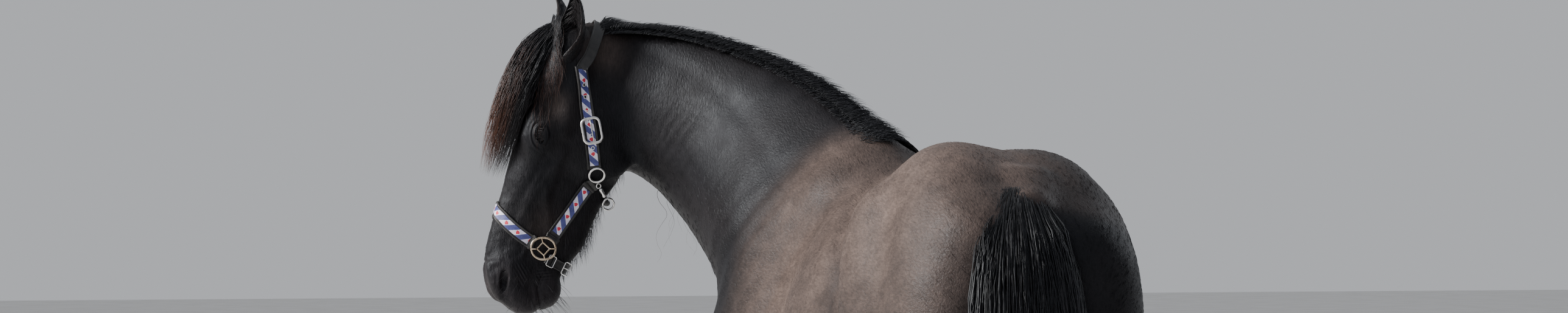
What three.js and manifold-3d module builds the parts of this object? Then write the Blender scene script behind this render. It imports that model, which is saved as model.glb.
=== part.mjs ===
// A friesian horse, standing still and looking back to its left, with its head low and its halter on.
// Life size. The body is one smooth form, blended from section tables and muscle masses, then
// parted with thin cuts. Tables are in metres, the finished meshes in millimetres.
// x forward, y to the horse's left, z up.
import * as THREE from 'three';
import { mergeVertices } from 'three/addons/utils/BufferGeometryUtils.js';
import Module from 'manifold-3d';

// ---------- driving dimensions (metres) ----------
const ORIGIN_SHIFT = [-0.09966, -0.26989]; // puts the origin under the middle of the outline, on the floor
const CELL_BODY = 0.016, CELL_HEAD = 0.009; // sampling of the form
const FACES_BODY = 1925; // faces kept on the flesh
const CUT = 0.0004; // width of the cuts between neighbouring parts
const CLEAR = 0.0007; // room between flesh and what lies on it
const HOOF_HEIGHT = 0.088, HEEL_HEIGHT = 0.046;
const FORE_HOOF = { x: 0.608, y: 0.166, toe: 0.078, heel: 0.066, half: 0.067 };
const HIND_HOOF = { x: -0.668, y: 0.165, toe: 0.075, heel: 0.063, half: 0.064 };
const EYE = { at: [0.264, 0.044, 0.0745], r: 0.0205, lids: [0.019, 0.0125, 0.014] };
const EAR_WIDTH = [[0, 0.015], [0.09, 0.027], [0.22, 0.037], [0.38, 0.0405], [0.56, 0.0360], [0.75, 0.0245], [0.90, 0.0120], [1, 0.0030]];
const EAR_THICK = 0.0042;
const EARS = {
  left: { root: [0.108, 0.034, 0.060], tip: [-0.088, 0.043, 0.060], face: [0.15, 0.80, 0.60] },
  right: { root: [0.106, 0.032, -0.056], tip: [-0.080, 0.070, -0.052], face: [0.15, 0.95, -0.30] },
};
const STRAP = 0.033, STRAP_THICK = 0.0055; // halter straps
const MANE_THICK = 0.020; // the mane as it lies on the neck
// places along the crest (0 withers, 1 poll): length of the mane there
const MANE_LENGTH = [[0, 0.24], [0.12, 0.36], [0.3, 0.46], [0.5, 0.45], [0.7, 0.36], [0.86, 0.27], [1, 0.20]];
// pose
const BEND_FROM = -0.25, BEND_TO = 0.60, BEND_DEG = 10.0; // the trunk's gentle bend to the left
const HIP_SHIFT = 0.020, HIP_ROLL = 4.0, HIP_NARROW = 0.06; // hips a little to the left, left one higher
const HIP_DROP = 0.15; // the resting right hip sinks
const HEAD_AT = [1.040, 0.601, 1.838]; // the poll
const HEAD_HEADING = 87.0, HEAD_TILT = 14.8; // where the face points, and how far it stands off plumb

// x, top, widest height, half width, bottom, roundness above, roundness below
const TRUNK = [
  [-0.76, 1.400, 1.220, 0.125, 1.060, 2.0, 2.0],
  [-0.68, 1.470, 1.230, 0.180, 0.985, 1.95, 2.0],
  [-0.58, 1.516, 1.235, 0.225, 0.950, 1.9, 2.0],
  [-0.48, 1.547, 1.240, 0.252, 0.940, 1.9, 2.0],
  [-0.36, 1.561, 1.250, 0.268, 0.935, 1.9, 2.0],
  [-0.22, 1.545, 1.230, 0.272, 0.910, 2.0, 2.1],
  [-0.08, 1.524, 1.195, 0.285, 0.870, 2.1, 2.2],
  [0.06, 1.512, 1.165, 0.300, 0.840, 2.0, 2.2],
  [0.20, 1.515, 1.150, 0.294, 0.825, 1.9, 2.2],
  [0.31, 1.540, 1.145, 0.275, 0.828, 1.7, 2.2],
  [0.41, 1.575, 1.145, 0.262, 0.838, 1.6, 2.1],
  [0.53, 1.560, 1.150, 0.252, 0.862, 1.6, 2.0],
  [0.65, 1.460, 1.155, 0.232, 0.915, 1.8, 2.0],
  [0.75, 1.330, 1.145, 0.185, 0.990, 2.0, 2.0],
];
// z, centre x, centre y, reach forward, reach back, half width
const FORELEG = [
  [1.060, 0.580, 0.200, 0.130, 0.120, 0.080],
  [0.960, 0.560, 0.195, 0.120, 0.118, 0.076],
  [0.880, 0.548, 0.187, 0.098, 0.104, 0.068],
  [0.780, 0.540, 0.178, 0.078, 0.080, 0.058],
  [0.680, 0.538, 0.172, 0.063, 0.062, 0.050],
  [0.590, 0.537, 0.168, 0.053, 0.048, 0.044],
  [0.530, 0.537, 0.167, 0.053, 0.046, 0.046],
  [0.485, 0.537, 0.167, 0.054, 0.050, 0.048],
  [0.435, 0.532, 0.166, 0.043, 0.047, 0.041],
  [0.380, 0.530, 0.166, 0.032, 0.043, 0.030],
  [0.300, 0.530, 0.166, 0.030, 0.041, 0.028],
  [0.245, 0.530, 0.166, 0.033, 0.045, 0.032],
  [0.205, 0.532, 0.166, 0.040, 0.050, 0.039],
  [0.160, 0.548, 0.166, 0.036, 0.039, 0.035],
  [0.115, 0.575, 0.166, 0.038, 0.040, 0.038],
  [0.085, 0.592, 0.166, 0.046, 0.047, 0.047],
  [0.060, 0.600, 0.166, 0.046, 0.047, 0.047],
];
// z, centre x, centre y, reach forward, reach back, half width
const HINDLEG = [
  [1.180, -0.500, 0.165, 0.200, 0.215, 0.120],
  [1.060, -0.490, 0.180, 0.205, 0.225, 0.120],
  [0.960, -0.485, 0.186, 0.190, 0.200, 0.108],
  [0.880, -0.510, 0.184, 0.160, 0.160, 0.090],
  [0.800, -0.555, 0.178, 0.135, 0.135, 0.073],
  [0.720, -0.615, 0.172, 0.100, 0.120, 0.058],
  [0.650, -0.665, 0.168, 0.074, 0.112, 0.048],
  [0.605, -0.700, 0.166, 0.062, 0.090, 0.047],
  [0.550, -0.725, 0.165, 0.058, 0.060, 0.047],
  [0.490, -0.740, 0.165, 0.048, 0.052, 0.041],
  [0.420, -0.746, 0.165, 0.036, 0.046, 0.032],
  [0.320, -0.746, 0.165, 0.034, 0.043, 0.030],
  [0.250, -0.746, 0.165, 0.036, 0.047, 0.034],
  [0.210, -0.744, 0.165, 0.042, 0.052, 0.041],
  [0.165, -0.728, 0.165, 0.037, 0.041, 0.036],
  [0.118, -0.703, 0.165, 0.039, 0.041, 0.039],
  [0.086, -0.686, 0.165, 0.047, 0.047, 0.047],
  [0.060, -0.680, 0.165, 0.047, 0.047, 0.047],
];
// along the head, centre depth, half width, face line, under line, roundness above, roundness below
const SKULL = [
  [-0.045, -0.030, 0.028, 0.000, -0.070, 2.0, 2.0],
  [-0.010, -0.020, 0.048, 0.024, -0.090, 2.0, 2.0],
  [0.050, -0.012, 0.063, 0.050, -0.100, 2.0, 2.0],
  [0.110, 0.000, 0.077, 0.072, -0.100, 2.1, 2.0],
  [0.170, 0.012, 0.086, 0.087, -0.100, 2.3, 2.0],
  [0.235, 0.020, 0.088, 0.0915, -0.095, 2.4, 2.0],
  [0.300, 0.022, 0.083, 0.0905, -0.090, 2.3, 2.0],
  [0.360, 0.018, 0.072, 0.0905, -0.085, 2.2, 2.0],
  [0.430, 0.012, 0.059, 0.0905, -0.078, 2.1, 2.1],
  [0.500, 0.008, 0.053, 0.0925, -0.074, 2.1, 2.2],
  [0.550, 0.006, 0.052, 0.0910, -0.072, 2.2, 2.3],
  [0.590, 0.004, 0.051, 0.0810, -0.068, 2.4, 2.4],
  [0.625, -0.002, 0.048, 0.0620, -0.060, 2.4, 2.4],
  [0.652, -0.010, 0.041, 0.0400, -0.056, 2.3, 2.4],
  [0.675, -0.020, 0.028, 0.0060, -0.048, 2.2, 2.3],
];
// along the head, centre depth, half width, upper line, under line
const JAW = [
  [0.150, -0.085, 0.052, 0.010, -0.165],
  [0.220, -0.090, 0.060, 0.010, -0.190],
  [0.300, -0.090, 0.060, 0.000, -0.188],
  [0.360, -0.085, 0.054, -0.010, -0.166],
  [0.420, -0.080, 0.049, -0.015, -0.148],
  [0.490, -0.074, 0.043, -0.020, -0.131],
  [0.545, -0.070, 0.039, -0.020, -0.108],
  [0.585, -0.072, 0.038, -0.030, -0.098],
  [0.620, -0.074, 0.036, -0.040, -0.100],
  [0.648, -0.072, 0.029, -0.048, -0.090],
];
// crest point x y z, throat point x y z, half width, roundness above, roundness below
const NECK = [
  [0.300, 0.030, 1.470, 0.640, 0.105, 0.960, 0.200, 1.7, 2.0],
  [0.419, 0.051, 1.580, 0.740, 0.155, 1.060, 0.225, 1.6, 2.0],
  [0.542, 0.080, 1.645, 0.835, 0.230, 1.180, 0.212, 1.6, 2.0],
  [0.680, 0.144, 1.719, 0.910, 0.285, 1.275, 0.172, 1.6, 2.0],
  [0.806, 0.243, 1.780, 0.975, 0.340, 1.370, 0.134, 1.6, 2.0],
  [0.915, 0.363, 1.826, 1.015, 0.398, 1.440, 0.110, 1.6, 2.0],
  [0.993, 0.477, 1.844, 1.038, 0.455, 1.485, 0.091, 1.7, 2.0],
  [1.033, 0.563, 1.838, 1.055, 0.523, 1.519, 0.073, 1.8, 2.0],
  [1.050, 0.620, 1.805, 1.062, 0.590, 1.540, 0.060, 2.0, 2.0],
];
// z, reach forward, reach back, half width
const FEATHER = [
  [0.020, 0.082, 0.100, 0.083],
  [0.050, 0.080, 0.112, 0.084],
  [0.090, 0.074, 0.108, 0.078],
  [0.140, 0.060, 0.098, 0.066],
  [0.190, 0.052, 0.088, 0.055],
  [0.240, 0.042, 0.072, 0.042],
  [0.300, 0.031, 0.046, 0.030],
];

// ---------- curves through the tables ----------
function lookup(table, n = 240) {
  const t = table[0][0] > table[table.length - 1][0] ? table.slice().reverse() : table;
  const rows = t.length, cols = t[0].length - 1, x = t.map((r) => r[0]);
  const slope = [], m = [];
  for (let i = 0; i < rows - 1; i++) slope.push(t[i].slice(1).map((v, c) => (t[i + 1][c + 1] - v) / (x[i + 1] - x[i])));
  for (let i = 0; i < rows; i++) {
    if (i === 0) m.push(slope[0]);
    else if (i === rows - 1) m.push(slope[rows - 2]);
    else {
      const h0 = x[i] - x[i - 1], h1 = x[i + 1] - x[i];
      m.push(slope[i].map((s, c) => (slope[i - 1][c] * h1 + s * h0) / (h0 + h1)));
    }
  }
  const out = [];
  let i = 0;
  for (let k = 0; k < n; k++) {
    const xs = x[0] + ((x[rows - 1] - x[0]) * k) / (n - 1);
    while (i < rows - 2 && xs >= x[i + 1]) i++;
    const h = x[i + 1] - x[i], u = (xs - x[i]) / h, u2 = u * u, u3 = u2 * u, row = [];
    for (let c = 0; c < cols; c++) {
      row.push((2 * u3 - 3 * u2 + 1) * t[i][c + 1] + (u3 - 2 * u2 + u) * h * m[i][c]
        + (-2 * u3 + 3 * u2) * t[i + 1][c + 1] + (u3 - u2) * h * m[i + 1][c]);
    }
    out.push(row);
  }
  return { x0: x[0], x1: x[rows - 1], n, rows: out };
}
function at(look, x) {
  const k = Math.min(Math.max(((x - look.x0) / (look.x1 - look.x0)) * (look.n - 1), 0), look.n - 1.001);
  const i = Math.floor(k), w = k - i, a = look.rows[i], b = look.rows[i + 1];
  return a.map((v, c) => v * (1 - w) + b[c] * w);
}

// ---------- blends and simple rounded forms (all lengths in metres, negative inside) ----------
const { abs, min, max, sqrt, sin, cos, hypot, PI } = Math;
const rad = (d) => (d * PI) / 180;
const clamp = (v, a, b) => min(max(v, a), b);
const ramp = (t) => { const c = clamp(t, 0, 1); return c * c * (3 - 2 * c); };
function smin(a, b, k) { const h = max(k - abs(a - b), 0) / k; return min(a, b) - h * h * k * 0.25; }
const smax = (a, b, k) => -smin(-a, -b, k);
function section(u, v, w, top, bot, nt, nb) {
  const a = v > 0 ? top : bot, n = v > 0 ? nt : nb, au = abs(u) / w, av = abs(v) / a;
  const q = (au ** n + av ** n + 1e-9) ** (1 / n);
  if (q <= 0.5) return hypot(u, v) - min(w, a);
  const g = sqrt((au ** (n - 1) / w) ** 2 + (av ** (n - 1) / a) ** 2) * q ** (1 - n);
  return (q - 1) / max(g, 1e-6);
}
function ball(p, c, r, tilt = 0) {
  let x = p[0] - c[0], z = p[2] - c[2];
  const y = p[1] - c[1];
  if (tilt) { const k = cos(rad(tilt)), s = sin(rad(tilt)); [x, z] = [x * k - z * s, x * s + z * k]; }
  const k0 = sqrt((x / r[0]) ** 2 + (y / r[1]) ** 2 + (z / r[2]) ** 2);
  const k1 = sqrt((x / r[0] ** 2) ** 2 + (y / r[1] ** 2) ** 2 + (z / r[2] ** 2) ** 2);
  return k0 < 1e-6 ? -min(r[0], r[1], r[2]) : (k0 * (k0 - 1)) / max(k1, 1e-9);
}
function rod(p, a, b, ra, rb, flatY = 1) {
  const d = [b[0] - a[0], b[1] - a[1], b[2] - a[2]], q = [p[0] - a[0], p[1] - a[1], p[2] - a[2]];
  const t = clamp((q[0] * d[0] + q[1] * d[1] + q[2] * d[2]) / (d[0] ** 2 + d[1] ** 2 + d[2] ** 2), 0, 1);
  return hypot(q[0] - t * d[0], (q[1] - t * d[1]) / flatY, q[2] - t * d[2]) - (ra + (rb - ra) * t);
}

// ---------- the pose: the trunk bends gently to the left, the hips shift and tilt a little ----------
const BEND = rad(BEND_DEG), BEND_R = (BEND_TO - BEND_FROM) / BEND;
function unbend([x, y0, z0]) {
  let y = y0, z = z0;
  const w = ramp((-0.05 - x) / 0.45);
  y -= HIP_SHIFT * w;
  const rc = rad(HIP_ROLL) * w * ramp((z - 0.75) / 0.5);
  [y, z] = [y + (z - 1.15) * rc, z - y * rc];
  z += HIP_DROP * max(-0.03 - y, 0) * w * ramp((z - 0.75) / 0.5);
  if (y < 0) y *= 1 + HIP_NARROW * w * ramp((z - 0.55) / 0.5);
  if (x < BEND_FROM) return [x, y, z];
  const dx = x - BEND_FROM, dy = BEND_R - y, al = Math.atan2(dx, dy);
  if (al > BEND) {
    const c = cos(BEND), s = sin(BEND), ex = BEND_FROM + BEND_R * s, ey = BEND_R - BEND_R * c;
    return [(x - ex) * c + (y - ey) * s + BEND_TO, -(x - ex) * s + (y - ey) * c, z];
  }
  return [BEND_FROM + al * BEND_R, BEND_R - hypot(dx, dy), z];
}
function bend([x, y, z]) {
  const al = (clamp(x, BEND_FROM, BEND_TO) - BEND_FROM) / BEND_R, extra = max(x - BEND_TO, 0);
  return [min(x, BEND_FROM) + (BEND_R - y) * sin(al) + extra * cos(al), BEND_R - (BEND_R - y) * cos(al) + extra * sin(al) + HIP_SHIFT * ramp((-0.05 - x) / 0.45), z];
}

// ---------- the head's own frame: along the head, towards the face, to the head's left ----------
const HH = rad(HEAD_HEADING), HT = rad(HEAD_TILT);
const HA = [cos(HH) * sin(HT), sin(HH) * sin(HT), -cos(HT)];
const HF = [cos(HH) * cos(HT), sin(HH) * cos(HT), sin(HT)];
const HL = [-sin(HH), cos(HH), 0];
const dot = (a, b) => a[0] * b[0] + a[1] * b[1] + a[2] * b[2];
const add = (a, b, s = 1) => [a[0] + b[0] * s, a[1] + b[1] * s, a[2] + b[2] * s];
const sub = (a, b) => [a[0] - b[0], a[1] - b[1], a[2] - b[2]];
const cross = (a, b) => [a[1] * b[2] - a[2] * b[1], a[2] * b[0] - a[0] * b[2], a[0] * b[1] - a[1] * b[0]];
const unit = (a) => { const l = hypot(...a) || 1; return [a[0] / l, a[1] / l, a[2] / l]; };
const toHead = (p) => { const d = sub(p, HEAD_AT); return [dot(d, HA), dot(d, HF), dot(d, HL)]; };
const fromHead = (q) => [0, 1, 2].map((i) => HEAD_AT[i] + q[0] * HA[i] + q[1] * HF[i] + q[2] * HL[i]);

// ---------- trunk and legs, on the straight body ----------
const T_TRUNK = lookup(TRUNK), T_FORE = lookup(FORELEG), T_HIND = lookup(HINDLEG), T_FEATHER = lookup(FEATHER);
function trunk([x, y, z]) {
  const [top, zc, w, bot, nt, nb] = at(T_TRUNK, x);
  let f = section(y, z - zc, w, top - zc, zc - bot, nt, nb);
  f = smax(f, x - 0.76, 0.10);
  f = smax(f, -0.76 - x, 0.10);
  const m = [x, abs(y), z];
  // hindquarters
  f = smin(f, ball(m, [-0.45, 0.112, 1.402], [0.27, 0.122, 0.164], -8), 0.07); // gluteal mass
  f = smin(f, ball(m, [-0.280, 0.230, 1.365], [0.070, 0.045, 0.085]), 0.10); // point of hip
  f = smin(f, ball(m, [-0.60, 0.150, 1.230], [0.175, 0.122, 0.260], 12), 0.06); // thigh
  f = smin(f, rod(m, [-0.690, 0.105, 1.350], [-0.630, 0.150, 0.930], 0.100, 0.080), 0.06); // buttock
  f = smin(f, ball(m, [-0.375, 0.195, 1.120], [0.125, 0.092, 0.220], -20), 0.07); // front of the thigh
  f = smin(f, ball(m, [-0.345, 0.205, 0.960], [0.060, 0.060, 0.075]), 0.06); // stifle
  f = smin(f, ball(m, [-0.330, 0.195, 1.240], [0.150, 0.098, 0.160]), 0.08); // sheath muscle below the hip
  // dock
  f = smin(f, rod([x, y, z], [-0.60, 0, 1.470], [-0.700, 0.018, 1.440], 0.050, 0.034), 0.05);
  f = smin(f, rod([x, y, z], [-0.700, 0.018, 1.440], [-0.780, 0.040, 1.320], 0.034, 0.024), 0.03);
  // barrel and flank
  f = smin(f, ball(m, [0.02, 0.12, 1.120], [0.34, 0.175, 0.25]), 0.08);
  // shoulder
  f = smin(f, rod(m, [0.410, 0.105, 1.440], [0.700, 0.200, 1.120], 0.068, 0.085, 0.9), 0.10);
  f = smin(f, ball(m, [0.520, 0.200, 1.090], [0.155, 0.072, 0.150], -30), 0.05); // triceps
  f = smin(f, ball(m, [0.710, 0.195, 1.120], [0.088, 0.085, 0.105]), 0.06); // point of shoulder
  f = smin(f, ball(m, [0.740, 0.085, 1.085], [0.080, 0.088, 0.115]), 0.07); // breast
  f = smin(f, rod(m, [0.690, 0.165, 1.050], [0.560, 0.175, 0.930], 0.075, 0.070), 0.05); // upper arm
  f = smin(f, ball(m, [0.455, 0.170, 0.905], [0.040, 0.035, 0.050]), 0.05); // elbow
  return f;
}
function legs([x, y0, z]) {
  const m = [x, abs(y0), z], fs = [];
  for (const front of [true, false]) {
    const table = front ? T_FORE : T_HIND;
    const [cx, cy, rf, rb, ry] = at(table, z);
    const u = x - cx, a = u > 0 ? rf : rb, n = 2.2, au = abs(u) / a, av = abs(m[1] - cy) / ry;
    const q = (au ** n + av ** n + 1e-9) ** (1 / n);
    const g = sqrt((au ** (n - 1) / a) ** 2 + (av ** (n - 1) / ry) ** 2) * q ** (1 - n);
    let f = q > 0.4 ? (q - 1) / max(g, 1e-6) : -min(a, ry) * 0.6;
    f = smax(f, z - (front ? 1.06 : 1.14), 0.08);
    f = smax(f, 0.060 - z, 0.01);
    if (front) {
      f = smin(f, ball(m, [0.484, 0.167, 0.480], [0.018, 0.022, 0.030]), 0.02); // back of the knee
      f = smin(f, ball(m, [0.565, 0.185, 0.760], [0.060, 0.040, 0.130]), 0.04); // extensor of the forearm
    } else {
      f = smin(f, rod(m, [-0.630, 0.165, 0.900], [-0.786, 0.165, 0.640], 0.030, 0.020), 0.04); // hamstring of the hock
      f = smin(f, ball(m, [-0.782, 0.165, 0.618], [0.024, 0.024, 0.038]), 0.025); // point of the hock
      f = smin(f, ball(m, [-0.700, 0.195, 0.520], [0.026, 0.018, 0.030]), 0.03);
    }
    f = smin(f, ball(m, [at(table, 0.20)[0] - 0.028, 0.166, 0.205], [0.026, 0.026, 0.028]), 0.02);
    fs.push(f);
  }
  return fs;
}
function feather([x, y, z]) {
  let out = 1;
  for (const table of [T_FORE, T_HIND]) {
    const [cx, cy] = at(table, max(z, 0.06)), [rf, rb, ry] = at(T_FEATHER, z);
    const u = x - cx, a = u > 0 ? rf : rb, au = abs(u) / a, av = abs(abs(y) - cy) / ry;
    const q = sqrt(au ** 2 + av ** 2 + 1e-9), g = sqrt((au / a) ** 2 + (av / ry) ** 2) / q;
    const f = q > 0.4 ? (q - 1) / max(g, 1e-6) : -min(a, ry) * 0.6;
    out = min(out, smax(smax(f, z - 0.290, 0.02), 0.020 - z, 0.015));
  }
  return out;
}

// ---------- neck: sections that stand between the crest line and the throat line ----------
const NECK_N = 97;
const NK = (() => {
  const o = lookup(NECK.map((r, i) => [i, ...r]), NECK_N).rows, k = [];
  for (const r of o) {
    const K = r.slice(0, 3), T = r.slice(3, 6), d = sub(K, T), L = hypot(...d);
    k.push({ K, C: add(K, sub(T, K), 0.56), U: unit(d), top: 0.56 * L, bot: 0.44 * L, w: r[6], nt: r[7], nb: r[8] });
  }
  k.forEach((s, i) => {
    const D = sub(k[min(i + 1, NECK_N - 1)].C, k[max(i - 1, 0)].C);
    s.N = unit(add(D, s.U, -dot(D, s.U)));
    s.S = cross(s.U, s.N);
  });
  return k;
})();
const mix = (a, b, w) => (Array.isArray(a) ? a.map((v, i) => v * (1 - w) + b[i] * w) : a * (1 - w) + b * w);
function neckAt(key, t) {
  const c = clamp(t, 0, NECK_N - 1.001), i = Math.floor(c);
  return mix(NK[i][key], NK[i + 1][key], c - i);
}
function neck(p) {
  let t = 0, best = 1e9;
  for (let i = 0; i < NECK_N; i += 4) {
    const d = sub(p, NK[i].C), v = dot(d, d);
    if (v < best) { best = v; t = i; }
  }
  for (let k = 0; k < 3; k++) {
    const g0 = dot(sub(p, neckAt('C', t)), neckAt('N', t));
    const g1 = dot(sub(p, neckAt('C', t + 0.5)), neckAt('N', t + 0.5));
    let sl = (g1 - g0) / 0.5;
    if (abs(sl) < 1e-4) sl = -1e-3;
    t = clamp(t - clamp(g0 / sl, -6, 6), 0, NECK_N - 1.51);
  }
  const e = sub(p, neckAt('C', t));
  const f = section(dot(e, neckAt('S', t)), dot(e, neckAt('U', t)), neckAt('w', t), neckAt('top', t), neckAt('bot', t), neckAt('nt', t), neckAt('nb', t));
  return smax(f, abs(dot(e, neckAt('N', t))) - 0.01, 0.02);
}

// ---------- head ----------
const T_SKULL = lookup(SKULL), T_JAW = lookup(JAW);
function head([a, fr, l]) {
  const m = [a, fr, abs(l)];
  let [fc, w, top, bot, nt, nb] = at(T_SKULL, a);
  let f = section(l, fr - fc, w, top - fc, fc - bot, nt, nb);
  f = smax(f, a - 0.668, 0.05);
  f = smax(f, -0.03 - a, 0.05);
  [fc, w, top, bot] = at(T_JAW, a);
  let j = section(l, fr - fc, w, max(top - fc, 0.02), max(fc - bot, 0.01), 2.2, 2.4);
  j = smax(j, a - 0.645, 0.04);
  j = smax(j, 0.17 - a, 0.06);
  f = smin(f, j, 0.04);
  // cheeks
  f = smin(f, ball(m, [0.222, -0.090, 0.050], [0.114, 0.114, 0.036]), 0.025);
  f = smin(f, ball(m, [0.215, -0.060, 0.056], [0.085, 0.085, 0.028]), 0.035);
  f = smax(f, -ball(m, [0.36, -0.190, 0.0], [0.17, 0.050, 0.020]), 0.03); // between the jaw's two sides
  // facial crest, cheek arch, brow and eye socket
  f = smin(f, rod(m, [0.285, -0.014, 0.074], [0.410, -0.006, 0.052], 0.009, 0.004), 0.022);
  f = smin(f, rod(m, [0.240, -0.006, 0.085], [0.120, -0.004, 0.074], 0.011, 0.011), 0.030);
  f = smin(f, ball(m, [0.260, 0.042, 0.068], [0.050, 0.038, 0.029]), 0.035);
  f = smin(f, rod(m, [0.220, 0.064, 0.071], [0.272, 0.069, 0.068], 0.012, 0.010), 0.022);
  f = smax(f, -ball(m, [0.186, 0.050, 0.095], [0.028, 0.018, 0.015]), 0.025);
  // temple and base of the ears
  f = smin(f, ball(m, [0.110, 0.020, 0.050], [0.080, 0.045, 0.036]), 0.040);
  f = smin(f, ball(m, [0.040, 0.012, 0.050], [0.042, 0.038, 0.030]), 0.030);
  // nose bones and the soft nose
  f = smin(f, rod(m, [0.30, 0.078, 0.018], [0.57, 0.078, 0.013], 0.010, 0.008), 0.012);
  f = smin(f, ball(m, [0.605, 0.026, 0.034], [0.058, 0.046, 0.027]), 0.030);
  // lips and chin
  f = smin(f, ball(m, [0.645, -0.022, 0.020], [0.034, 0.034, 0.030]), 0.030);
  f = smin(f, ball(m, [0.610, -0.076, 0.012], [0.034, 0.026, 0.028]), 0.030);
  return f;
}

// ---------- the whole body out to the coat ----------
function body(p) {
  const s = unbend(p), [lf, lh] = legs(s);
  let f = smin(trunk(s), lf, 0.045);
  f = smin(f, lh, 0.055);
  f = smin(f, neck(p), 0.075);
  const q = toHead(p);
  if (hypot(q[0] - 0.3, q[1] + 0.05, q[2]) < 0.60) f = smin(f, head(q), 0.022);
  return f;
}

// ---------- faces of a form, sampled on a grid and then thinned out ----------
function gridLines(segments) {
  const out = [segments[0][0]];
  for (const [a, b, s] of segments) {
    const n = max(1, Math.round((b - a) / s));
    for (let i = 1; i <= n; i++) out.push(a + ((b - a) * i) / n);
  }
  return out;
}
// Walks over the cells that the surface crosses, and splits each into six tetrahedra.
function surface(fun, X, Y, Z, seed) {
  const nx = X.length, ny = Y.length, nz = Z.length;
  const F = new Float32Array(nx * ny * nz).fill(NaN);
  const id = (i, j, k) => (i * ny + j) * nz + k;
  const val = (i, j, k) => {
    const n = id(i, j, k);
    if (Number.isNaN(F[n])) { F[n] = fun([X[i], Y[j], Z[k]]); if (F[n] === 0) F[n] = 1e-7; }
    return F[n];
  };
  const near = (A, v) => { let i = 0; while (i < A.length - 2 && A[i + 1] < v) i++; return i; };
  let [i, j, k] = [near(X, seed[0]), near(Y, seed[1]), near(Z, seed[2])];
  while (k < nz - 2 && val(i, j, k) < 0) k++; // up from inside to the surface
  const cells = new Set(), stack = [[i, j, k - 1]];
  const verts = [], faces = [], edge = new Map();
  const corner = [[0, 0, 0], [1, 0, 0], [1, 1, 0], [0, 1, 0], [0, 0, 1], [1, 0, 1], [1, 1, 1], [0, 1, 1]];
  const tets = [[0, 1, 2, 6], [0, 2, 3, 6], [0, 3, 7, 6], [0, 7, 4, 6], [0, 4, 5, 6], [0, 5, 1, 6]];
  const cut = (a, b) => {
    let [p, q] = a.n < b.n ? [a, b] : [b, a];
    const key = p.n * 8 + ((q.c[0] - p.c[0]) * 4 + (q.c[1] - p.c[1]) * 2 + (q.c[2] - p.c[2]));
    if (!edge.has(key)) {
      const t = clamp(p.f / (p.f - q.f), 0.04, 0.96);
      edge.set(key, verts.length);
      verts.push([0, 1, 2].map((d) => p.p[d] * (1 - t) + q.p[d] * t));
    }
    return edge.get(key);
  };
  while (stack.length) {
    const [a, b, c] = stack.pop();
    if (a < 0 || b < 0 || c < 0 || a > nx - 2 || b > ny - 2 || c > nz - 2) continue;
    const key = id(a, b, c);
    if (cells.has(key)) continue;
    const pts = corner.map(([u, v, w]) => ({ c: [a + u, b + v, c + w], n: id(a + u, b + v, c + w), f: val(a + u, b + v, c + w), p: [X[a + u], Y[b + v], Z[c + w]] }));
    const inside = pts.filter((q) => q.f < 0).length;
    if (inside === 0 || inside === 8) continue;
    cells.add(key);
    for (const [u, v, w] of [[1, 0, 0], [-1, 0, 0], [0, 1, 0], [0, -1, 0], [0, 0, 1], [0, 0, -1]]) stack.push([a + u, b + v, c + w]);
    for (const t of tets) {
      const q = t.map((n) => pts[n]), inn = q.filter((v) => v.f < 0), out = q.filter((v) => v.f >= 0);
      if (!inn.length || !out.length) continue;
      const tri = (r, s, t2) => {
        // face away from the inside
        const A = verts[r], B = verts[s], C = verts[t2];
        const n = cross(sub(B, A), sub(C, A));
        const g = sub(out[0].p, inn[0].p);
        faces.push(dot(n, g) >= 0 ? [r, s, t2] : [r, t2, s]);
      };
      if (inn.length === 1) tri(cut(inn[0], out[0]), cut(inn[0], out[1]), cut(inn[0], out[2]));
      else if (inn.length === 3) tri(cut(out[0], inn[0]), cut(out[0], inn[1]), cut(out[0], inn[2]));
      else {
        const m = [cut(inn[0], out[0]), cut(inn[0], out[1]), cut(inn[1], out[1]), cut(inn[1], out[0])];
        tri(m[0], m[1], m[2]); tri(m[0], m[2], m[3]);
      }
    }
  }
  return { verts, faces: orient(faces) };
}
// Makes all faces of a closed mesh turn the same way as their neighbours, from the largest agreement.
function orient(faces) {
  const map = new Map();
  const K = (a, b) => (a < b ? a * 4194304 + b : b * 4194304 + a);
  faces.forEach((f, n) => { for (let e = 0; e < 3; e++) { const k = K(f[e], f[(e + 1) % 3]); if (!map.has(k)) map.set(k, []); map.get(k).push(n); } });
  const seen = new Uint8Array(faces.length), st = [0];
  seen[0] = 1;
  let flips = 0;
  while (st.length) {
    const n = st.pop(), f = faces[n];
    for (let e = 0; e < 3; e++) {
      const a = f[e], b = f[(e + 1) % 3];
      for (const o of map.get(K(a, b))) {
        if (seen[o]) continue;
        const g = faces[o];
        for (let h = 0; h < 3; h++) if (g[h] === a && g[(h + 1) % 3] === b) { [g[1], g[2]] = [g[2], g[1]]; flips++; break; }
        seen[o] = 1; st.push(o);
      }
    }
  }
  return faces;
}
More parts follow.
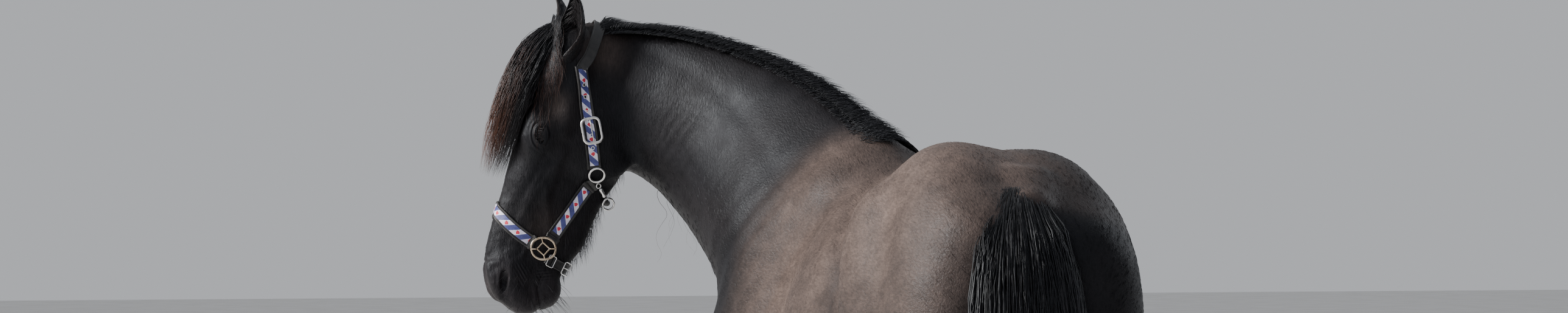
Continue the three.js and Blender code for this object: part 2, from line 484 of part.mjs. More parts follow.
// Collapses the edges that matter least until few enough faces are left.
function thin({ verts, faces }, target, weight = () => 1) {
  const n = verts.length, V = verts.map((v) => v.slice()), Fc = faces.map((f) => f.slice()), alive = new Uint8Array(Fc.length).fill(1);
  const vf = Array.from({ length: n }, () => new Set()), Q = Array.from({ length: n }, () => new Float64Array(10)), ver = new Int32Array(n);
  Fc.forEach((f, i) => f.forEach((v) => vf[v].add(i)));
  const nrm = (a, b, c) => cross(sub(b, a), sub(c, a));
  Fc.forEach((f) => {
    const [A, B, C] = f.map((v) => V[v]), N = nrm(A, B, C), L = hypot(...N) || 1e-12, u = N.map((x) => x / L), d = -dot(u, A);
    const w = L * weight(A), e = [u[0], u[1], u[2], d];
    for (const v of f) {
      let k = 0;
      for (let r = 0; r < 4; r++) for (let c = r; c < 4; c++) Q[v][k++] += e[r] * e[c] * w;
    }
  });
  const cost = (q, p) => q[0] * p[0] * p[0] + 2 * q[1] * p[0] * p[1] + 2 * q[2] * p[0] * p[2] + 2 * q[3] * p[0] + q[4] * p[1] * p[1] + 2 * q[5] * p[1] * p[2] + 2 * q[6] * p[1] + q[7] * p[2] * p[2] + 2 * q[8] * p[2] + q[9];
  const best = (a, b) => {
    const q = Q[a].map((v, i) => v + Q[b][i]);
    const M = [[q[0], q[1], q[2]], [q[1], q[4], q[5]], [q[2], q[5], q[7]]], r = [-q[3], -q[6], -q[8]];
    const det = dot(M[0], cross(M[1], M[2]));
    const len2 = dot(sub(V[a], V[b]), sub(V[a], V[b]));
    const mid = V[a].map((v, i) => (v + V[b][i]) / 2), cand = [mid, V[a], V[b]];
    if (abs(det) > 1e-18) {
      const c = [0, 1, 2].map((col) => { const T = M.map((row, i) => row.map((v, k) => (k === col ? r[i] : v))); return dot(T[0], cross(T[1], T[2])) / det; });
      const d = sub(c, mid);
      if (dot(d, d) < len2) cand.unshift(c);
    }
    let bp = null, bc = Infinity;
    for (const c of cand) { const e = cost(q, c); if (e < bc - 1e-16) { bc = e; bp = c; } }
    return { p: bp, c: bc + len2 * 1e-7 * weight(mid), q };
  };
  // a heap of edges
  const H = [];
  const push = (x) => { H.push(x); let i = H.length - 1; while (i > 0) { const p = (i - 1) >> 1; if (H[p].c <= H[i].c) break; [H[p], H[i]] = [H[i], H[p]]; i = p; } };
  const pop = () => { const t = H[0], l = H.pop(); if (H.length) { H[0] = l; let i = 0; for (;;) { let s = i; const a = 2 * i + 1, b = a + 1; if (a < H.length && H[a].c < H[s].c) s = a; if (b < H.length && H[b].c < H[s].c) s = b; if (s === i) break; [H[s], H[i]] = [H[i], H[s]]; i = s; } } return t; };
  const ring = (v) => { const s = new Set(); for (const f of vf[v]) for (const x of Fc[f]) if (x !== v) s.add(x); return s; };
  const offer = (a, b) => { const r = best(a, b); push({ a, b, c: r.c, p: r.p, q: r.q, va: ver[a], vb: ver[b] }); };
  for (let v = 0; v < n; v++) for (const u of ring(v)) if (u > v) offer(v, u);
  let left = Fc.length;
  while (left > target && H.length) {
    const e = pop();
    if (ver[e.a] !== e.va || ver[e.b] !== e.vb || !vf[e.a].size || !vf[e.b].size) continue;
    const ra = ring(e.a), rb = ring(e.b);
    let common = 0;
    for (const x of ra) if (rb.has(x)) common++;
    if (common !== 2) continue;
    let ok = true;
    for (const [v, o] of [[e.a, e.b], [e.b, e.a]]) {
      for (const f of vf[v]) {
        if (Fc[f].includes(o)) continue;
        const A = Fc[f].map((x) => V[x]), B = Fc[f].map((x) => (x === v ? e.p : V[x]));
        const n0 = nrm(...A), n1 = nrm(...B), l0 = hypot(...n0), l1 = hypot(...n1);
        const longest = max(hypot(...sub(B[0], B[1])), hypot(...sub(B[1], B[2])), hypot(...sub(B[2], B[0])));
        if (dot(n0, n1) < 0.25 * l0 * l1 || l1 < 0.02 * longest * longest) { ok = false; break; }
      }
      if (!ok) break;
    }
    if (!ok) continue;
    V[e.a] = e.p; Q[e.a] = e.q;
    for (const f of [...vf[e.b]]) {
      if (Fc[f].includes(e.a)) { alive[f] = 0; left--; for (const x of Fc[f]) vf[x].delete(f); }
      else { Fc[f] = Fc[f].map((x) => (x === e.b ? e.a : x)); vf[e.a].add(f); }
    }
    vf[e.b].clear(); ver[e.a]++; ver[e.b]++;
    for (const u of ring(e.a)) offer(e.a, u);
  }
  return compact({ verts: V, faces: Fc.filter((_, i) => alive[i]) });
}
function compact({ verts, faces }) {
  const map = new Map(), out = [];
  const fs = faces.map((f) => f.map((v) => { if (!map.has(v)) { map.set(v, out.length); out.push(verts[v]); } return map.get(v); }));
  return { verts: out, faces: fs };
}

// ---------- solids ----------
const wasm = await Module();
wasm.setup();
// meshes in metres go to the solid maker in millimetres
function solid({ verts, faces }) {
  const v = new Float32Array(verts.length * 3);
  verts.forEach((p, i) => v.set([p[0] * 1000, p[1] * 1000, p[2] * 1000], i * 3));
  return new wasm.Manifold(new wasm.Mesh({ numProp: 3, vertProperties: v, triVerts: Uint32Array.from(faces.flat()) }));
}
function fromGeometry(geometry) { // a three.js geometry in millimetres
  let g = geometry.index ? geometry.clone() : geometry.clone();
  g.deleteAttribute('normal'); if (g.attributes.uv) g.deleteAttribute('uv');
  g = mergeVertices(g, 1e-4);
  const idx = Array.from(g.index.array), keep = [];
  for (let i = 0; i < idx.length; i += 3) if (idx[i] !== idx[i + 1] && idx[i + 1] !== idx[i + 2] && idx[i] !== idx[i + 2]) keep.push(idx[i], idx[i + 1], idx[i + 2]);
  return new wasm.Manifold(new wasm.Mesh({ numProp: 3, vertProperties: Float32Array.from(g.attributes.position.array), triVerts: Uint32Array.from(keep) }));
}
// the pieces that a solid falls into, each as verts and faces in millimetres
function pieces(m) {
  const g = m.getMesh(), np = g.numProp, nv = g.vertProperties.length / np, tri = g.triVerts;
  const key = new Map(), same = new Int32Array(nv), pts = [];
  for (let i = 0; i < nv; i++) {
    const p = [g.vertProperties[i * np], g.vertProperties[i * np + 1], g.vertProperties[i * np + 2]], k = p.join(',');
    if (!key.has(k)) { key.set(k, pts.length); pts.push(p); }
    same[i] = key.get(k);
  }
  const up = Int32Array.from(pts, (_, i) => i);
  const find = (a) => { while (up[a] !== a) { up[a] = up[up[a]]; a = up[a]; } return a; };
  const fs = [];
  for (let i = 0; i < tri.length; i += 3) {
    const f = [same[tri[i]], same[tri[i + 1]], same[tri[i + 2]]];
    if (f[0] === f[1] || f[1] === f[2] || f[0] === f[2]) continue;
    fs.push(f);
    up[find(f[0])] = find(f[1]); up[find(f[1])] = find(f[2]);
  }
  const groups = new Map();
  for (const f of fs) { const r = find(f[0]); if (!groups.has(r)) groups.set(r, []); groups.get(r).push(f); }
  return [...groups.values()].map((faces) => {
    const c = compact({ verts: pts, faces });
    let vol = 0;
    const lo = [1e9, 1e9, 1e9], hi = [-1e9, -1e9, -1e9];
    for (const f of c.faces) { const [A, B, C] = f.map((v) => c.verts[v]); vol += dot(A, cross(B, C)) / 6; }
    for (const p of c.verts) for (let d = 0; d < 3; d++) { lo[d] = min(lo[d], p[d]); hi[d] = max(hi[d], p[d]); }
    return { ...c, vol, lo, hi, mid: lo.map((v, d) => (v + hi[d]) / 2) };
  }).filter((c) => abs(c.vol) > 50);
}
const biggest = (m) => pieces(m).sort((a, b) => b.vol - a.vol)[0];
function grow({ verts, faces }, by) {
  const N = verts.map(() => [0, 0, 0]);
  for (const f of faces) {
    const n = cross(sub(verts[f[1]], verts[f[0]]), sub(verts[f[2]], verts[f[0]]));
    for (const v of f) N[v] = add(N[v], n);
  }
  return { verts: verts.map((p, i) => add(p, unit(N[i]), by)), faces };
}
// a thin slab whose flat side goes through c, with the given normal, side and up
function slab(c, n, side, across, tall, thick = CUT) {
  const N = unit(n), S = unit(side), U = cross(N, S);
  const g = new THREE.BoxGeometry(thick * 1000, across * 1000, tall * 1000);
  g.applyMatrix4(new THREE.Matrix4().makeBasis(new THREE.Vector3(...N), new THREE.Vector3(...S), new THREE.Vector3(...U)).setPosition(c[0] * 1000, c[1] * 1000, c[2] * 1000));
  return fromGeometry(g);
}
// a closed skin over rings of equal length, with a cap at both ends
function loft(rings) {
  const verts = [], faces = [], n = rings[0].length;
  rings.forEach((r) => r.forEach((p) => verts.push(p)));
  for (let i = 0; i < rings.length - 1; i++) for (let j = 0; j < n; j++) {
    const a = i * n + j, b = i * n + ((j + 1) % n), c = a + n, d = b + n;
    faces.push([a, b, d], [a, d, c]);
  }
  for (const [r, flip] of [[0, true], [rings.length - 1, false]]) {
    const mid = rings[r].reduce((s, p) => add(s, p, 1 / n), [0, 0, 0]), m = verts.length;
    verts.push(mid);
    for (let j = 0; j < n; j++) { const a = r * n + j, b = r * n + ((j + 1) % n); faces.push(flip ? [b, a, m] : [a, b, m]); }
  }
  return outward({ verts, faces });
}
function outward(m) {
  let v = 0;
  for (const f of m.faces) v += dot(m.verts[f[0]], cross(m.verts[f[1]], m.verts[f[2]]));
  return v < 0 ? { verts: m.verts, faces: m.faces.map(([a, b, c]) => [a, c, b]) } : m;
}
const curve = (rows, t) => at(lookup(rows, 121), t)[0];

// ---------- flesh ----------
const withFeather = (p) => smin(body(p), feather(unbend(p)), 0.012);
const X = gridLines([[-0.93, 0.86, CELL_BODY], [0.86, 1.22, CELL_HEAD]]);
const Y = gridLines([[-0.42, 0.36, CELL_BODY], [0.36, 0.90, CELL_HEAD]]);
const Z = gridLines([[0.002, 0.30, 0.012], [0.30, 1.08, CELL_BODY], [1.08, 1.92, 0.010]]);
const rough = surface(withFeather, X, Y, Z, [0.1, 0.0, 1.2]);
for (let r = 0; r < 2; r++) for (const v of rough.verts) {
  const f = withFeather(v), e = 0.001;
  const g = [0, 1, 2].map((d) => { const q = v.slice(); q[d] += e; return (withFeather(q) - f) / e; });
  const gg = max(dot(g, g), 0.3), s = clamp((-f / gg) * 0.8, -0.004, 0.004);
  for (let d = 0; d < 3; d++) v[d] += g[d] * s;
}
const fleshMesh = thin(rough, FACES_BODY, (p) => {
  const q = toHead(p);
  if (q[0] > -0.05 && q[0] < 0.70 && abs(q[2]) < 0.14 && q[1] > -0.24) return q[0] > 0.56 || (q[0] > 0.15 && q[0] < 0.36) ? 26 : 14;
  return p[2] < 0.95 ? 4 : 1;
});
let flesh = solid(fleshMesh);
const grown = solid(grow(fleshMesh, CLEAR));

// eyes sit in the head: the ball, and the opening between the lids
const balls = {};
for (const [name, s] of [['left', 1], ['right', -1]]) {
  const sphere = (r) => { const g = new THREE.IcosahedronGeometry(r * 1000, 2); const c = fromHead([EYE.at[0], EYE.at[1], EYE.at[2] * s]); g.translate(c[0] * 1000, c[1] * 1000, c[2] * 1000); return fromGeometry(g); };
  balls[name] = sphere(EYE.r);
  const lids = new THREE.IcosahedronGeometry(1, 1);
  const M = new THREE.Matrix4().makeBasis(new THREE.Vector3(...HA).multiplyScalar(EYE.lids[0] * 1000), new THREE.Vector3(...HF).multiplyScalar(EYE.lids[1] * 1000), new THREE.Vector3(...HL).multiplyScalar(-EYE.lids[2] * 1000));
  const c = fromHead([EYE.at[0], EYE.at[1], (EYE.at[2] + EYE.r) * s]);
  lids.applyMatrix4(M.setPosition(c[0] * 1000, c[1] * 1000, c[2] * 1000));
  flesh = flesh.subtract(sphere(EYE.r + 0.0004)).subtract(fromGeometry(lids));
}

// hooves
function hoof(h, side, out = 0) {
  const rings = [], n = 16;
  for (const u of [0, 1]) {
    const r = [];
    for (let j = 0; j < n; j++) {
      const a = (j / n) * 2 * PI, cx = cos(a), sy = sin(a);
      const reach = cx > 0 ? h.toe : h.heel, flat = cx > 0 ? 1 : 0.93;
      const top = HEEL_HEIGHT + (HOOF_HEIGHT - HEEL_HEIGHT) * (0.5 + 0.5 * cx);
      const k = 1 - 0.26 * u, back = -0.022 * u;
      r.push([h.x + back + cx * (reach * k + out) * flat, side * h.y + sy * (h.half * k + out), (top + out) * u]);
    }
    rings.push(r);
  }
  return loft(rings.map((r) => r.map((p) => bend(p))));
}
const hooves = {};
for (const [name, h, s] of [['hoof_front_left', FORE_HOOF, 1], ['hoof_front_right', FORE_HOOF, -1], ['hoof_hind_left', HIND_HOOF, 1], ['hoof_hind_right', HIND_HOOF, -1]]) {
  hooves[name] = solid(hoof(h, s));
  flesh = flesh.subtract(solid(hoof(h, s, 0.0006)));
}

// cuts: head, neck, feet and legs
const lower = (x0, x1, y0, y1, z) => {
  const c = [(x0 + x1) / 2, (y0 + y1) / 2, z];
  const g = new THREE.BoxGeometry((x1 - x0) * 1000, (y1 - y0) * 1000, CUT * 1000);
  g.translate(c[0] * 1000, c[1] * 1000, c[2] * 1000);
  return fromGeometry(g);
};
flesh = flesh.subtract(lower(0.30, 0.84, -0.30, 0.42, 0.800));
flesh = flesh.subtract(lower(-0.92, -0.22, -0.34, 0.40, 0.885));
flesh = flesh.subtract(lower(-0.95, 0.95, -0.42, 0.46, 0.272));
{
  const P1 = [1.018, 0.522, 1.840], P2 = [1.030, 0.424, 1.465];
  const c = mix(P1, P2, 0.5), U = unit(sub(P1, P2)), S = neckAt('S', 72);
  const N = unit(cross(S, U));
  flesh = flesh.subtract(slab(c, N, S, 0.40, 0.56));
}
{
  const k = 20, C = neckAt('C', k), K = neckAt('K', k), U = neckAt('U', k), S = neckAt('S', k), N = unit(cross(S, U));
  flesh = flesh.subtract(slab(add(C, U, -0.02), N, S, 0.72, 0.80));
}
const flat = pieces(flesh).sort((a, b) => b.vol - a.vol);
const named = {};
for (const p of flat) {
  const [x, y, z] = p.mid;
  let name;
  if (z < 200) name = `feather_${x > 0 ? 'front' : 'hind'}_${y > (x > 0 ? 70 : 15) ? 'left' : 'right'}`;
  else if (z < 800) name = `${x > 0 ? 'foreleg' : 'hindleg'}_${y > (x > 0 ? 70 : 15) ? 'left' : 'right'}`;
  else if (x > 950 && y > 450) name = 'head';
  else if (x > 600) name = 'neck';
  else name = 'trunk';
  if (named[name]) console.error('second piece for', name, p.vol.toFixed(0), p.mid.map((v) => v.toFixed(0)).join(' '));
  else named[name] = p;
}

// ---------- ears: cupped leaves ----------
function ear({ root, tip, face }) {
  const ax = unit(sub(tip, root)), O = unit(add(face, ax, -dot(face, ax))), W = cross(ax, O), len = hypot(...sub(tip, root)), rings = [], n = 8;
  for (const s of [0, 0.12, 0.26, 0.42, 0.58, 0.74, 0.89, 1]) {
    const w = curve(EAR_WIDTH, s), d = w * (0.85 - 0.25 * s), wrap = rad(62) * (1 - ramp(s / 0.55)) + rad(6);
    const bow = 0.010 * sin(PI * s), c = add(add(root, ax, len * s), O, -bow * 0.6);
    const at2 = (a, k) => add(add(c, W, (w - k) * cos(a)), O, -(d - k) * sin(a));
    const ring = [], th = min(EAR_THICK, w * 0.6);
    for (let j = 0; j < n; j++) ring.push(at2(-wrap + ((PI + 2 * wrap) * j) / (n - 1), 0));
    for (let j = n - 1; j >= 0; j--) ring.push(at2(-wrap + ((PI + 2 * wrap) * j) / (n - 1), th));
    rings.push(ring.map(fromHead));
  }
  return crescent(rings, n);
}
// like loft, but the ends are closed as strips between the outer and inner lines
function crescent(rings, n) {
  const verts = rings.flat(), faces = [], m = 2 * n;
  for (let i = 0; i < rings.length - 1; i++) for (let j = 0; j < m; j++) {
    const a = i * m + j, b = i * m + ((j + 1) % m), c = a + m, d = b + m;
    faces.push([a, b, d], [a, d, c]);
  }
  for (const [r, flip] of [[0, true], [rings.length - 1, false]]) for (let j = 0; j < n - 1; j++) {
    const a = r * m + j, b = a + 1, c = r * m + (m - 1 - j), d = c - 1;
    for (const f of [[a, b, d], [a, d, c]]) faces.push(flip ? [f[1], f[0], f[2]] : f);
  }
  return outward({ verts, faces });
}

// ---------- hair that hangs in one mass ----------
const crestSpan = (q) => 12 + (86 - 12) * q; // from the withers to the poll, as a place on the neck's sections
// the mane falls to the right: a line that starts over the crest and then hangs, pushed out by the neck
function maneLine(q, lift, steps, length) {
  const t = crestSpan(q), K = neckAt('K', t), S = neckAt('S', t), line = [];
  const left = S[1] > 0 ? 1 : -1, R = unit([-S[0] * left, -S[1] * left, 0]);
  line.push(add(add(K, R, -0.030), [0, 0, 1], -0.022 + lift), add(add(K, R, -0.014), [0, 0, 1], 0.002 + lift), add(add(K, R, 0.004), [0, 0, 1], 0.006 + lift));
  let s = 0.016;
  for (let i = 1; i <= steps; i++) {
    const h = (length * i) / steps - 0.004;
    for (let k = 0; k < 90; k++) {
      const p = add(add(K, R, s), [0, 0, 1], -h + lift);
      if (min(body(p), 1) >= lift) break;
      s += 0.003;
    }
    line.push(add(add(K, R, s), [0, 0, 1], -h + lift * 0.4));
  }
  return line;
}
function mane() {
  const rings = [], steps = 5;
  for (let i = 0; i <= 9; i++) {
    const q = i / 9, L = curve(MANE_LENGTH, q), end = 0.35 + 0.65 * sqrt(min(1, min(q, 1 - q) * 6 + 0.1));
    const outer = maneLine(q, MANE_THICK * end, steps, L), inner = maneLine(q, -0.006, steps, L - 0.012).reverse();
    // where the hair hangs free, the inner line keeps its distance to the outer one
    const ring = [...outer, ...inner.map((p, k) => {
      const o = outer[outer.length - 1 - k], d = sub(p, o), l = hypot(...d);
      return l > 0.03 ? add(o, unit(d), 0.03) : p;
    })];
    rings.push(ring);
  }
  return crescent(rings, rings[0].length / 2);
}

// tail: height, x, y, half width, half depth
const TAIL = [
  [1.492, -0.660, 0.034, 0.034, 0.026], [1.462, -0.712, 0.044, 0.058, 0.036], [1.430, -0.745, 0.052, 0.077, 0.042],
  [1.374, -0.785, 0.058, 0.100, 0.052], [1.315, -0.815, 0.062, 0.114, 0.058], [1.225, -0.842, 0.066, 0.123, 0.062], [1.080, -0.862, 0.070, 0.136, 0.068],
  [0.900, -0.872, 0.070, 0.136, 0.074], [0.700, -0.874, 0.068, 0.122, 0.074], [0.500, -0.868, 0.064, 0.100, 0.064],
  [0.330, -0.862, 0.060, 0.076, 0.050], [0.200, -0.858, 0.058, 0.048, 0.034], [0.130, -0.857, 0.058, 0.020, 0.016],
];
// forelock: along the head, towards the face, to the left, half width, half depth
const FORELOCK = [
  [-0.050, 0.006, 0.000, 0.022, 0.018], [-0.020, 0.044, 0.000, 0.042, 0.030], [0.040, 0.084, 0.004, 0.052, 0.036], [0.110, 0.108, 0.014, 0.064, 0.040],
  [0.180, 0.119, 0.022, 0.068, 0.041], [0.250, 0.122, 0.018, 0.058, 0.042], [0.320, 0.121, 0.009, 0.044, 0.040], [0.390, 0.123, 0.002, 0.020, 0.028],
];

// ---------- halter ----------
// a point on the head at a place along it and an angle round it (0 the face, 90 its left, 180 under the jaw), at a height over the skin
function onHead(a, deg, lift, mid = -0.03) {
  const d = [cos(rad(deg)), sin(rad(deg))];
  let r = 0.30;
  const f = (x) => min(head([a, mid + d[0] * x, d[1] * x]), 9);
  for (let i = 0; i < 60; i++) { const v = f(r) - lift; if (abs(v) < 1e-5) break; r -= v * 0.8; if (r < 0.01) { r = 0.01; break; } }
  return [a, mid + d[0] * r, d[1] * r];
}
function strap(guide, width, thick = STRAP_THICK, lift = 0.0015) {
  const n = guide.length, rings = [];
  const P = guide.map(([a, d, ex]) => onHead(a, d, lift + (ex || 0)));
  for (let i = 0; i < n; i++) {
    const T = unit(sub(P[min(i + 1, n - 1)], P[max(i - 1, 0)])), e = 0.003;
    const g = [0, 1, 2].map((k) => { const q = P[i].slice(); q[k] += e; const r = P[i].slice(); r[k] -= e; return head(q) - head(r); });
    let N = unit(g); N = unit(add(N, T, -dot(N, T)));
    const B = cross(T, N), ring = [];
    for (const [u, v] of [[-0.5, 0], [-0.17, 0], [0.17, 0], [0.5, 0], [0.5, 1], [0.17, 1], [-0.17, 1], [-0.5, 1]]) ring.push(fromHead(add(add(P[i], B, u * width), N, v * thick)));
    rings.push(ring);
  }
  return crescent(rings, 4);
}
const between = (a, b, n) => Array.from({ length: n + 1 }, (_, i) => mix(a, b, i / n));
// a ring of round wire, or a frame of straight bars, in the head's frame
function hoop(c, n, up, pts, wire, closed = true) {
  const N = unit(n), U = unit(add(up, N, -dot(up, N))), V = cross(N, U);
  const path = pts.map(([u, v]) => new THREE.Vector3(...fromHead(add(add(c, U, u), V, v)).map((x) => x * 1000)));
  const crv = new THREE.CatmullRomCurve3(path, closed, 'centripetal');
  const sh = new THREE.Shape();
  sh.absarc(0, 0, wire * 1000, 0, 2 * PI, false);
  const g = new THREE.ExtrudeGeometry(sh, { steps: pts.length * 2, curveSegments: 4, bevelEnabled: false, extrudePath: crv });
  return closed ? closeTube(path, wire * 1000) : fromGeometry(g);
}
function closeTube(path, r) { // round wire bent into a closed ring
  const n = path.length, m = 5, verts = [], faces = [];
  const mid = path.reduce((s, p) => s.add(p), new THREE.Vector3()).multiplyScalar(1 / n);
  const nrm = new THREE.Vector3();
  for (let i = 0; i < n; i++) nrm.add(path[i].clone().sub(mid).cross(path[(i + 1) % n].clone().sub(mid)));
  nrm.normalize();
  for (let i = 0; i < n; i++) {
    const t = path[(i + 1) % n].clone().sub(path[(i + n - 1) % n]).normalize(), o = t.clone().cross(nrm);
    for (let j = 0; j < m; j++) {
      const a = (2 * PI * j) / m, p = path[i].clone().addScaledVector(o, cos(a) * r).addScaledVector(nrm, sin(a) * r);
      verts.push([p.x / 1000, p.y / 1000, p.z / 1000]);
    }
  }
  for (let i = 0; i < n; i++) for (let j = 0; j < m; j++) {
    const a = i * m + j, b = i * m + ((j + 1) % m), c = ((i + 1) % n) * m + j, d = ((i + 1) % n) * m + ((j + 1) % m);
    faces.push([a, b, d], [a, d, c]);
  }
  return solid(outward({ verts, faces }));
}

// ---------- put it together ----------
const horse = new THREE.Group();
horse.name = 'horse';
const COAT = { color: 0x14110f, roughness: 0.55, metalness: 0 }, HAIR = { color: 0x0d0b0a, roughness: 0.5, metalness: 0 };
const HORN = { color: 0x2a2622, roughness: 0.6, metalness: 0 }, EYEC = { color: 0x120a06, roughness: 0.08, metalness: 0 };
const WEB = { color: 0x1b2347, roughness: 0.8, metalness: 0 }, STEEL = { color: 0x9a9a98, roughness: 0.3, metalness: 1 };
function put(name, mesh, look, offset = ORIGIN_SHIFT) {
  const g = new THREE.BufferGeometry();
  g.setAttribute('position', new THREE.BufferAttribute(Float32Array.from(mesh.verts.flat()), 3));
  g.setIndex(mesh.faces.flat());
  g.computeVertexNormals();
  const m = new THREE.Mesh(g, new THREE.MeshStandardMaterial(look));
  m.name = name;
  m.position.set(offset[0] * 1000, offset[1] * 1000, 0);
  horse.add(m);
}
for (const [name, p] of Object.entries(named)) put(name, p, COAT);
for (const [name, h] of Object.entries(hooves)) put(name, biggest(h), HORN);
for (const [name, b] of Object.entries(balls)) put(`eye_${name}`, biggest(b), EYEC);
const earSolid = {};
for (const [name, e] of Object.entries(EARS)) { earSolid[name] = solid(ear(e)); put(`ear_${name}`, biggest(earSolid[name].subtract(grown)), COAT); }
const earRoom = ['left', 'right'].map((k) => solid(grow(ear(EARS[k]), CLEAR)));
let maneSolid = solid(mane()).subtract(grown);
for (const e of earRoom) maneSolid = maneSolid.subtract(e);
const ellipse = (n, f) => Array.from({ length: n }, (_, j) => f(cos((2 * PI * j) / n), sin((2 * PI * j) / n)));
put('tail', biggest(solid(loft(TAIL.map(([z, x, y, w, d]) => ellipse(14, (c, s) => [x + c * d, y + s * w, z + (z > 1.44 ? -c * 0.02 : 0)])))).subtract(grown)), HAIR);
let forelock = solid(loft(FORELOCK.map(([a, f, l, w, d]) => ellipse(10, (c, s) => fromHead([a, f + c * d - s * s * 0.012, l + s * w]))))).subtract(grown);
for (const e of earRoom) forelock = forelock.subtract(e);
const nudges = [[1.2, 0, 0], [-1.2, 0, 0], [0, 1.2, 0], [0, -1.2, 0], [0, 0, 1.2], [0, 0, -1.2], [0.7, 0.7, 0.7], [-0.7, -0.7, 0.7], [0.7, -0.7, -0.7], [-0.7, 0.7, -0.7]];
for (const e of Object.values(earSolid)) for (const d of nudges) forelock = forelock.subtract(e.translate(d));
const maneGrown = solid(grow(mane(), CLEAR));
const guides = {
  cheek: [[0.085, 75], [0.120, 84.5], [0.155, 92.5], [0.190, 101], [0.225, 110], [0.262, 118.5], [0.298, 128]],
  side: [[0.344, 142], [0.368, 138.5], [0.400, 133], [0.432, 126], [0.462, 117.5], [0.490, 108]],
  nose: [[0.452, 0], [0.460, 9], [0.471, 18], [0.484, 28], [0.496, 40], [0.504, 52], [0.509, 63]],
  chin: [[0.539, 118], [0.543, 134], [0.547, 150], [0.550, 166], [0.551, 180]],
};
const mirror = (g) => g.map(([a, d, ...r]) => [a, -d, ...r]);
const across = (g) => [...mirror(g).reverse(), ...g.slice(1)]; // right, over the middle, left
const under = (g) => [...g, ...g.slice(0, -1).reverse().map(([a, d, ...r]) => [a, 360 - d, ...r])];
// the crown goes over the neck just behind the ears
function crownRing(k, lift) {
  const M = [0.083, -0.018, 0], w = unit([-0.992, -0.126, 0]), d = [w[0] * cos(rad(k)), w[1] * cos(rad(k)), sin(rad(k))];
  let r = 0.05;
  for (let i = 0; i < 160 && body(fromHead(add(M, d, r))) < lift; i++) r += 0.001;
  return add(M, d, r);
}
const crownPath = Array.from({ length: 13 }, (_, i) => crownRing(-82 + (164 * i) / 12, 0.0030));
function bandOver(P, width, thick, normalTo) {
  return P.map((p, i) => {
    const T = unit(sub(P[min(i + 1, P.length - 1)], P[max(i - 1, 0)])), g = sub(p, normalTo), N = unit(add(g, T, -dot(g, T))), B = cross(T, N);
    return [[-0.5, 0], [-0.17, 0], [0.17, 0], [0.5, 0], [0.5, 1], [0.17, 1], [-0.17, 1], [-0.5, 1]].map(([u, v]) => fromHead(add(add(p, B, u * width), N, v * thick)));
  });
}
const halter = {
  halter_crown: crescent(bandOver(crownPath, 0.028, 0.005, [0.083, -0.018, 0]), 4),
  halter_cheek_left: strap(guides.cheek, STRAP),
  halter_cheek_right: strap(mirror(guides.cheek), STRAP),
  halter_side_left: strap(guides.side, STRAP),
  halter_side_right: strap(mirror(guides.side), STRAP),
  halter_nose: strap(across(guides.nose), STRAP),
  halter_chin: strap(under(guides.chin), 0.024, 0.005),
  halter_throat: strap([[0.352, -150], [0.362, -160], [0.370, -170], [0.374, 180], [0.376, 170], [0.374, 163]].map(([a, d]) => [a, d < 0 ? d + 360 : d, 0.003]), 0.014, 0.010),
};
const surfaceFrame = (a, deg, lift) => {
  const c = onHead(a, deg, lift), e = 0.004;
  const N = unit([0, 1, 2].map((k) => { const q = c.slice(); q[k] += e; const r = c.slice(); r[k] -= e; return head(q) - head(r); }));
  return { c, N };
};
const roundPath = (r, n = 14) => Array.from({ length: n }, (_, i) => [r * cos((2 * PI * i) / n), r * sin((2 * PI * i) / n)]);
const boxPath = (w, h, r, k = 2) => {
  const out = [];
  for (const [sx, sy, a0] of [[1, 1, 0], [-1, 1, 90], [-1, -1, 180], [1, -1, 270]]) for (let i = 0; i <= k; i++) {
    const a = rad(a0 + (90 * i) / k);
    out.push([sx * (w / 2 - r) + r * cos(a), sy * (h / 2 - r) + r * sin(a)]);
  }
  return out;
};
const metal = {};
for (const [name, s] of [['left', 1], ['right', -1]]) {
  const ring = surfaceFrame(0.321, 135 * s, 0.0062);
  metal[`halter_ring_${name}`] = hoop(ring.c, ring.N, [1, 0, 0], roundPath(0.0178), 0.0028);
  const sq = surfaceFrame(0.517, 93 * s, 0.0068);
  const up = unit([0.35, 1, 0]);
  metal[`halter_square_${name}`] = hoop(sq.c, sq.N, up, [[0.029, 0.004 * s], [0.020, 0.016 * s], [-0.012, 0.018 * s], [-0.026, 0.013 * s], [-0.029, -0.004 * s], [-0.020, -0.019 * s], [0.010, -0.021 * s], [0.024, -0.014 * s]].reverse().map((p) => p), 0.0026);
}
{
  const b = surfaceFrame(0.225, 110, 0.0118);
  metal.halter_buckle = hoop(b.c, b.N, [0.90, -0.44, 0], boxPath(0.058, 0.042, 0.012), 0.0030);
  const chin = surfaceFrame(0.549, 152, 0.0110);
  metal.halter_chin_buckle = hoop(chin.c, chin.N, [1, 0.2, 0], boxPath(0.030, 0.024, 0.006), 0.0020);
  // snap hook: a closed link between the left ring and the throat strap
  const p0 = onHead(0.346, 144, 0.0075), p1 = onHead(0.368, 158, 0.0105), d = sub(p1, p0), c = mix(p0, p1, 0.5);
  const n = surfaceFrame(0.357, 151, 0.008).N, len = hypot(...d);
  metal.halter_snap = hoop(c, n, d, boxPath(len, 0.013, 0.006), 0.0024);
}
const strapSolid = {};
for (const [name, mesh] of Object.entries(halter)) {
  let s = solid(mesh).subtract(grown);
  for (const [other, o] of Object.entries(strapSolid)) if (name === 'halter_cheek_left' || name === 'halter_cheek_right') s = s.subtract(solid(grow(halter[other], CLEAR)));
  strapSolid[name] = s;
}
for (const name of ['left', 'right']) for (const e of earRoom) strapSolid[`halter_cheek_${name}`] = strapSolid[`halter_cheek_${name}`].subtract(e);
for (const e of earRoom) strapSolid.halter_crown = strapSolid.halter_crown.subtract(e);
for (const [name, s] of Object.entries(strapSolid)) put(name, biggest(s), WEB);
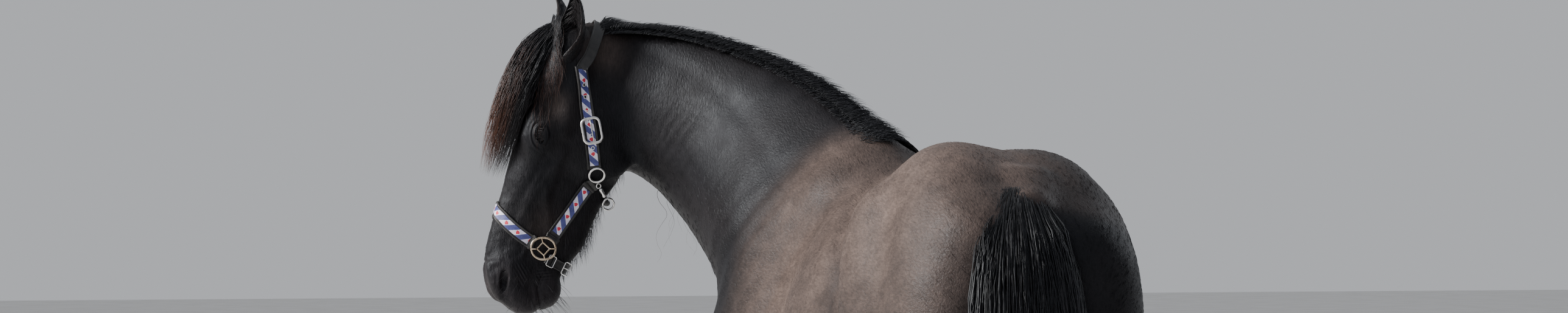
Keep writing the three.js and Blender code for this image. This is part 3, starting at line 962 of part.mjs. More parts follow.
for (const [name, s] of Object.entries(metal)) put(name, biggest(s.subtract(grown)), STEEL);
const crownRoom = solid(grow(halter.halter_crown, 0.001));
put('mane', biggest(maneSolid.subtract(crownRoom)), HAIR);
put('forelock', biggest(forelock.subtract(maneGrown).subtract(crownRoom)), HAIR);
export default horse;
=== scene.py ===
# A friesian horse, life size, standing and looking back to its left, in a webbing halter.
# The form is one distance function, made of section tables and muscle masses. The skin is its surface,
# set in by the depth of the coat; mane, forelock, tail, feather and short coat are solid locks and tufts on it.
import math
import bpy
import numpy as np
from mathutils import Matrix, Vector


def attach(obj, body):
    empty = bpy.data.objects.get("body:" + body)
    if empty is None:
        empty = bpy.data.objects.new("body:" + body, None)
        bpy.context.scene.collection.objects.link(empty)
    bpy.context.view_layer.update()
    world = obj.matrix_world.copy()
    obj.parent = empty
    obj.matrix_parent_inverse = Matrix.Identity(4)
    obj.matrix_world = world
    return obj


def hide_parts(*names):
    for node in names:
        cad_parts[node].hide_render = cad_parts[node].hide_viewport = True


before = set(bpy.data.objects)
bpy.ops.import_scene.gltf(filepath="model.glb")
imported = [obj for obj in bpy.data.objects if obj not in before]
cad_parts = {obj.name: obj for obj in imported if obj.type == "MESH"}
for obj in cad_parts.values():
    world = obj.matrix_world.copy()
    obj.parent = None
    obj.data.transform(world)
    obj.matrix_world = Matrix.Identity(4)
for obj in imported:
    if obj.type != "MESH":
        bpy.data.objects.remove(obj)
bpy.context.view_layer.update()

SHIFT = np.array([-0.09966, -0.26989, 0.0])      # from the tables' own frame to the row frame
SKIN_IN = 0.0035                                 # the short coat's depth

# ---------- section tables, in metres: x forward, y left, z up ----------
# x, top, widest height, half width, bottom, roundness above, roundness below
TRUNK = [
    [-0.76, 1.400, 1.220, 0.125, 1.060, 2.0, 2.0],
    [-0.68, 1.470, 1.230, 0.180, 0.985, 1.95, 2.0],
    [-0.58, 1.516, 1.235, 0.225, 0.950, 1.9, 2.0],
    [-0.48, 1.547, 1.240, 0.252, 0.940, 1.9, 2.0],
    [-0.36, 1.561, 1.250, 0.268, 0.935, 1.9, 2.0],
    [-0.22, 1.545, 1.230, 0.272, 0.910, 2.0, 2.1],
    [-0.08, 1.524, 1.195, 0.285, 0.870, 2.1, 2.2],
    [0.06, 1.512, 1.165, 0.300, 0.840, 2.0, 2.2],
    [0.20, 1.515, 1.150, 0.294, 0.825, 1.9, 2.2],
    [0.31, 1.540, 1.145, 0.275, 0.828, 1.7, 2.2],
    [0.41, 1.575, 1.145, 0.262, 0.838, 1.6, 2.1],
    [0.53, 1.560, 1.150, 0.252, 0.862, 1.6, 2.0],
    [0.65, 1.460, 1.155, 0.232, 0.915, 1.8, 2.0],
    [0.75, 1.330, 1.145, 0.185, 0.990, 2.0, 2.0],
]
# z, centre x, centre y, reach forward, reach back, half width
FORELEG = [
    [1.060, 0.580, 0.200, 0.130, 0.120, 0.080],
    [0.960, 0.560, 0.195, 0.120, 0.118, 0.076],
    [0.880, 0.548, 0.187, 0.098, 0.104, 0.068],
    [0.780, 0.540, 0.178, 0.078, 0.080, 0.058],
    [0.680, 0.538, 0.172, 0.063, 0.062, 0.050],
    [0.590, 0.537, 0.168, 0.053, 0.048, 0.044],
    [0.530, 0.537, 0.167, 0.053, 0.046, 0.046],
    [0.485, 0.537, 0.167, 0.054, 0.050, 0.048],
    [0.435, 0.532, 0.166, 0.043, 0.047, 0.041],
    [0.380, 0.530, 0.166, 0.032, 0.043, 0.030],
    [0.300, 0.530, 0.166, 0.030, 0.041, 0.028],
    [0.245, 0.530, 0.166, 0.033, 0.045, 0.032],
    [0.205, 0.532, 0.166, 0.040, 0.050, 0.039],
    [0.160, 0.548, 0.166, 0.036, 0.039, 0.035],
    [0.115, 0.575, 0.166, 0.038, 0.040, 0.038],
    [0.085, 0.592, 0.166, 0.046, 0.047, 0.047],
    [0.060, 0.600, 0.166, 0.046, 0.047, 0.047],
]
# z, centre x, centre y, reach forward, reach back, half width
HINDLEG = [
    [1.180, -0.500, 0.165, 0.200, 0.215, 0.120],
    [1.060, -0.490, 0.180, 0.205, 0.225, 0.120],
    [0.960, -0.485, 0.186, 0.190, 0.200, 0.108],
    [0.880, -0.510, 0.184, 0.160, 0.160, 0.090],
    [0.800, -0.555, 0.178, 0.135, 0.135, 0.073],
    [0.720, -0.615, 0.172, 0.100, 0.120, 0.058],
    [0.650, -0.665, 0.168, 0.074, 0.112, 0.048],
    [0.605, -0.700, 0.166, 0.062, 0.090, 0.047],
    [0.550, -0.725, 0.165, 0.058, 0.060, 0.047],
    [0.490, -0.740, 0.165, 0.048, 0.052, 0.041],
    [0.420, -0.746, 0.165, 0.036, 0.046, 0.032],
    [0.320, -0.746, 0.165, 0.034, 0.043, 0.030],
    [0.250, -0.746, 0.165, 0.036, 0.047, 0.034],
    [0.210, -0.744, 0.165, 0.042, 0.052, 0.041],
    [0.165, -0.728, 0.165, 0.037, 0.041, 0.036],
    [0.118, -0.703, 0.165, 0.039, 0.041, 0.039],
    [0.086, -0.686, 0.165, 0.047, 0.047, 0.047],
    [0.060, -0.680, 0.165, 0.047, 0.047, 0.047],
]
# along the head, centre depth, half width, face line, under line, roundness above, roundness below
SKULL = [
    [-0.045, -0.030, 0.028, 0.000, -0.070, 2.0, 2.0],
    [-0.010, -0.020, 0.048, 0.024, -0.090, 2.0, 2.0],
    [0.050, -0.012, 0.063, 0.050, -0.100, 2.0, 2.0],
    [0.110, 0.000, 0.077, 0.072, -0.100, 2.1, 2.0],
    [0.170, 0.012, 0.086, 0.087, -0.100, 2.3, 2.0],
    [0.235, 0.020, 0.088, 0.0915, -0.095, 2.4, 2.0],
    [0.300, 0.022, 0.083, 0.0905, -0.090, 2.3, 2.0],
    [0.360, 0.018, 0.072, 0.0905, -0.085, 2.2, 2.0],
    [0.430, 0.012, 0.059, 0.0905, -0.078, 2.1, 2.1],
    [0.500, 0.008, 0.053, 0.0925, -0.074, 2.1, 2.2],
    [0.550, 0.006, 0.052, 0.0910, -0.072, 2.2, 2.3],
    [0.590, 0.004, 0.051, 0.0810, -0.068, 2.4, 2.4],
    [0.625, -0.002, 0.048, 0.0620, -0.060, 2.4, 2.4],
    [0.652, -0.010, 0.041, 0.0400, -0.056, 2.3, 2.4],
    [0.675, -0.020, 0.028, 0.0060, -0.048, 2.2, 2.3],
]
# along the head, centre depth, half width, upper line, under line
JAW = [
    [0.150, -0.085, 0.052, 0.010, -0.165],
    [0.220, -0.090, 0.060, 0.010, -0.190],
    [0.300, -0.090, 0.060, 0.000, -0.188],
    [0.360, -0.085, 0.054, -0.010, -0.166],
    [0.420, -0.080, 0.049, -0.015, -0.148],
    [0.490, -0.074, 0.043, -0.020, -0.131],
    [0.545, -0.070, 0.039, -0.020, -0.108],
    [0.585, -0.072, 0.038, -0.030, -0.098],
    [0.620, -0.074, 0.036, -0.040, -0.100],
    [0.648, -0.072, 0.029, -0.048, -0.090],
]
# crest point x y z, throat point x y z, half width, roundness above, roundness below
NECK = [
    [0.300, 0.030, 1.470, 0.640, 0.105, 0.960, 0.200, 1.7, 2.0],
    [0.419, 0.051, 1.580, 0.740, 0.155, 1.060, 0.225, 1.6, 2.0],
    [0.542, 0.080, 1.645, 0.835, 0.230, 1.180, 0.212, 1.6, 2.0],
    [0.680, 0.144, 1.719, 0.910, 0.285, 1.275, 0.172, 1.6, 2.0],
    [0.806, 0.243, 1.780, 0.975, 0.340, 1.370, 0.134, 1.6, 2.0],
    [0.915, 0.363, 1.826, 1.015, 0.398, 1.440, 0.110, 1.6, 2.0],
    [0.993, 0.477, 1.844, 1.038, 0.455, 1.485, 0.091, 1.7, 2.0],
    [1.033, 0.563, 1.838, 1.055, 0.523, 1.519, 0.073, 1.8, 2.0],
    [1.050, 0.620, 1.805, 1.062, 0.590, 1.540, 0.060, 2.0, 2.0],
]
# z, reach forward, reach back, half width
FEATHER = [
    [0.020, 0.082, 0.100, 0.083],
    [0.050, 0.080, 0.112, 0.084],
    [0.090, 0.074, 0.108, 0.078],
    [0.140, 0.060, 0.098, 0.066],
    [0.190, 0.052, 0.088, 0.055],
    [0.240, 0.042, 0.072, 0.042],
    [0.300, 0.031, 0.046, 0.030],
]


# ---- pose and camera ----
BEND_FROM, BEND_TO, BEND_DEG = -0.25, 0.60, 10.0     # the trunk's gentle bend to the left
HIP_SHIFT, HIP_ROLL, HIP_NARROW = 0.020, 4.0, 0.06   # hips a little to the left, left one higher, right one tucked in
HIP_DROP = 0.15   # the resting right hip sinks
HEAD_AT = (1.040, 0.601, 1.838)                      # the poll
HEAD_HEADING, HEAD_TILT = 87.0, 14.8                 # where the face points, and how far it stands off plumb

def lookup(table, n=240):
    """Dense rows of a table by its first column, along smooth cubic curves."""
    t = np.asarray(table, float)
    if t[0, 0] > t[-1, 0]:
        t = t[::-1]
    x = t[:, 0]
    v = t[:, 1:]
    m = np.zeros_like(v)
    h = np.diff(x)[:, None]
    s = np.diff(v, axis=0) / h
    m[1:-1] = (s[:-1] * h[1:] + s[1:] * h[:-1]) / (h[1:] + h[:-1])
    m[0], m[-1] = s[0], s[-1]
    xs = np.linspace(x[0], x[-1], n)
    i = np.clip(np.searchsorted(x, xs, side="right") - 1, 0, len(x) - 2)
    u = ((xs - x[i]) / (x[i + 1] - x[i]))[:, None]
    hh = (x[i + 1] - x[i])[:, None]
    out = ((2 * u**3 - 3 * u**2 + 1) * v[i] + (u**3 - 2 * u**2 + u) * hh * m[i]
           + (-2 * u**3 + 3 * u**2) * v[i + 1] + (u**3 - u**2) * hh * m[i + 1])
    return xs, out

def at(look, x):
    xs, out = look
    k = np.clip((x - xs[0]) / (xs[-1] - xs[0]) * (len(xs) - 1), 0, len(xs) - 1.001)
    i = k.astype(int)
    w = (k - i)[:, None]
    return (out[i] * (1 - w) + out[i + 1] * w).T

def smin(a, b, k):
    h = np.maximum(k - np.abs(a - b), 0.0) / k
    return np.minimum(a, b) - h * h * k * 0.25

def smax(a, b, k):
    return -smin(-a, -b, k)

def section(u, v, w, top, bot, nt, nb):
    """Distance, measured outwards, to a rounded section: u sideways, v upwards from the widest level."""
    a = np.where(v > 0, top, bot)
    n = np.where(v > 0, nt, nb)
    au, av = np.abs(u) / w, np.abs(v) / a
    q = (au**n + av**n + 1e-9) ** (1 / n)
    rho = np.sqrt(u * u + v * v)
    g = np.sqrt((au ** (n - 1) / w) ** 2 + (av ** (n - 1) / a) ** 2) * q ** (1 - n)
    return np.where(q > 0.5, (q - 1) / np.maximum(g, 1e-6), rho - np.minimum(w, a)) * 1.0

def ramp(t):
    t = np.clip(t, 0, 1)
    return t * t * (3 - 2 * t)

def ball(p, c, r, rot=None):
    d = p - np.asarray(c)
    if rot is not None:
        d = d @ rot
    r = np.asarray(r, float)
    k0 = np.sqrt(((d / r) ** 2).sum(1))
    k1 = np.sqrt(((d / (r * r)) ** 2).sum(1))
    return np.where(k0 < 1e-6, -r.min(), k0 * (k0 - 1) / np.maximum(k1, 1e-9))

def rod(p, a, b, ra, rb, flat=None):
    """A rounded rod from a to b; flat squeezes it along one axis."""
    a, b = np.asarray(a, float), np.asarray(b, float)
    q = p - a
    d = b - a
    t = np.clip(q @ d / (d @ d), 0, 1)
    e = q - t[:, None] * d
    if flat is not None:
        ax, s = np.asarray(flat[:3], float), flat[3]
        ax = ax / np.linalg.norm(ax)
        m = e @ ax
        e = e + (m * (1 / s - 1))[:, None] * ax
        return (np.sqrt((e * e).sum(1)) - (ra + (rb - ra) * t)) * min(1.0, 1.0)
    return np.sqrt((e * e).sum(1)) - (ra + (rb - ra) * t)

def turn(axis, deg):
    c, s = math.cos(math.radians(deg)), math.sin(math.radians(deg))
    if axis == "x":
        m = [[1, 0, 0], [0, c, -s], [0, s, c]]
    elif axis == "y":
        m = [[c, 0, s], [0, 1, 0], [-s, 0, c]]
    else:
        m = [[c, -s, 0], [s, c, 0], [0, 0, 1]]
    return np.array(m)

# ---- the trunk's bend ----
BA = math.radians(BEND_DEG)
BR = (BEND_TO - BEND_FROM) / BA

def bend(p):
    """From the straight body to the bent one."""
    x, y, z = p[:, 0], p[:, 1], p[:, 2]
    t = np.clip(x, BEND_FROM, BEND_TO) - BEND_FROM
    al = t / BR
    extra = np.maximum(x - BEND_TO, 0)
    nx = np.minimum(x, BEND_FROM) + (BR - y) * np.sin(al) + extra * np.cos(al)
    ny = BR - (BR - y) * np.cos(al) + extra * np.sin(al) + HIP_SHIFT * ramp((-0.05 - x) / 0.45)
    return np.stack([nx, ny, z], 1)

def unbend(p):
    x, y, z = p[:, 0], p[:, 1], p[:, 2]
    w = ramp((-0.05 - x) / 0.45)
    y = y - HIP_SHIFT * w
    rc = math.radians(HIP_ROLL) * w * ramp((z - 0.75) / 0.5)
    y, z = y + (z - 1.15) * rc, z - y * rc
    z = z + HIP_DROP * np.maximum(-0.03 - y, 0) * w * ramp((z - 0.75) / 0.5)
    y = np.where(y < 0, y * (1 + HIP_NARROW * w * ramp((z - 0.55) / 0.5)), y)
    dx, dy = x - BEND_FROM, BR - y
    al = np.arctan2(dx, dy)
    rad = np.sqrt(dx * dx + dy * dy)
    c, s = math.cos(BA), math.sin(BA)
    # beyond the end of the bend
    ex, ey = BEND_FROM + BR * s, BR - BR * c
    fx = (x - ex) * c + (y - ey) * s + BEND_TO
    fy = -(x - ex) * s + (y - ey) * c
    nx = np.where(x < BEND_FROM, x, np.where(al > BA, fx, BEND_FROM + al * BR))
    ny = np.where(x < BEND_FROM, y, np.where(al > BA, fy, BR - rad))
    return np.stack([nx, ny, z], 1)

# ---- the head's own frame: along the head, towards the face's front, to the head's left ----
_h = math.radians(HEAD_HEADING)
_t = math.radians(HEAD_TILT)
_fw = np.array([math.cos(_h), math.sin(_h), 0.0])
HEAD_A = _fw * math.sin(_t) - np.array([0, 0, math.cos(_t)])
HEAD_F = _fw * math.cos(_t) + np.array([0, 0, math.sin(_t)])
HEAD_L = np.array([-math.sin(_h), math.cos(_h), 0.0])
HEAD_M = np.stack([HEAD_A, HEAD_F, HEAD_L], 1)       # columns

def to_head(p):
    return (p - np.array(HEAD_AT)) @ HEAD_M

def from_head(q):
    return q @ HEAD_M.T + np.array(HEAD_AT)

# ---- trunk and legs, straight body ----
T_TRUNK = lookup(TRUNK)
T_FORE = lookup(FORELEG)
T_HIND = lookup(HINDLEG)
T_FEATHER = lookup(FEATHER)

def trunk(p):
    x, y, z = p.T
    top, zc, w, bot, nt, nb = at(T_TRUNK, x)
    f = section(y, z - zc, w, top - zc, zc - bot, nt, nb)
    f = smax(f, x - 0.76, 0.10)
    f = smax(f, -0.76 - x, 0.10)
    m = np.stack([x, np.abs(y), z], 1)               # both sides alike
    # hindquarters
    f = smin(f, ball(m, (-0.45, 0.112, 1.402), (0.27, 0.122, 0.164), turn("y", -8)), 0.07)      # gluteal mass
    f = smin(f, ball(m, (-0.280, 0.230, 1.365), (0.070, 0.045, 0.085)), 0.10)                   # point of hip
    f = smin(f, ball(m, (-0.60, 0.150, 1.230), (0.175, 0.122, 0.260), turn("y", 12)), 0.06)     # thigh
    f = smin(f, rod(m, (-0.690, 0.105, 1.350), (-0.630, 0.150, 0.930), 0.100, 0.080), 0.06)     # buttock
    f = smin(f, ball(m, (-0.375, 0.195, 1.120), (0.125, 0.092, 0.220), turn("y", -20)), 0.07)   # front of the thigh
    f = smin(f, ball(m, (-0.345, 0.205, 0.960), (0.060, 0.060, 0.075)), 0.06)                   # stifle
    f = smin(f, ball(m, (-0.330, 0.195, 1.240), (0.150, 0.098, 0.160)), 0.08)                   # sheath muscle below the hip
    # dock
    f = smin(f, rod(p, (-0.60, 0, 1.470), (-0.700, 0.018, 1.440), 0.050, 0.034), 0.05)
    f = smin(f, rod(p, (-0.700, 0.018, 1.440), (-0.780, 0.040, 1.320), 0.034, 0.024), 0.03)
    # barrel and flank
    f = smin(f, ball(m, (0.02, 0.12, 1.120), (0.34, 0.175, 0.25)), 0.08)
    # shoulder
    f = smin(f, rod(m, (0.410, 0.105, 1.440), (0.700, 0.200, 1.120), 0.068, 0.085, (0, 1, 0, 0.9)), 0.10)
    f = smin(f, ball(m, (0.520, 0.200, 1.090), (0.155, 0.072, 0.150), turn("y", -30)), 0.05)    # triceps
    f = smin(f, ball(m, (0.710, 0.195, 1.120), (0.088, 0.085, 0.105)), 0.06)                    # point of shoulder
    f = smin(f, ball(m, (0.740, 0.085, 1.085), (0.080, 0.088, 0.115)), 0.07)                    # breast
    f = smin(f, rod(m, (0.690, 0.165, 1.050), (0.560, 0.175, 0.930), 0.075, 0.070), 0.05)       # upper arm
    f = smin(f, ball(m, (0.455, 0.170, 0.905), (0.040, 0.035, 0.050)), 0.05)                    # elbow
    return f

def legs(p):
    m = np.stack([p[:, 0], np.abs(p[:, 1]), p[:, 2]], 1)
    x, y, z = m.T
    fs = []
    for table, front in ((T_FORE, True), (T_HIND, False)):
        cx, cy, rf, rb, ry = at(table, z)
        u = x - cx
        a = np.where(u > 0, rf, rb)
        n = 2.2
        au, av = np.abs(u) / a, np.abs(y - cy) / ry
        q = (au**n + av**n + 1e-9) ** (1 / n)
        g = np.sqrt((au ** (n - 1) / a) ** 2 + (av ** (n - 1) / ry) ** 2) * q ** (1 - n)
        f = np.where(q > 0.4, (q - 1) / np.maximum(g, 1e-6), -np.minimum(a, ry) * 0.6)
        top = 1.06 if front else 1.14
        f = smax(f, z - top, 0.08)
        f = smax(f, 0.060 - z, 0.01)
        if front:
            f = smin(f, ball(m, (0.484, 0.167, 0.480), (0.018, 0.022, 0.030)), 0.02)      # back of the knee
            f = smin(f, ball(m, (0.565, 0.185, 0.760), (0.060, 0.040, 0.130)), 0.04)      # extensor of the forearm
        else:
            f = smin(f, rod(m, (-0.630, 0.165, 0.900), (-0.786, 0.165, 0.640), 0.030, 0.020), 0.04)   # hamstring of the hock
            f = smin(f, ball(m, (-0.782, 0.165, 0.618), (0.024, 0.024, 0.038)), 0.025)    # point of the hock
            f = smin(f, ball(m, (-0.700, 0.195, 0.520), (0.026, 0.018, 0.030)), 0.03)
        f = smin(f, ball(m, (cxm(table, 0.20) - 0.028, 0.166, 0.205), (0.026, 0.026, 0.028)), 0.02)
        fs.append(f)
    return fs

def feather(p):
    """The long hair round the four feet, as one outer shape."""
    m = np.stack([p[:, 0], np.abs(p[:, 1]), p[:, 2]], 1)
    x, y, z = m.T
    fs = []
    for table in (T_FORE, T_HIND):
        cx, cy = at(table, np.maximum(z, 0.06))[:2]
        rf, rb, ry = at(T_FEATHER, z)
        u = x - cx
        a = np.where(u > 0, rf, rb)
        au, av = np.abs(u) / a, np.abs(y - cy) / ry
        q = np.sqrt(au**2 + av**2 + 1e-9)
        g = np.sqrt((au / a) ** 2 + (av / ry) ** 2) / q
        f = np.where(q > 0.4, (q - 1) / np.maximum(g, 1e-6), -np.minimum(a, ry) * 0.6)
        fs.append(smax(smax(f, z - 0.290, 0.02), 0.020 - z, 0.015))
    return np.minimum(fs[0], fs[1])

def cxm(table, z):
    return float(at(table, np.array([z]))[0][0])

# ---- neck ----
def make_neck(n=97):
    t = np.asarray(NECK, float)
    rows = np.concatenate([np.arange(len(t))[:, None], t], 1)
    _, o = lookup(rows, n)
    K, T = o[:, 0:3], o[:, 3:6]
    C = K + 0.56 * (T - K)
    U = K - T
    L = np.linalg.norm(U, axis=1)
    U = U / L[:, None]
    D = np.gradient(C, axis=0)
    N = D - (D * U).sum(1)[:, None] * U
    N /= np.linalg.norm(N, axis=1)[:, None]
    S = np.cross(U, N)
    return dict(C=C, U=U, N=N, S=S, top=0.56 * L, bot=0.44 * L, w=o[:, 6], nt=o[:, 7], nb=o[:, 8], n=n)

NK = make_neck()

def neck_frame(p, it=3):
    C, N = NK["C"], NK["N"]
    n = NK["n"]
    d2 = ((p[:, None, ::1] - C[None, ::4]) ** 2).sum(2)
    t = np.argmin(d2, 1).astype(float) * 4
    def val(key, t):
        t = np.clip(t, 0, n - 1.001)
        i = t.astype(int)
        w = t - i
        a = NK[key]
        if a.ndim == 2:
            return a[i] * (1 - w)[:, None] + a[i + 1] * w[:, None]
        return a[i] * (1 - w) + a[i + 1] * w
    for _ in range(it):
        c0, n0 = val("C", t), val("N", t)
        g0 = ((p - c0) * n0).sum(1)
        t1 = t + 0.5
        g1 = ((p - val("C", t1)) * val("N", t1)).sum(1)
        sl = (g1 - g0) / 0.5
        sl = np.where(np.abs(sl) < 1e-4, -1e-3, sl)
        t = np.clip(t - np.clip(g0 / sl, -6, 6), 0, n - 1.51)
    return t, val

def neck(p):
    t, val = neck_frame(p)
    c = val("C", t)
    e = p - c
    u = (e * val("S", t)).sum(1)
    v = (e * val("U", t)).sum(1)
    g = (e * val("N", t)).sum(1)
    f = section(u, v, val("w", t), val("top", t), val("bot", t), val("nt", t), val("nb", t))
    return smax(f, np.abs(g) - 0.01, 0.02), t, u, v

# ---- head ----
T_SKULL = lookup(SKULL)
T_JAW = lookup(JAW)

def head(q, parts=False):
    a, fr, l = q.T
    al = np.abs(l)
    m = np.stack([a, fr, al], 1)
    fc, w, top, bot, nt, nb = at(T_SKULL, a)
    f = section(l, fr - fc, w, top - fc, fc - bot, nt, nb)
    f = smax(f, a - 0.668, 0.05)
    f = smax(f, -0.03 - a, 0.05)
    fc, w, top, bot = at(T_JAW, a)
    j = section(l, fr - fc, w, np.maximum(top - fc, 0.02), np.maximum(fc - bot, 0.01), 2.2, 2.4)
    j = smax(j, a - 0.645, 0.04)
    j = smax(j, 0.17 - a, 0.06)
    f = smin(f, j, 0.04)
    # cheeks
    f = smin(f, ball(m, (0.222, -0.090, 0.050), (0.114, 0.114, 0.036)), 0.025)
    f = smin(f, ball(m, (0.215, -0.060, 0.056), (0.085, 0.085, 0.028)), 0.035)
    f = smax(f, -ball(m, (0.36, -0.190, 0.0), (0.17, 0.050, 0.020)), 0.03)       # between the jaw's two sides
    # facial crest, cheek arch, brow and eye socket
    f = smin(f, rod(m, (0.285, -0.014, 0.074), (0.410, -0.006, 0.052), 0.009, 0.004), 0.022)
    f = smin(f, rod(m, (0.240, -0.006, 0.085), (0.120, -0.004, 0.074), 0.011, 0.011), 0.030)
    f = smin(f, ball(m, (0.260, 0.042, 0.068), (0.050, 0.038, 0.029)), 0.035)
    f = smin(f, rod(m, (0.220, 0.064, 0.071), (0.272, 0.069, 0.068), 0.012, 0.010), 0.022)
    f = smax(f, -ball(m, (0.186, 0.050, 0.095), (0.028, 0.018, 0.015)), 0.025)
    # temple and base of the ears
    f = smin(f, ball(m, (0.110, 0.020, 0.050), (0.080, 0.045, 0.036)), 0.040)
    f = smin(f, ball(m, (0.040, 0.012, 0.050), (0.042, 0.038, 0.030)), 0.030)
    # nose bones and the soft nose
    f = smin(f, rod(m, (0.30, 0.078, 0.018), (0.57, 0.078, 0.013), 0.010, 0.008), 0.012)
    f = smin(f, ball(m, (0.605, 0.026, 0.034), (0.058, 0.046, 0.027)), 0.030)
    # lips and chin
    f = smin(f, ball(m, (0.645, -0.022, 0.020), (0.034, 0.034, 0.030)), 0.030)
    f = smin(f, ball(m, (0.610, -0.076, 0.012), (0.034, 0.026, 0.028)), 0.030)
    return f

def body(p):
    """Distance to the whole body's coat, in the posed frame. Each mass is worked out only near itself."""
    s = unbend(p)
    f = np.full(len(p), 0.25)
    m = (s[:, 2] > 0.72) & (s[:, 0] > -0.98) & (s[:, 0] < 0.98) & (np.abs(s[:, 1]) < 0.48)
    if m.any():
        f[m] = np.minimum(trunk(s[m]), 0.25)
    m = (s[:, 2] < 1.26) & (np.abs(s[:, 1]) < 0.40)
    if m.any():
        lf, lh = legs(s[m])
        f[m] = smin(smin(f[m], np.minimum(lf, 0.25), 0.045), np.minimum(lh, 0.25), 0.055)
    m = (p[:, 2] > 0.85) & (p[:, 0] > 0.18) & (p[:, 0] < 1.28) & (p[:, 1] > -0.34) & (p[:, 1] < 0.78)
    if m.any():
        f[m] = smin(f[m], np.minimum(neck(p[m])[0], 0.25), 0.075)
    q = to_head(p)
    m = (q[:, 0] > -0.16) & (q[:, 0] < 0.78) & (np.abs(q[:, 2]) < 0.20) & (q[:, 1] > -0.30) & (q[:, 1] < 0.22)
    if m.any():
        f[m] = smin(f[m], np.minimum(head(q[m]), 0.25), 0.022)
    return f

# ---- surface of a distance function on a grid, worked out only near the surface ----
def near_grid(fun, xs, ys, zs, slack=1.3):
    nx, ny, nz = len(xs), len(ys), len(zs)             # each is a multiple of 4, plus 1
    F = np.full(nx * ny * nz, np.nan, np.float32)
    cells = np.stack(np.meshgrid(np.arange(0, nx - 1, 4), np.arange(0, ny - 1, 4), np.arange(0, nz - 1, 4), indexing="ij"), -1).reshape(-1, 3)
    step = 4
    while True:
        corner = np.stack(np.meshgrid([0, step], [0, step], [0, step], indexing="ij"), -1).reshape(-1, 3)
        n8 = cells[:, None, :] + corner[None]
        flat = (n8[..., 0] * ny + n8[..., 1]) * nz + n8[..., 2]
        need = np.unique(flat)
        need = need[np.isnan(F[need])]
        for a in range(0, len(need), 150000):
            w = need[a:a + 150000]
            F[w] = fun(np.stack([xs[w // (ny * nz)], ys[(w // nz) % ny], zs[w % nz]], 1))
        if step == 1:
            break
        g = F[flat]
        hit = (np.abs(g) < (xs[step] - xs[0]) * slack).any(1)
        sign = np.where(g[~hit].mean(1) < 0, -0.2, 0.2)
        far = cells[~hit]
        span = np.arange(0, step + 1)
        for i in span:
            for j in span:
                for k in span:
                    w = ((far[:, 0] + i) * ny + far[:, 1] + j) * nz + far[:, 2] + k
                    e = np.isnan(F[w])
                    F[w[e]] = sign[e]
        cells = cells[hit]
        half = step // 2
        kid = np.stack(np.meshgrid([0, half], [0, half], [0, half], indexing="ij"), -1).reshape(-1, 3)
        # what the far cells filled beside a near one is worked out again
        cells = (cells[:, None, :] + kid[None]).reshape(-1, 3)
        corner = np.stack(np.meshgrid([0, half], [0, half], [0, half], indexing="ij"), -1).reshape(-1, 3)
        n8 = cells[:, None, :] + corner[None]
        w = ((n8[..., 0] * ny + n8[..., 1]) * nz + n8[..., 2]).ravel()
        w = w[np.abs(np.abs(F[w]) - 0.2) < 1e-6]
        F[w] = np.nan
        step = half
    return F.reshape(nx, ny, nz)

def nets(F, xs, ys, zs):
    """Surface nets: one vertex in each cell that the surface crosses, quads round each crossed grid line."""
    S = F < 0
    nx, ny, nz = F.shape
    c = np.zeros((nx - 1, ny - 1, nz - 1), np.uint8)
    for i in (0, 1):
        for j in (0, 1):
            for k in (0, 1):
                c += S[i:nx - 1 + i, j:ny - 1 + j, k:nz - 1 + k]
    act = (c > 0) & (c < 8)
    ids = np.full(act.shape, -1, np.int64)
    cells = np.argwhere(act)
    ids[act] = np.arange(len(cells))
    acc = np.zeros((len(cells), 3))
    cnt = np.zeros(len(cells))
    corners = [(i, j, k) for i in (0, 1) for j in (0, 1) for k in (0, 1)]
    grid = (xs, ys, zs)
    for a in corners:
        for ax in range(3):
            if a[ax] == 1:
                continue
            b = list(a); b[ax] = 1
            A = cells + np.array(a); B = cells + np.array(b)
            fa = F[A[:, 0], A[:, 1], A[:, 2]].astype(float); fb = F[B[:, 0], B[:, 1], B[:, 2]].astype(float)
            m = (fa < 0) != (fb < 0)
            t = np.where(m, fa / np.where(m, fa - fb, 1), 0)
            pa = np.stack([grid[q][A[:, q]] for q in range(3)], 1)
            pb = np.stack([grid[q][B[:, q]] for q in range(3)], 1)
            acc += np.where(m[:, None], pa + (pb - pa) * t[:, None], 0)
            cnt += m
    V = acc / cnt[:, None]
    quads = []
    for ax in range(3):
        o = [q for q in range(3) if q != ax]
        sl0 = [slice(None)] * 3; sl1 = [slice(None)] * 3
        sl0[ax] = slice(0, -1); sl1[ax] = slice(1, None)
        for q in o:
            sl0[q] = slice(1, -1); sl1[q] = slice(1, -1)
        a, b = S[tuple(sl0)], S[tuple(sl1)]
        e = np.argwhere(a != b)
        inside = a[e[:, 0], e[:, 1], e[:, 2]]
        e = e.copy()
        for q in o:
            e[:, q] += 1
        def cell(du, dv):
            d = e.copy(); d[:, o[0]] -= du; d[:, o[1]] -= dv
            return ids[d[:, 0], d[:, 1], d[:, 2]]
        q4 = np.stack([cell(1, 1), cell(0, 1), cell(0, 0), cell(1, 0)], 1)
        flip = inside if ax != 1 else ~inside
        q4[~flip] = q4[~flip][:, ::-1]
        quads.append(q4)
    Q = np.concatenate(quads)
    return V, Q[(Q >= 0).all(1)]

# ---------- mesh helpers ----------
rng = np.random.default_rng(20)

def unit(v):
    return v / np.maximum(np.linalg.norm(v, axis=-1, keepdims=True), 1e-9)

def edges_of(F):
    E = np.sort(np.concatenate([F[:, [0, 1]], F[:, [1, 2]], F[:, [2, 0]]]), 1).astype(np.int64)
    n = int(F.max()) + 1
    key, inv = np.unique(E[:, 0] * n + E[:, 1], return_inverse=True)
    return key // n, key % n, inv.reshape(3, -1).T

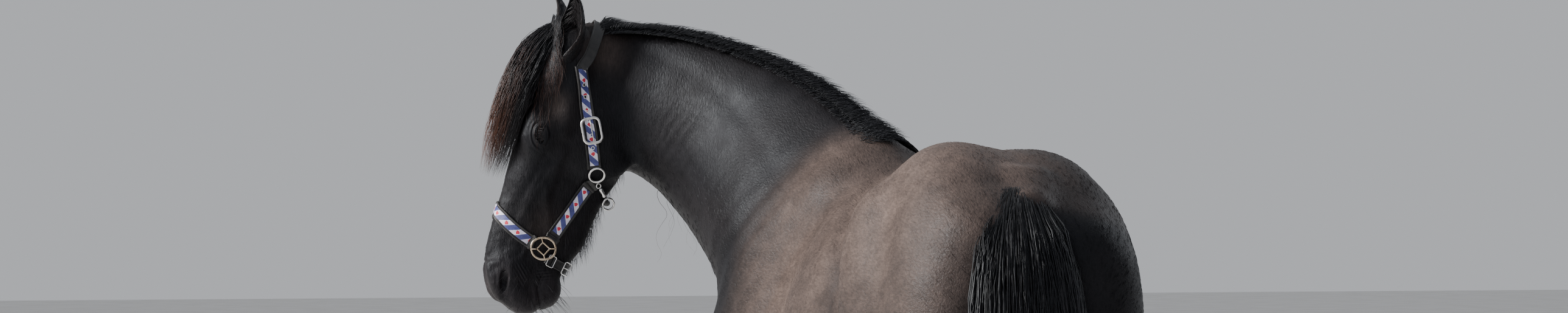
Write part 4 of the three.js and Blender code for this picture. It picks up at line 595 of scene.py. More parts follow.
def split(V, F, mark):
    """Splits the marked triangles in four; their neighbours are split to match."""
    a, b, inv = edges_of(F)
    em = np.zeros(len(a), bool)
    em[inv[mark].ravel()] = True
    new = np.full(len(a), -1, np.int64)
    new[em] = len(V) + np.arange(em.sum())
    V = np.concatenate([V, (V[a[em]] + V[b[em]]) / 2])
    m = new[inv]
    k = (m >= 0).sum(1)
    out = [F[k == 0]]
    f, c = F[k == 3], m[k == 3]
    out += [np.stack(x, 1) for x in ((f[:, 0], c[:, 0], c[:, 2]), (c[:, 0], f[:, 1], c[:, 1]), (c[:, 2], c[:, 1], f[:, 2]), (c[:, 0], c[:, 1], c[:, 2]))]
    for count in (1, 2):
        f, c = F[k == count], m[k == count]
        for r in range(3):
            # turned so that for one marked edge it is the first, and for two the last is the unmarked one
            fr, cr = np.roll(f, -r, 1), np.roll(c, -r, 1)
            s = cr[:, 0] >= 0 if count == 1 else cr[:, 2] < 0
            fr, cr = fr[s], cr[s]
            if count == 1:
                out += [np.stack(x, 1) for x in ((fr[:, 0], cr[:, 0], fr[:, 2]), (cr[:, 0], fr[:, 1], fr[:, 2]))]
            else:
                out += [np.stack(x, 1) for x in ((fr[:, 1], cr[:, 1], cr[:, 0]), (fr[:, 0], cr[:, 0], cr[:, 1]), (fr[:, 0], cr[:, 1], fr[:, 2]))]
    return V, np.concatenate(out)

def normals(V, F):
    n = np.cross(V[F[:, 1]] - V[F[:, 0]], V[F[:, 2]] - V[F[:, 0]])
    out = np.zeros_like(V)
    for c in range(3):
        for d in range(3):
            out[:, d] += np.bincount(F[:, c], n[:, d], len(V))
    return unit(out)

def relax(V, F, w=0.5, times=2, only=None):
    a, b, _ = edges_of(F)
    deg = np.bincount(a, minlength=len(V)) + np.bincount(b, minlength=len(V))
    for _ in range(times):
        N = normals(V, F)
        s = np.stack([np.bincount(a, V[b, d], len(V)) + np.bincount(b, V[a, d], len(V)) for d in range(3)], 1)
        d = s / np.maximum(deg, 1)[:, None] - V
        d -= (d * N).sum(1)[:, None] * N
        if only is not None:
            d[~only] = 0
        V = V + w * d
    return V

def project(V, fun, times=1, limit=0.006, only=None):
    V = V.copy()
    idx = np.arange(len(V)) if only is None else np.nonzero(only)[0]
    for _ in range(times):
        P = V[idx]
        f = fun(P)
        e = 0.0006
        g = np.stack([(fun(P + np.eye(3)[d] * e) - f) / e for d in range(3)], 1)
        s = np.clip(-f / np.maximum((g * g).sum(1), 0.2), -limit, limit)
        V[idx] = P + g * s[:, None]
    return V

def make(name, V, F, mat, slot=None, uv=None, col=None, smooth=True, shift=True, uvname="OFBake", second=None):
    """A mesh object from triangles or quads; uv is per corner, col per point."""
    me = bpy.data.meshes.new(name)
    k = F.shape[1]
    # every solid's faces look outwards
    c = V.mean(0)
    vol = sum((((V[F[:, 0]] - c) * np.cross(V[F[:, i]] - c, V[F[:, i + 1]] - c)).sum() for i in range(1, k - 1)))
    if vol < 0:
        F = F[:, ::-1]
        uv = None if uv is None else uv.reshape(-1, k, 2)[:, ::-1].reshape(-1, 2)
    me.vertices.add(len(V))
    me.vertices.foreach_set("co", (V + SHIFT if shift else V).astype(np.float32).ravel())
    me.loops.add(len(F) * k)
    me.loops.foreach_set("vertex_index", F.astype(np.int32).ravel())
    me.polygons.add(len(F))
    me.polygons.foreach_set("loop_start", np.arange(0, len(F) * k, k, dtype=np.int32))
    me.update(calc_edges=True)
    me.validate()
    me.polygons.foreach_set("use_smooth", np.full(len(me.polygons), smooth, bool))
    if uv is not None:
        me.uv_layers.new(name=uvname).data.foreach_set("uv", uv.astype(np.float32).ravel())
    if second is not None:
        me.uv_layers.new(name=second[0]).data.foreach_set("uv", second[1].astype(np.float32).ravel())
    if col is not None:
        c = np.ones((len(V), 4), np.float32)
        c[:, :col.shape[1]] = col
        me.color_attributes.new("Col", "FLOAT_COLOR", "POINT").data.foreach_set("color", c.ravel())
    me.materials.append(mat)
    ob = bpy.data.objects.new(name, me)
    bpy.context.scene.collection.objects.link(ob)
    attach(ob, "root")
    return ob

def noise(P, scale, seed=0):
    """Smooth value noise between -1 and 1."""
    P = np.asarray(P) * scale + seed * 17.31
    i = np.floor(P).astype(np.int64)
    u = P - i
    u = u * u * (3 - 2 * u)
    out = np.zeros(len(P))
    for a in (0, 1):
        for b in (0, 1):
            for c in (0, 1):
                h = ((i[:, 0] + a) * 73856093) ^ ((i[:, 1] + b) * 19349663) ^ ((i[:, 2] + c) * 83492791)
                h = (h ^ (h >> 13)) * 1274126177 & 0x7FFFFFFF
                r = (h % 65536) / 32768.0 - 1
                out += r * (u[:, 0] if a else 1 - u[:, 0]) * (u[:, 1] if b else 1 - u[:, 1]) * (u[:, 2] if c else 1 - u[:, 2])
    return out

def hump(x, c, w):
    return np.exp(-((x - c) / w) ** 2)

def chain(p, pts, r0, r1=None):
    """Distance to a rounded rod that follows several points."""
    d = None
    n = len(pts) - 1
    r1 = r0 if r1 is None else r1
    for i in range(n):
        a, b = r0 + (r1 - r0) * i / n, r0 + (r1 - r0) * (i + 1) / n
        e = rod(p, pts[i], pts[i + 1], a, b)
        d = e if d is None else np.minimum(d, e)
    return d

# ---------- the skin: the body's form, set in, with the details that the coat leaves to be seen ----------
EYE_AT = np.array([0.264, 0.044, 0.0745])
EYE_R = 0.0205
EYE_TILT = math.radians(16)                      # the slit dips towards the nose

def eye_axes():
    c, s = math.cos(EYE_TILT), math.sin(EYE_TILT)
    return np.array([c, -s, 0.0]), np.array([s, c, 0.0]), np.array([0.0, 0.0, 1.0])

def face_details(q, f):
    """Lids, nostrils, mouth, folds and veins, in the head's own frame."""
    a, fr, l = q.T
    m = np.stack([a, fr, np.abs(l)], 1)
    # lids round the eyeball, with the slit between them
    e = m - EYE_AT
    X, Y, Z = (e @ v for v in eye_axes())
    r3 = np.sqrt((e * e).sum(1))
    f = smin(f, r3 - (EYE_R + 0.0042), 0.010)
    round_eye = np.sqrt(X * X * 0.62 + (Y * 1.15) ** 2)
    f = f + 0.0022 * hump(round_eye, 0.0235, 0.0028) * (Z > -0.01) * (0.35 + 0.65 * ramp(Y / 0.012 + 0.4))
    f = f - 0.0016 * hump(round_eye, 0.0185, 0.0030) * (Z > -0.01)
    f = f + 0.0012 * hump(round_eye, 0.0320, 0.0026) * ramp(Y / 0.02) * (Z > -0.02)
    bow = 0.30 * X * X / 0.02
    slit = np.maximum((np.abs(Y - 0.0015 + bow * 0.4) - 0.0092 * np.sqrt(np.clip(1 - (X / 0.0188) ** 2, 0, 1))), np.abs(X) - 0.0188)
    slit = np.maximum(slit, 0.004 - Z)
    f = smax(f, -slit, 0.0022)
    # nostril: a comma-shaped opening with a raised outer rim and the fold inside
    f = smin(f, chain(m, [(0.585, 0.074, 0.030), (0.572, 0.054, 0.041), (0.580, 0.026, 0.047), (0.606, 0.008, 0.047), (0.642, 0.002, 0.040)], 0.0080, 0.0072), 0.010)
    f = smin(f, chain(m, [(0.596, 0.070, 0.034), (0.622, 0.056, 0.042), (0.648, 0.034, 0.040)], 0.0075, 0.0070), 0.010)
    w = m - [0.611, 0.036, 0.062]
    c_, s_ = math.cos(0.42), math.sin(0.42)
    u_, v_ = w[:, 0] * c_ - w[:, 1] * s_, w[:, 0] * s_ + w[:, 1] * c_
    v_ = v_ - 0.0045 * np.sin(np.clip(u_ / 0.028, -1, 1) * 1.6)
    cut = (np.sqrt((u_ / 0.0270) ** 2 + (v_ / 0.0115) ** 2 + (w[:, 2] / 0.0190) ** 2) - 1) * 0.0115
    f = smax(f, -cut, 0.0045)
    # mouth, with lips that roll in, and the corner's folds
    line = -0.050 - 0.010 * ramp((a - 0.60) / 0.06) + 0.004 * np.sin((a - 0.575) * 60)
    gap = np.maximum(np.maximum(np.abs(fr - line) - 0.0016, -(f + 0.009)), 0.577 - a)
    f = smax(f, -gap, 0.005)
    lip = hump(fr, line + 0.010, 0.006) * 0.0016 + hump(fr, line - 0.010, 0.006) * 0.0014
    f = f - lip * ramp((a - 0.57) / 0.03)
    side = ramp((np.abs(l) - 0.015) / 0.02)
    crow = hump(a, 0.560, 0.022) * hump(fr, -0.045, 0.030) * side
    f = f + 0.0013 * crow * np.sin((a * 0.95 - fr * 0.35) * 900)
    wr = hump(a, 0.578, 0.026) * hump(fr, -0.014, 0.026) * side
    f = f + 0.0011 * wr * np.sin((a * 0.75 + fr * 0.75) * 820)
    # chin groove, whisker bumps
    f = f + 0.004 * hump(a, 0.572, 0.010) * hump(fr, -0.100, 0.016)
    bump = noise(q, 260.0, 3)
    f = f - 0.0005 * np.clip(bump, 0, 1) * hump(a, 0.640, 0.030)
    # veins and the nerve's ridge below the facial crest, and hollows above the nostril
    v = chain(m, [(0.300, -0.020, 0.078), (0.360, 0.006, 0.066), (0.430, 0.026, 0.052), (0.485, 0.040, 0.045)], 0.0022)
    v2 = chain(m, [(0.372, 0.004, 0.064), (0.420, -0.018, 0.060), (0.462, -0.032, 0.050), (0.520, -0.030, 0.048)], 0.0020)
    v3 = chain(m, [(0.440, 0.024, 0.050), (0.470, 0.006, 0.052), (0.520, 0.004, 0.050), (0.560, 0.012, 0.048)], 0.0018)
    vv = np.minimum(np.minimum(v, v2), v3)
    f = f - 0.0020 * np.exp(-np.clip(vv, 0, 1) ** 2 / 0.0045**2)
    f = f + 0.0020 * hump(a, 0.455, 0.055) * hump(fr, 0.050, 0.014) * side
    # the crease behind the cheek, and the soft unevenness of bone and muscle under thin skin
    cr = chain(m, [(0.125, -0.150, 0.062), (0.185, -0.188, 0.055), (0.250, -0.196, 0.050), (0.310, -0.176, 0.042)], 0.0)
    f = f + 0.0050 * np.exp(-(cr / 0.011) ** 2)
    f = f - 0.0013 * noise(q * [0.6, 1.0, 1.0], 42.0, 9) * ramp((a - 0.28) / 0.06) - 0.0006 * noise(q, 90.0, 10) * ramp((a - 0.28) / 0.06)
    f = f + 0.0022 * np.exp(-(chain(m, [(0.305, 0.020, 0.080), (0.350, 0.030, 0.068), (0.410, 0.042, 0.054)], 0.0) / 0.008) ** 2)
    return f

def folds(p, s, f):
    """Folds of loose skin at the shoulder, neck base and flank, which the turned neck presses together."""
    x, y, z = s.T
    left = ramp((y - 0.02) / 0.10)
    # along the neck's base and over the shoulder: they run down and forward
    w = hump(x, 0.50, 0.20) * hump(z, 1.26, 0.20) * left
    t = x * 0.80 + (z - 1.2) * 0.60 + 0.012 * noise(p, 9.0, 1)
    f = f + 0.0030 * w * np.sin(t * 105) * (0.6 + 0.4 * noise(p, 6.0, 2))
    # flank
    w = hump(x, -0.19, 0.045) * hump(z, 1.02, 0.17) * left
    f = f + 0.0055 * w * np.sin((x - 0.10 * (z - 1.0)) * 120 + 0.8)
    # the left hip stands out over the loin and flank behind it
    hip = chain(p, [(0.335, -0.002, 1.56), (0.270, 0.055, 1.535), (0.215, 0.115, 1.500), (0.165, 0.160, 1.466), (0.085, 0.205, 1.425), (-0.010, 0.243, 1.385), (-0.080, 0.266, 1.342), (-0.150, 0.285, 1.295), (-0.235, 0.300, 1.255)], 0.0)
    f = f + 0.0240 * np.exp(-(hip / 0.026) ** 2) * ramp((0.33 - x) / 0.12)
    # a soft unevenness of muscle
    f = f + 0.0022 * noise(p, 7.0, 4) + 0.0009 * noise(p, 19.0, 5)
    return f

def neck_folds(p, f):
    m = (p[:, 0] > 0.35) & (p[:, 0] < 1.10) & (p[:, 2] > 1.0) & (p[:, 1] < 0.62)
    if m.any():
        t, val = neck_frame(p[m])
        C, S, U = val("C", t), val("S", t), val("U", t)
        e = p[m] - C
        u, v = (e * S).sum(1), (e * U).sum(1)
        left = ramp(np.sign(S[:, 1]) * u / 0.05 + 0.2)
        along = ramp((t - 14) / 20) * ramp((86 - t) / 16)
        tt = t + 40 * v + 1.6 * noise(p[m], 12.0, 6)
        fine = 0.00032 * np.sin(tt * 2.3 + 2.2 * noise(p[m], 26.0, 8)) * np.clip(0.2 + noise(p[m], 8.0, 7), 0, 1) * left * along
        f[m] = f[m] + fine
        # the deep groove where the crest's fat lies on the neck muscle, and the jugular line
        f[m] = f[m] + 0.0015 * hump(v, 0.52 * 0.30, 0.020) * left * along
        f[m] = f[m] + 0.0025 * hump(v, -0.085, 0.020) * left * ramp((t - 30) / 20) * ramp((84 - t) / 10)
    return f

def skin(p):
    f = body(p) + SKIN_IN
    f = folds(p, unbend(p), f)
    f = neck_folds(p, f)
    q = to_head(p)
    m = (q[:, 0] > 0.14) & (q[:, 0] < 0.72) & (np.abs(q[:, 2]) < 0.14) & (q[:, 1] > -0.22) & (q[:, 1] < 0.14)
    if m.any():
        f[m] = face_details(q[m], f[m])
    return f

def skin_rough(p):
    return body(p) + SKIN_IN

# ---------- markings, with painted sunlight and shade: one rule for skin and coat ---
BLACK = np.array([0.0052, 0.0050, 0.0062])
# brown dust colour, laid on partly as painted sunlight
DUST_AND_SUNLIGHT = np.array([0.108, 0.078, 0.067])
RUST = np.array([0.150, 0.050, 0.020])

def coat_colour(P, N):
    """Near-black, with dry brown dust on the back, rump, flanks and shoulder; the dust is laid on thicker on upward
    faces and on the left side as painted sunlight, and taken off the right of the rump and round the tail root as
    painted shade.
    """
    s = unbend(P)
    x, y, z = s.T
    up = N[:, 2]
    n1 = 0.5 + 0.5 * noise(P * [1.0, 1.0, 1.0], 5.0, 11)
    n2 = 0.5 + 0.5 * noise(P * [0.5, 1.0, 1.0], 22.0, 12)
    n3 = 0.5 + 0.5 * noise(P * [0.35, 1.2, 1.2], 60.0, 13)
    # painted sunlight: upward faces and the left side take more of the dust colour
    lit = ramp((up + 0.35) / 0.9)
    left = ramp((y + 0.10) / 0.16)
    # rump and croup, down the left thigh; thicker on the left side and on upward faces as painted sunlight
    rump = ramp((-0.02 - x) / 0.20) * ramp((z - 0.92) / 0.22) * (0.25 + 0.75 * left) * (0.30 + 0.70 * lit)
    # painted shade: the darker patch round the root of the tail and on the right cheek of the rump, where tail and rump
    # shade the coat
    rump = rump * (1 - 0.80 * hump(y, -0.16, 0.17) * ramp((1.46 - z) / 0.05) * ramp((-0.50 - x) / 0.06))
    rump = rump * (1 - 0.75 * np.exp(-((y - 0.02) / 0.12) ** 2 - ((z - 1.34) / 0.13) ** 2) * ramp((-0.55 - x) / 0.08))
    # painted shade: the dust is taken off the right side of the rump below the croup
    shade = ramp((0.015 + 0.02 * noise(P, 14.0, 21) - y) / 0.030) * ramp((1.470 + 0.03 * noise(P, 9.0, 22) - z) / 0.040) * ramp((-0.36 - x) / 0.08)
    rump = rump * (1 - 0.88 * shade)
    # back, flank, shoulder, thicker on the left side as painted sunlight
    side = ramp((x + 0.20) / 0.20) * ramp((0.80 - x) / 0.20) * ramp((z - 0.86) / 0.20) * ramp((1.66 - z) / 0.10) * (0.35 + 0.55 * left)
    # dusty streaks on the shoulder and the root of the neck, on the left side only, partly painted sunlight
    low_neck = hump(P[:, 0], 0.50, 0.16) * ramp((1.50 - z) / 0.14) * ramp((z - 0.98) / 0.14) * left
    d = np.maximum(np.maximum(rump, side * 0.95), low_neck * (0.55 + 0.45 * noise(P * [1.4, 1.0, 0.5], 16.0, 17)))
    # it fades out up the neck
    neck_fade = 1 - ramp((P[:, 0] - 0.42 + 0.25 * (z - 1.30)) / 0.20) * ramp((z - 1.04) / 0.16)
    d = d * neck_fade
    d = d * (0.50 + 0.62 * n1) * (0.78 + 0.30 * n2) * (0.88 + 0.2 * n3)
    q = to_head(P)
    head_on = (q[:, 0] > -0.1) & (q[:, 0] < 0.75) & (np.abs(q[:, 2]) < 0.18) & (q[:, 1] > -0.26)
    brow = hump(q[:, 0], 0.190, 0.035) * hump(q[:, 1], 0.030, 0.030) * 0.25
    poll = hump(q[:, 0], 0.03, 0.05) * hump(q[:, 1], -0.05, 0.05) * 0.30
    cheek = hump(q[:, 0], 0.47, 0.05) * hump(q[:, 1], -0.02, 0.04) * 0.16
    d = np.where(head_on, brow + poll + cheek, d)
    d = np.clip(d, 0, 1)[:, None]
    c = BLACK * (0.75 + 0.5 * n2)[:, None] * (1 - d) + DUST_AND_SUNLIGHT * d
    # faint warm tint where the coat is thin
    warm = (0.5 + 0.5 * noise(P, 9.0, 14))[:, None] * np.array([0.0028, 0.0014, 0.0006])
    return c + warm

# ---------- the atlas: where a place on the skin lies on its unwrap ----------
def part_of(P):
    """0 trunk, 1 neck, 2 head, 3 to 6 legs."""
    q = to_head(P)
    s = unbend(P)
    part = np.zeros(len(P), int)
    neckish = (P[:, 0] > 0.62) & (P[:, 2] > 1.02) & (P[:, 1] > -0.02)
    part[neckish] = 1
    part[(q[:, 0] > -0.09) & (q[:, 0] < 0.75) & (np.abs(q[:, 2]) < 0.17) & (q[:, 1] > -0.23) & (q[:, 1] + 0.6 * np.minimum(q[:, 0], 0.16) > -0.085)] = 2
    low = s[:, 2] < 0.86
    part[low & (s[:, 0] > 0.2) & (s[:, 1] > 0)] = 3
    part[low & (s[:, 0] > 0.2) & (s[:, 1] <= 0)] = 4
    part[low & (s[:, 0] < -0.25) & (s[:, 1] > 0)] = 5
    part[low & (s[:, 0] < -0.25) & (s[:, 1] <= 0)] = 6
    return part

def atlas(P, part):
    uv = np.zeros((len(P), 2))
    s = unbend(P)
    q = to_head(P)
    tau = 2 * math.pi
    for k in range(7):
        m = part == k
        if not m.any():
            continue
        if k == 0:
            h = np.clip((s[m, 0] + 0.85) / 1.75, 0, 1)
            w = np.arctan2(s[m, 1], s[m, 2] - 1.17) / tau + 0.5
            box = (0.01, 0.01, 0.98, 0.47)
        elif k == 1:
            t, val = neck_frame(P[m])
            e = P[m] - val("C", t)
            h = t / 96
            w = np.arctan2((e * val("S", t)).sum(1), (e * val("U", t)).sum(1)) / tau + 0.5
            box = (0.01, 0.50, 0.42, 0.22)
        elif k == 2:
            h = (q[m, 0] + 0.10) / 0.84
            w = np.arctan2(q[m, 2], q[m, 1] + 0.03) / tau + 0.5
            box = (0.45, 0.50, 0.54, 0.48)
        else:
            cx = at(T_FORE if k < 5 else T_HIND, s[m, 2])[0]
            h = np.clip(s[m, 2] / 0.87, 0, 1)
            w = np.arctan2(s[m, 1] - (0.166 if k in (3, 5) else -0.166), s[m, 0] - cx) / tau + 0.5
            box = (0.01 + 0.105 * (k - 3), 0.74, 0.095, 0.24)
        if k < 3:
            uv[m] = np.stack([box[0] + box[2] * h, box[1] + box[3] * w], 1)
        else:
            uv[m] = np.stack([box[0] + box[2] * w, box[1] + box[3] * h], 1)
    return uv, part

def corner_uv(V, F):
    """Per corner; a face that crosses an unwrap's seam is kept in one piece."""
    part = part_of(V[F].mean(1))
    uv = atlas(V[F].reshape(-1, 3), np.repeat(part, 3))[0].reshape(-1, 3, 2)
    wide = {0: (1, 0.47), 1: (1, 0.22), 2: (1, 0.48), 3: (0, 0.095), 4: (0, 0.095), 5: (0, 0.095), 6: (0, 0.095)}
    for k, (ax, size) in wide.items():
        m = part == k
        u = uv[m][:, :, ax]
        jump = (u.max(1) - u.min(1)) > size * 0.5
        u = np.where(jump[:, None] & (u < u.max(1, keepdims=True) - size * 0.5), u + size, u)
        t = uv[m]
        t[:, :, ax] = u
        uv[m] = t
    return uv.reshape(-1, 2)

# ---------- the skin's mesh ----------
def grid_line(a, b, step):
    n = int(math.ceil((b - a) / step / 4)) * 4
    return a + step * np.arange(n + 1)

CELL = 0.0125
GX, GY, GZ = grid_line(-0.92, 1.20, CELL), grid_line(-0.40, 0.88, CELL), grid_line(0.045, 1.92, CELL)
FIELD = near_grid(skin_rough, GX, GY, GZ)
SV, SQ = nets(FIELD, GX, GY, GZ)
SF = np.concatenate([SQ[:, [0, 1, 2]], SQ[:, [0, 2, 3]]])

# one piece only: anything loose is dropped
def biggest_piece(V, F):
    lab = np.arange(len(V))
    a, b, _ = edges_of(F)
    while True:
        new = lab.copy()
        np.minimum.at(new, a, lab[b])
        np.minimum.at(new, b, lab[a])
        new = new[new]
        if (new == lab).all():
            break
        lab = new
    root = np.bincount(lab[F[:, 0]]).argmax()
    F = F[lab[F[:, 0]] == root]
    used = np.unique(F)
    remap = np.full(len(V), -1)
    remap[used] = np.arange(len(used))
    return V[used], remap[F]

SV, SF = biggest_piece(SV, SF)
SV = relax(SV, SF, 0.5, 2)
SV = project(SV, skin_rough, 1)

def in_head(P, a0, a1, wide, f0, f1):
    q = to_head(P)
    return (q[:, 0] > a0) & (q[:, 0] < a1) & (np.abs(q[:, 2]) < wide) & (q[:, 1] > f0) & (q[:, 1] < f1)

mid = SV[SF].mean(1)
SV, SF = split(SV, SF, in_head(mid, -0.08, 0.75, 0.16, -0.26, 0.16))
SV = project(relax(SV, SF, 0.5, 2), skin_rough, 1, only=in_head(SV, -0.12, 0.80, 0.20, -0.30, 0.20))
mid = SV[SF].mean(1)
fine = in_head(mid, 0.525, 0.75, 0.16, -0.16, 0.12)
q = to_head(mid)
q[:, 2] = np.abs(q[:, 2])
fine |= np.linalg.norm(q - (EYE_AT + [0, 0, 0.012]), axis=1) < 0.050
SV, SF = split(SV, SF, fine)
mid = SV[SF].mean(1)
q = to_head(mid)
q[:, 2] = np.abs(q[:, 2])
fine = np.linalg.norm((q - (EYE_AT + [0, 0, 0.018])) * [1, 1.1, 1], axis=1) < 0.030
fine |= np.linalg.norm((q - [0.611, 0.036, 0.048]) * [0.85, 1, 1], axis=1) < 0.048
fine |= (np.abs(q[:, 1] + 0.052) < 0.016) & (q[:, 0] > 0.570) & (q[:, 0] < 0.72)
SV, SF = split(SV, SF, fine)
SV = relax(SV, SF, 0.4, 1)
SV = project(SV, skin, 2)
only = in_head(SV, 0.12, 0.75, 0.16, -0.26, 0.16)
SV = project(relax(SV, SF, 0.35, 2, only=only), skin, 2, only=only)
SN = normals(SV, SF)

# ---------- materials ----------
class Nodes:
    def __init__(self, name):
        self.m = bpy.data.materials.new(name)
        self.m.use_nodes = True
        self.t = self.m.node_tree
        self.t.nodes.clear()
        self.out = self.t.nodes.new("ShaderNodeOutputMaterial")
        self.b = self.t.nodes.new("ShaderNodeBsdfPrincipled")
        self.t.links.new(self.b.outputs[0], self.out.inputs[0])
    def new(self, kind, **kw):
        n = self.t.nodes.new("ShaderNode" + kind)
        for k, v in kw.items():
            setattr(n, k, v)
        return n
    def put(self, socket, value):
        if isinstance(value, bpy.types.NodeSocket):
            self.t.links.new(value, socket)
        else:
            socket.default_value = value
    def math(self, op, a, b=0.0, c=0.0, clamp=False):
        n = self.new("Math", operation=op, use_clamp=clamp)
        for i, v in enumerate((a, b, c)):
            self.put(n.inputs[i], v)
        return n.outputs[0]
    def vmul(self, v, s):
        n = self.new("VectorMath", operation="MULTIPLY")
        self.put(n.inputs[0], v)
        n.inputs[1].default_value = s
        return n.outputs[0]
    def noise(self, vec, scale, detail=3, rough=0.55, dist=0.0):
        n = self.new("TexNoise")
        self.put(n.inputs["Vector"], vec)
        n.inputs["Scale"].default_value = scale
        n.inputs["Detail"].default_value = detail
        n.inputs["Roughness"].default_value = rough
        n.inputs["Distortion"].default_value = dist
        return n.outputs[0]
    def ramp(self, x, a, b, lo=0.0, hi=1.0):
        n = self.new("MapRange", interpolation_type="SMOOTHSTEP")
        self.put(n.inputs[0], x)
        for i, v in zip((1, 2, 3, 4), (a, b, lo, hi)):
            n.inputs[i].default_value = v
        return n.outputs[0]
    def mix(self, fac, a, b, mode="MIX"):
        n = self.new("Mix", data_type="RGBA", blend_type=mode)
        self.put(n.inputs[0], fac)
        self.put(n.inputs[6], a)
        self.put(n.inputs[7], b)
        return n.outputs[2]
    def bump(self, h, strength, dist, normal=None):
        n = self.new("Bump")
        self.put(n.inputs["Height"], h)
        n.inputs["Strength"].default_value = strength
        n.inputs["Distance"].default_value = dist
        if normal is not None:
            self.put(n.inputs["Normal"], normal)
        return n.outputs[0]
    def set(self, **kw):
        for k, v in kw.items():
            self.put(self.b.inputs[k.replace("_", " ")], v)
        return self.m

def rgb(r, g, b):
    return (r, g, b, 1.0)

def coat_material():
    n = Nodes("coat")
    pos = n.new("TexCoord").outputs["Object"]
    col = n.new("VertexColor", layer_name="Col")
    # alpha of the markings says how far the hair's lie is upright, as on the legs and face
    a = n.noise(n.vmul(pos, (55.0, 260.0, 210.0)), 1.0, 4, 0.6, 0.4)
    b = n.noise(n.vmul(pos, (240.0, 240.0, 55.0)), 1.0, 4, 0.6, 0.4)
    mixn = n.new("Mix", data_type="FLOAT")
    n.put(mixn.inputs[0], col.outputs["Alpha"])
    n.put(mixn.inputs[2], a)
    n.put(mixn.inputs[3], b)
    hair = mixn.outputs[0]
    soft = n.noise(pos, 24.0, 3, 0.6)
    tone = n.math("ADD", n.math("MULTIPLY", hair, 0.55), n.math("MULTIPLY", soft, 0.35))
    base = n.mix(1.0, col.outputs["Color"], n.new("CombineColor").outputs[0], "MULTIPLY")
    cc = [x for x in n.t.nodes if x.bl_idname == "ShaderNodeCombineColor"][0]
    v = n.ramp(tone, 0.25, 0.75, 0.60, 1.45)
    for i in range(3):
        n.put(cc.inputs[i], v)
    rough = n.ramp(soft, 0.25, 0.75, 0.44, 0.56)
    nb = n.bump(soft, 0.12, 0.004)
    nb = n.bump(hair, 0.80, 0.0019, nb)
    n.set(Base_Color=base, Roughness=rough, Normal=nb)
    n.b.inputs["Specular IOR Level"].default_value = 0.13
    n.b.inputs["Specular Tint"].default_value = rgb(0.80, 0.88, 1.0)
    n.b.inputs["Sheen Weight"].default_value = 0.0
    n.b.inputs["Sheen Roughness"].default_value = 0.45
    n.b.inputs["Sheen Tint"].default_value = rgb(0.75, 0.80, 1.0)
    return n.m

def hair_material(name, rough, spec, tint):
    n = Nodes(name)
    pos = n.new("TexCoord").outputs["Object"]
    col = n.new("VertexColor", layer_name="Col")
    s = n.noise(pos, 90.0, 3, 0.6)
    cc = n.new("CombineColor")
    v = n.ramp(s, 0.3, 0.7, 0.65, 1.4)
    for i in range(3):
        n.put(cc.inputs[i], v)
    base = n.mix(1.0, col.outputs["Color"], cc.outputs[0], "MULTIPLY")
    n.set(Base_Color=base, Roughness=n.ramp(s, 0.25, 0.75, rough - 0.05, rough + 0.08), Normal=n.bump(s, 0.25, 0.0008))
    n.b.inputs["Specular IOR Level"].default_value = spec
    n.b.inputs["Specular Tint"].default_value = tint
    return n.m

M_COAT = coat_material()
M_FUZZ = hair_material("short_coat", 0.50, 0.11, rgb(0.9, 0.93, 1.0))
M_HAIR = hair_material("long_hair", 0.44, 0.20, rgb(0.85, 0.92, 1.0))

# ---------- the skin as an object ----------
def upright(P):
    q = to_head(P)
    on_head = in_head(P, 0.0, 0.75, 0.17, -0.24, 0.2)
    return np.clip(ramp((1.00 - P[:, 2]) / 0.25) + ramp((P[:, 0] - 0.55) / 0.35) + on_head, 0, 1)

SCOL = coat_colour(SV, SN)
q = to_head(SV)
qa = np.stack([q[:, 0], q[:, 1], np.abs(q[:, 2])], 1)
# painted shade: the coat is darkened inside the nostril
inside = np.exp(-np.clip(chain(qa, [(0.598, 0.041, 0.044), (0.622, 0.031, 0.044)], 0.009, 0.008), 0, 1) ** 2 / 0.005**2)
# painted shade: the coat is darkened by half round the eye
eye_ring_shade = np.exp(-(np.linalg.norm((qa - EYE_AT - [0, 0, 0.012]) * [0.8, 1.1, 1], axis=1) / 0.024) ** 4)
muzzle = ramp((q[:, 0] - 0.54) / 0.07) * in_head(SV, 0.5, 0.75, 0.16, -0.2, 0.2)
SCOL = SCOL * (1 - 0.85 * inside[:, None]) * (1 - 0.5 * eye_ring_shade[:, None])
SCOL = SCOL + (muzzle * (0.5 + 0.5 * noise(SV, 40.0, 21)))[:, None] * np.array([0.016, 0.013, 0.014])
SKIN = make("skin", SV, SF, M_COAT, "coat", uv=corner_uv(SV, SF), col=np.concatenate([SCOL, upright(SV)[:, None]], 1))
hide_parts("trunk", "neck", "head", "foreleg_left", "foreleg_right", "hindleg_left", "hindleg_right")

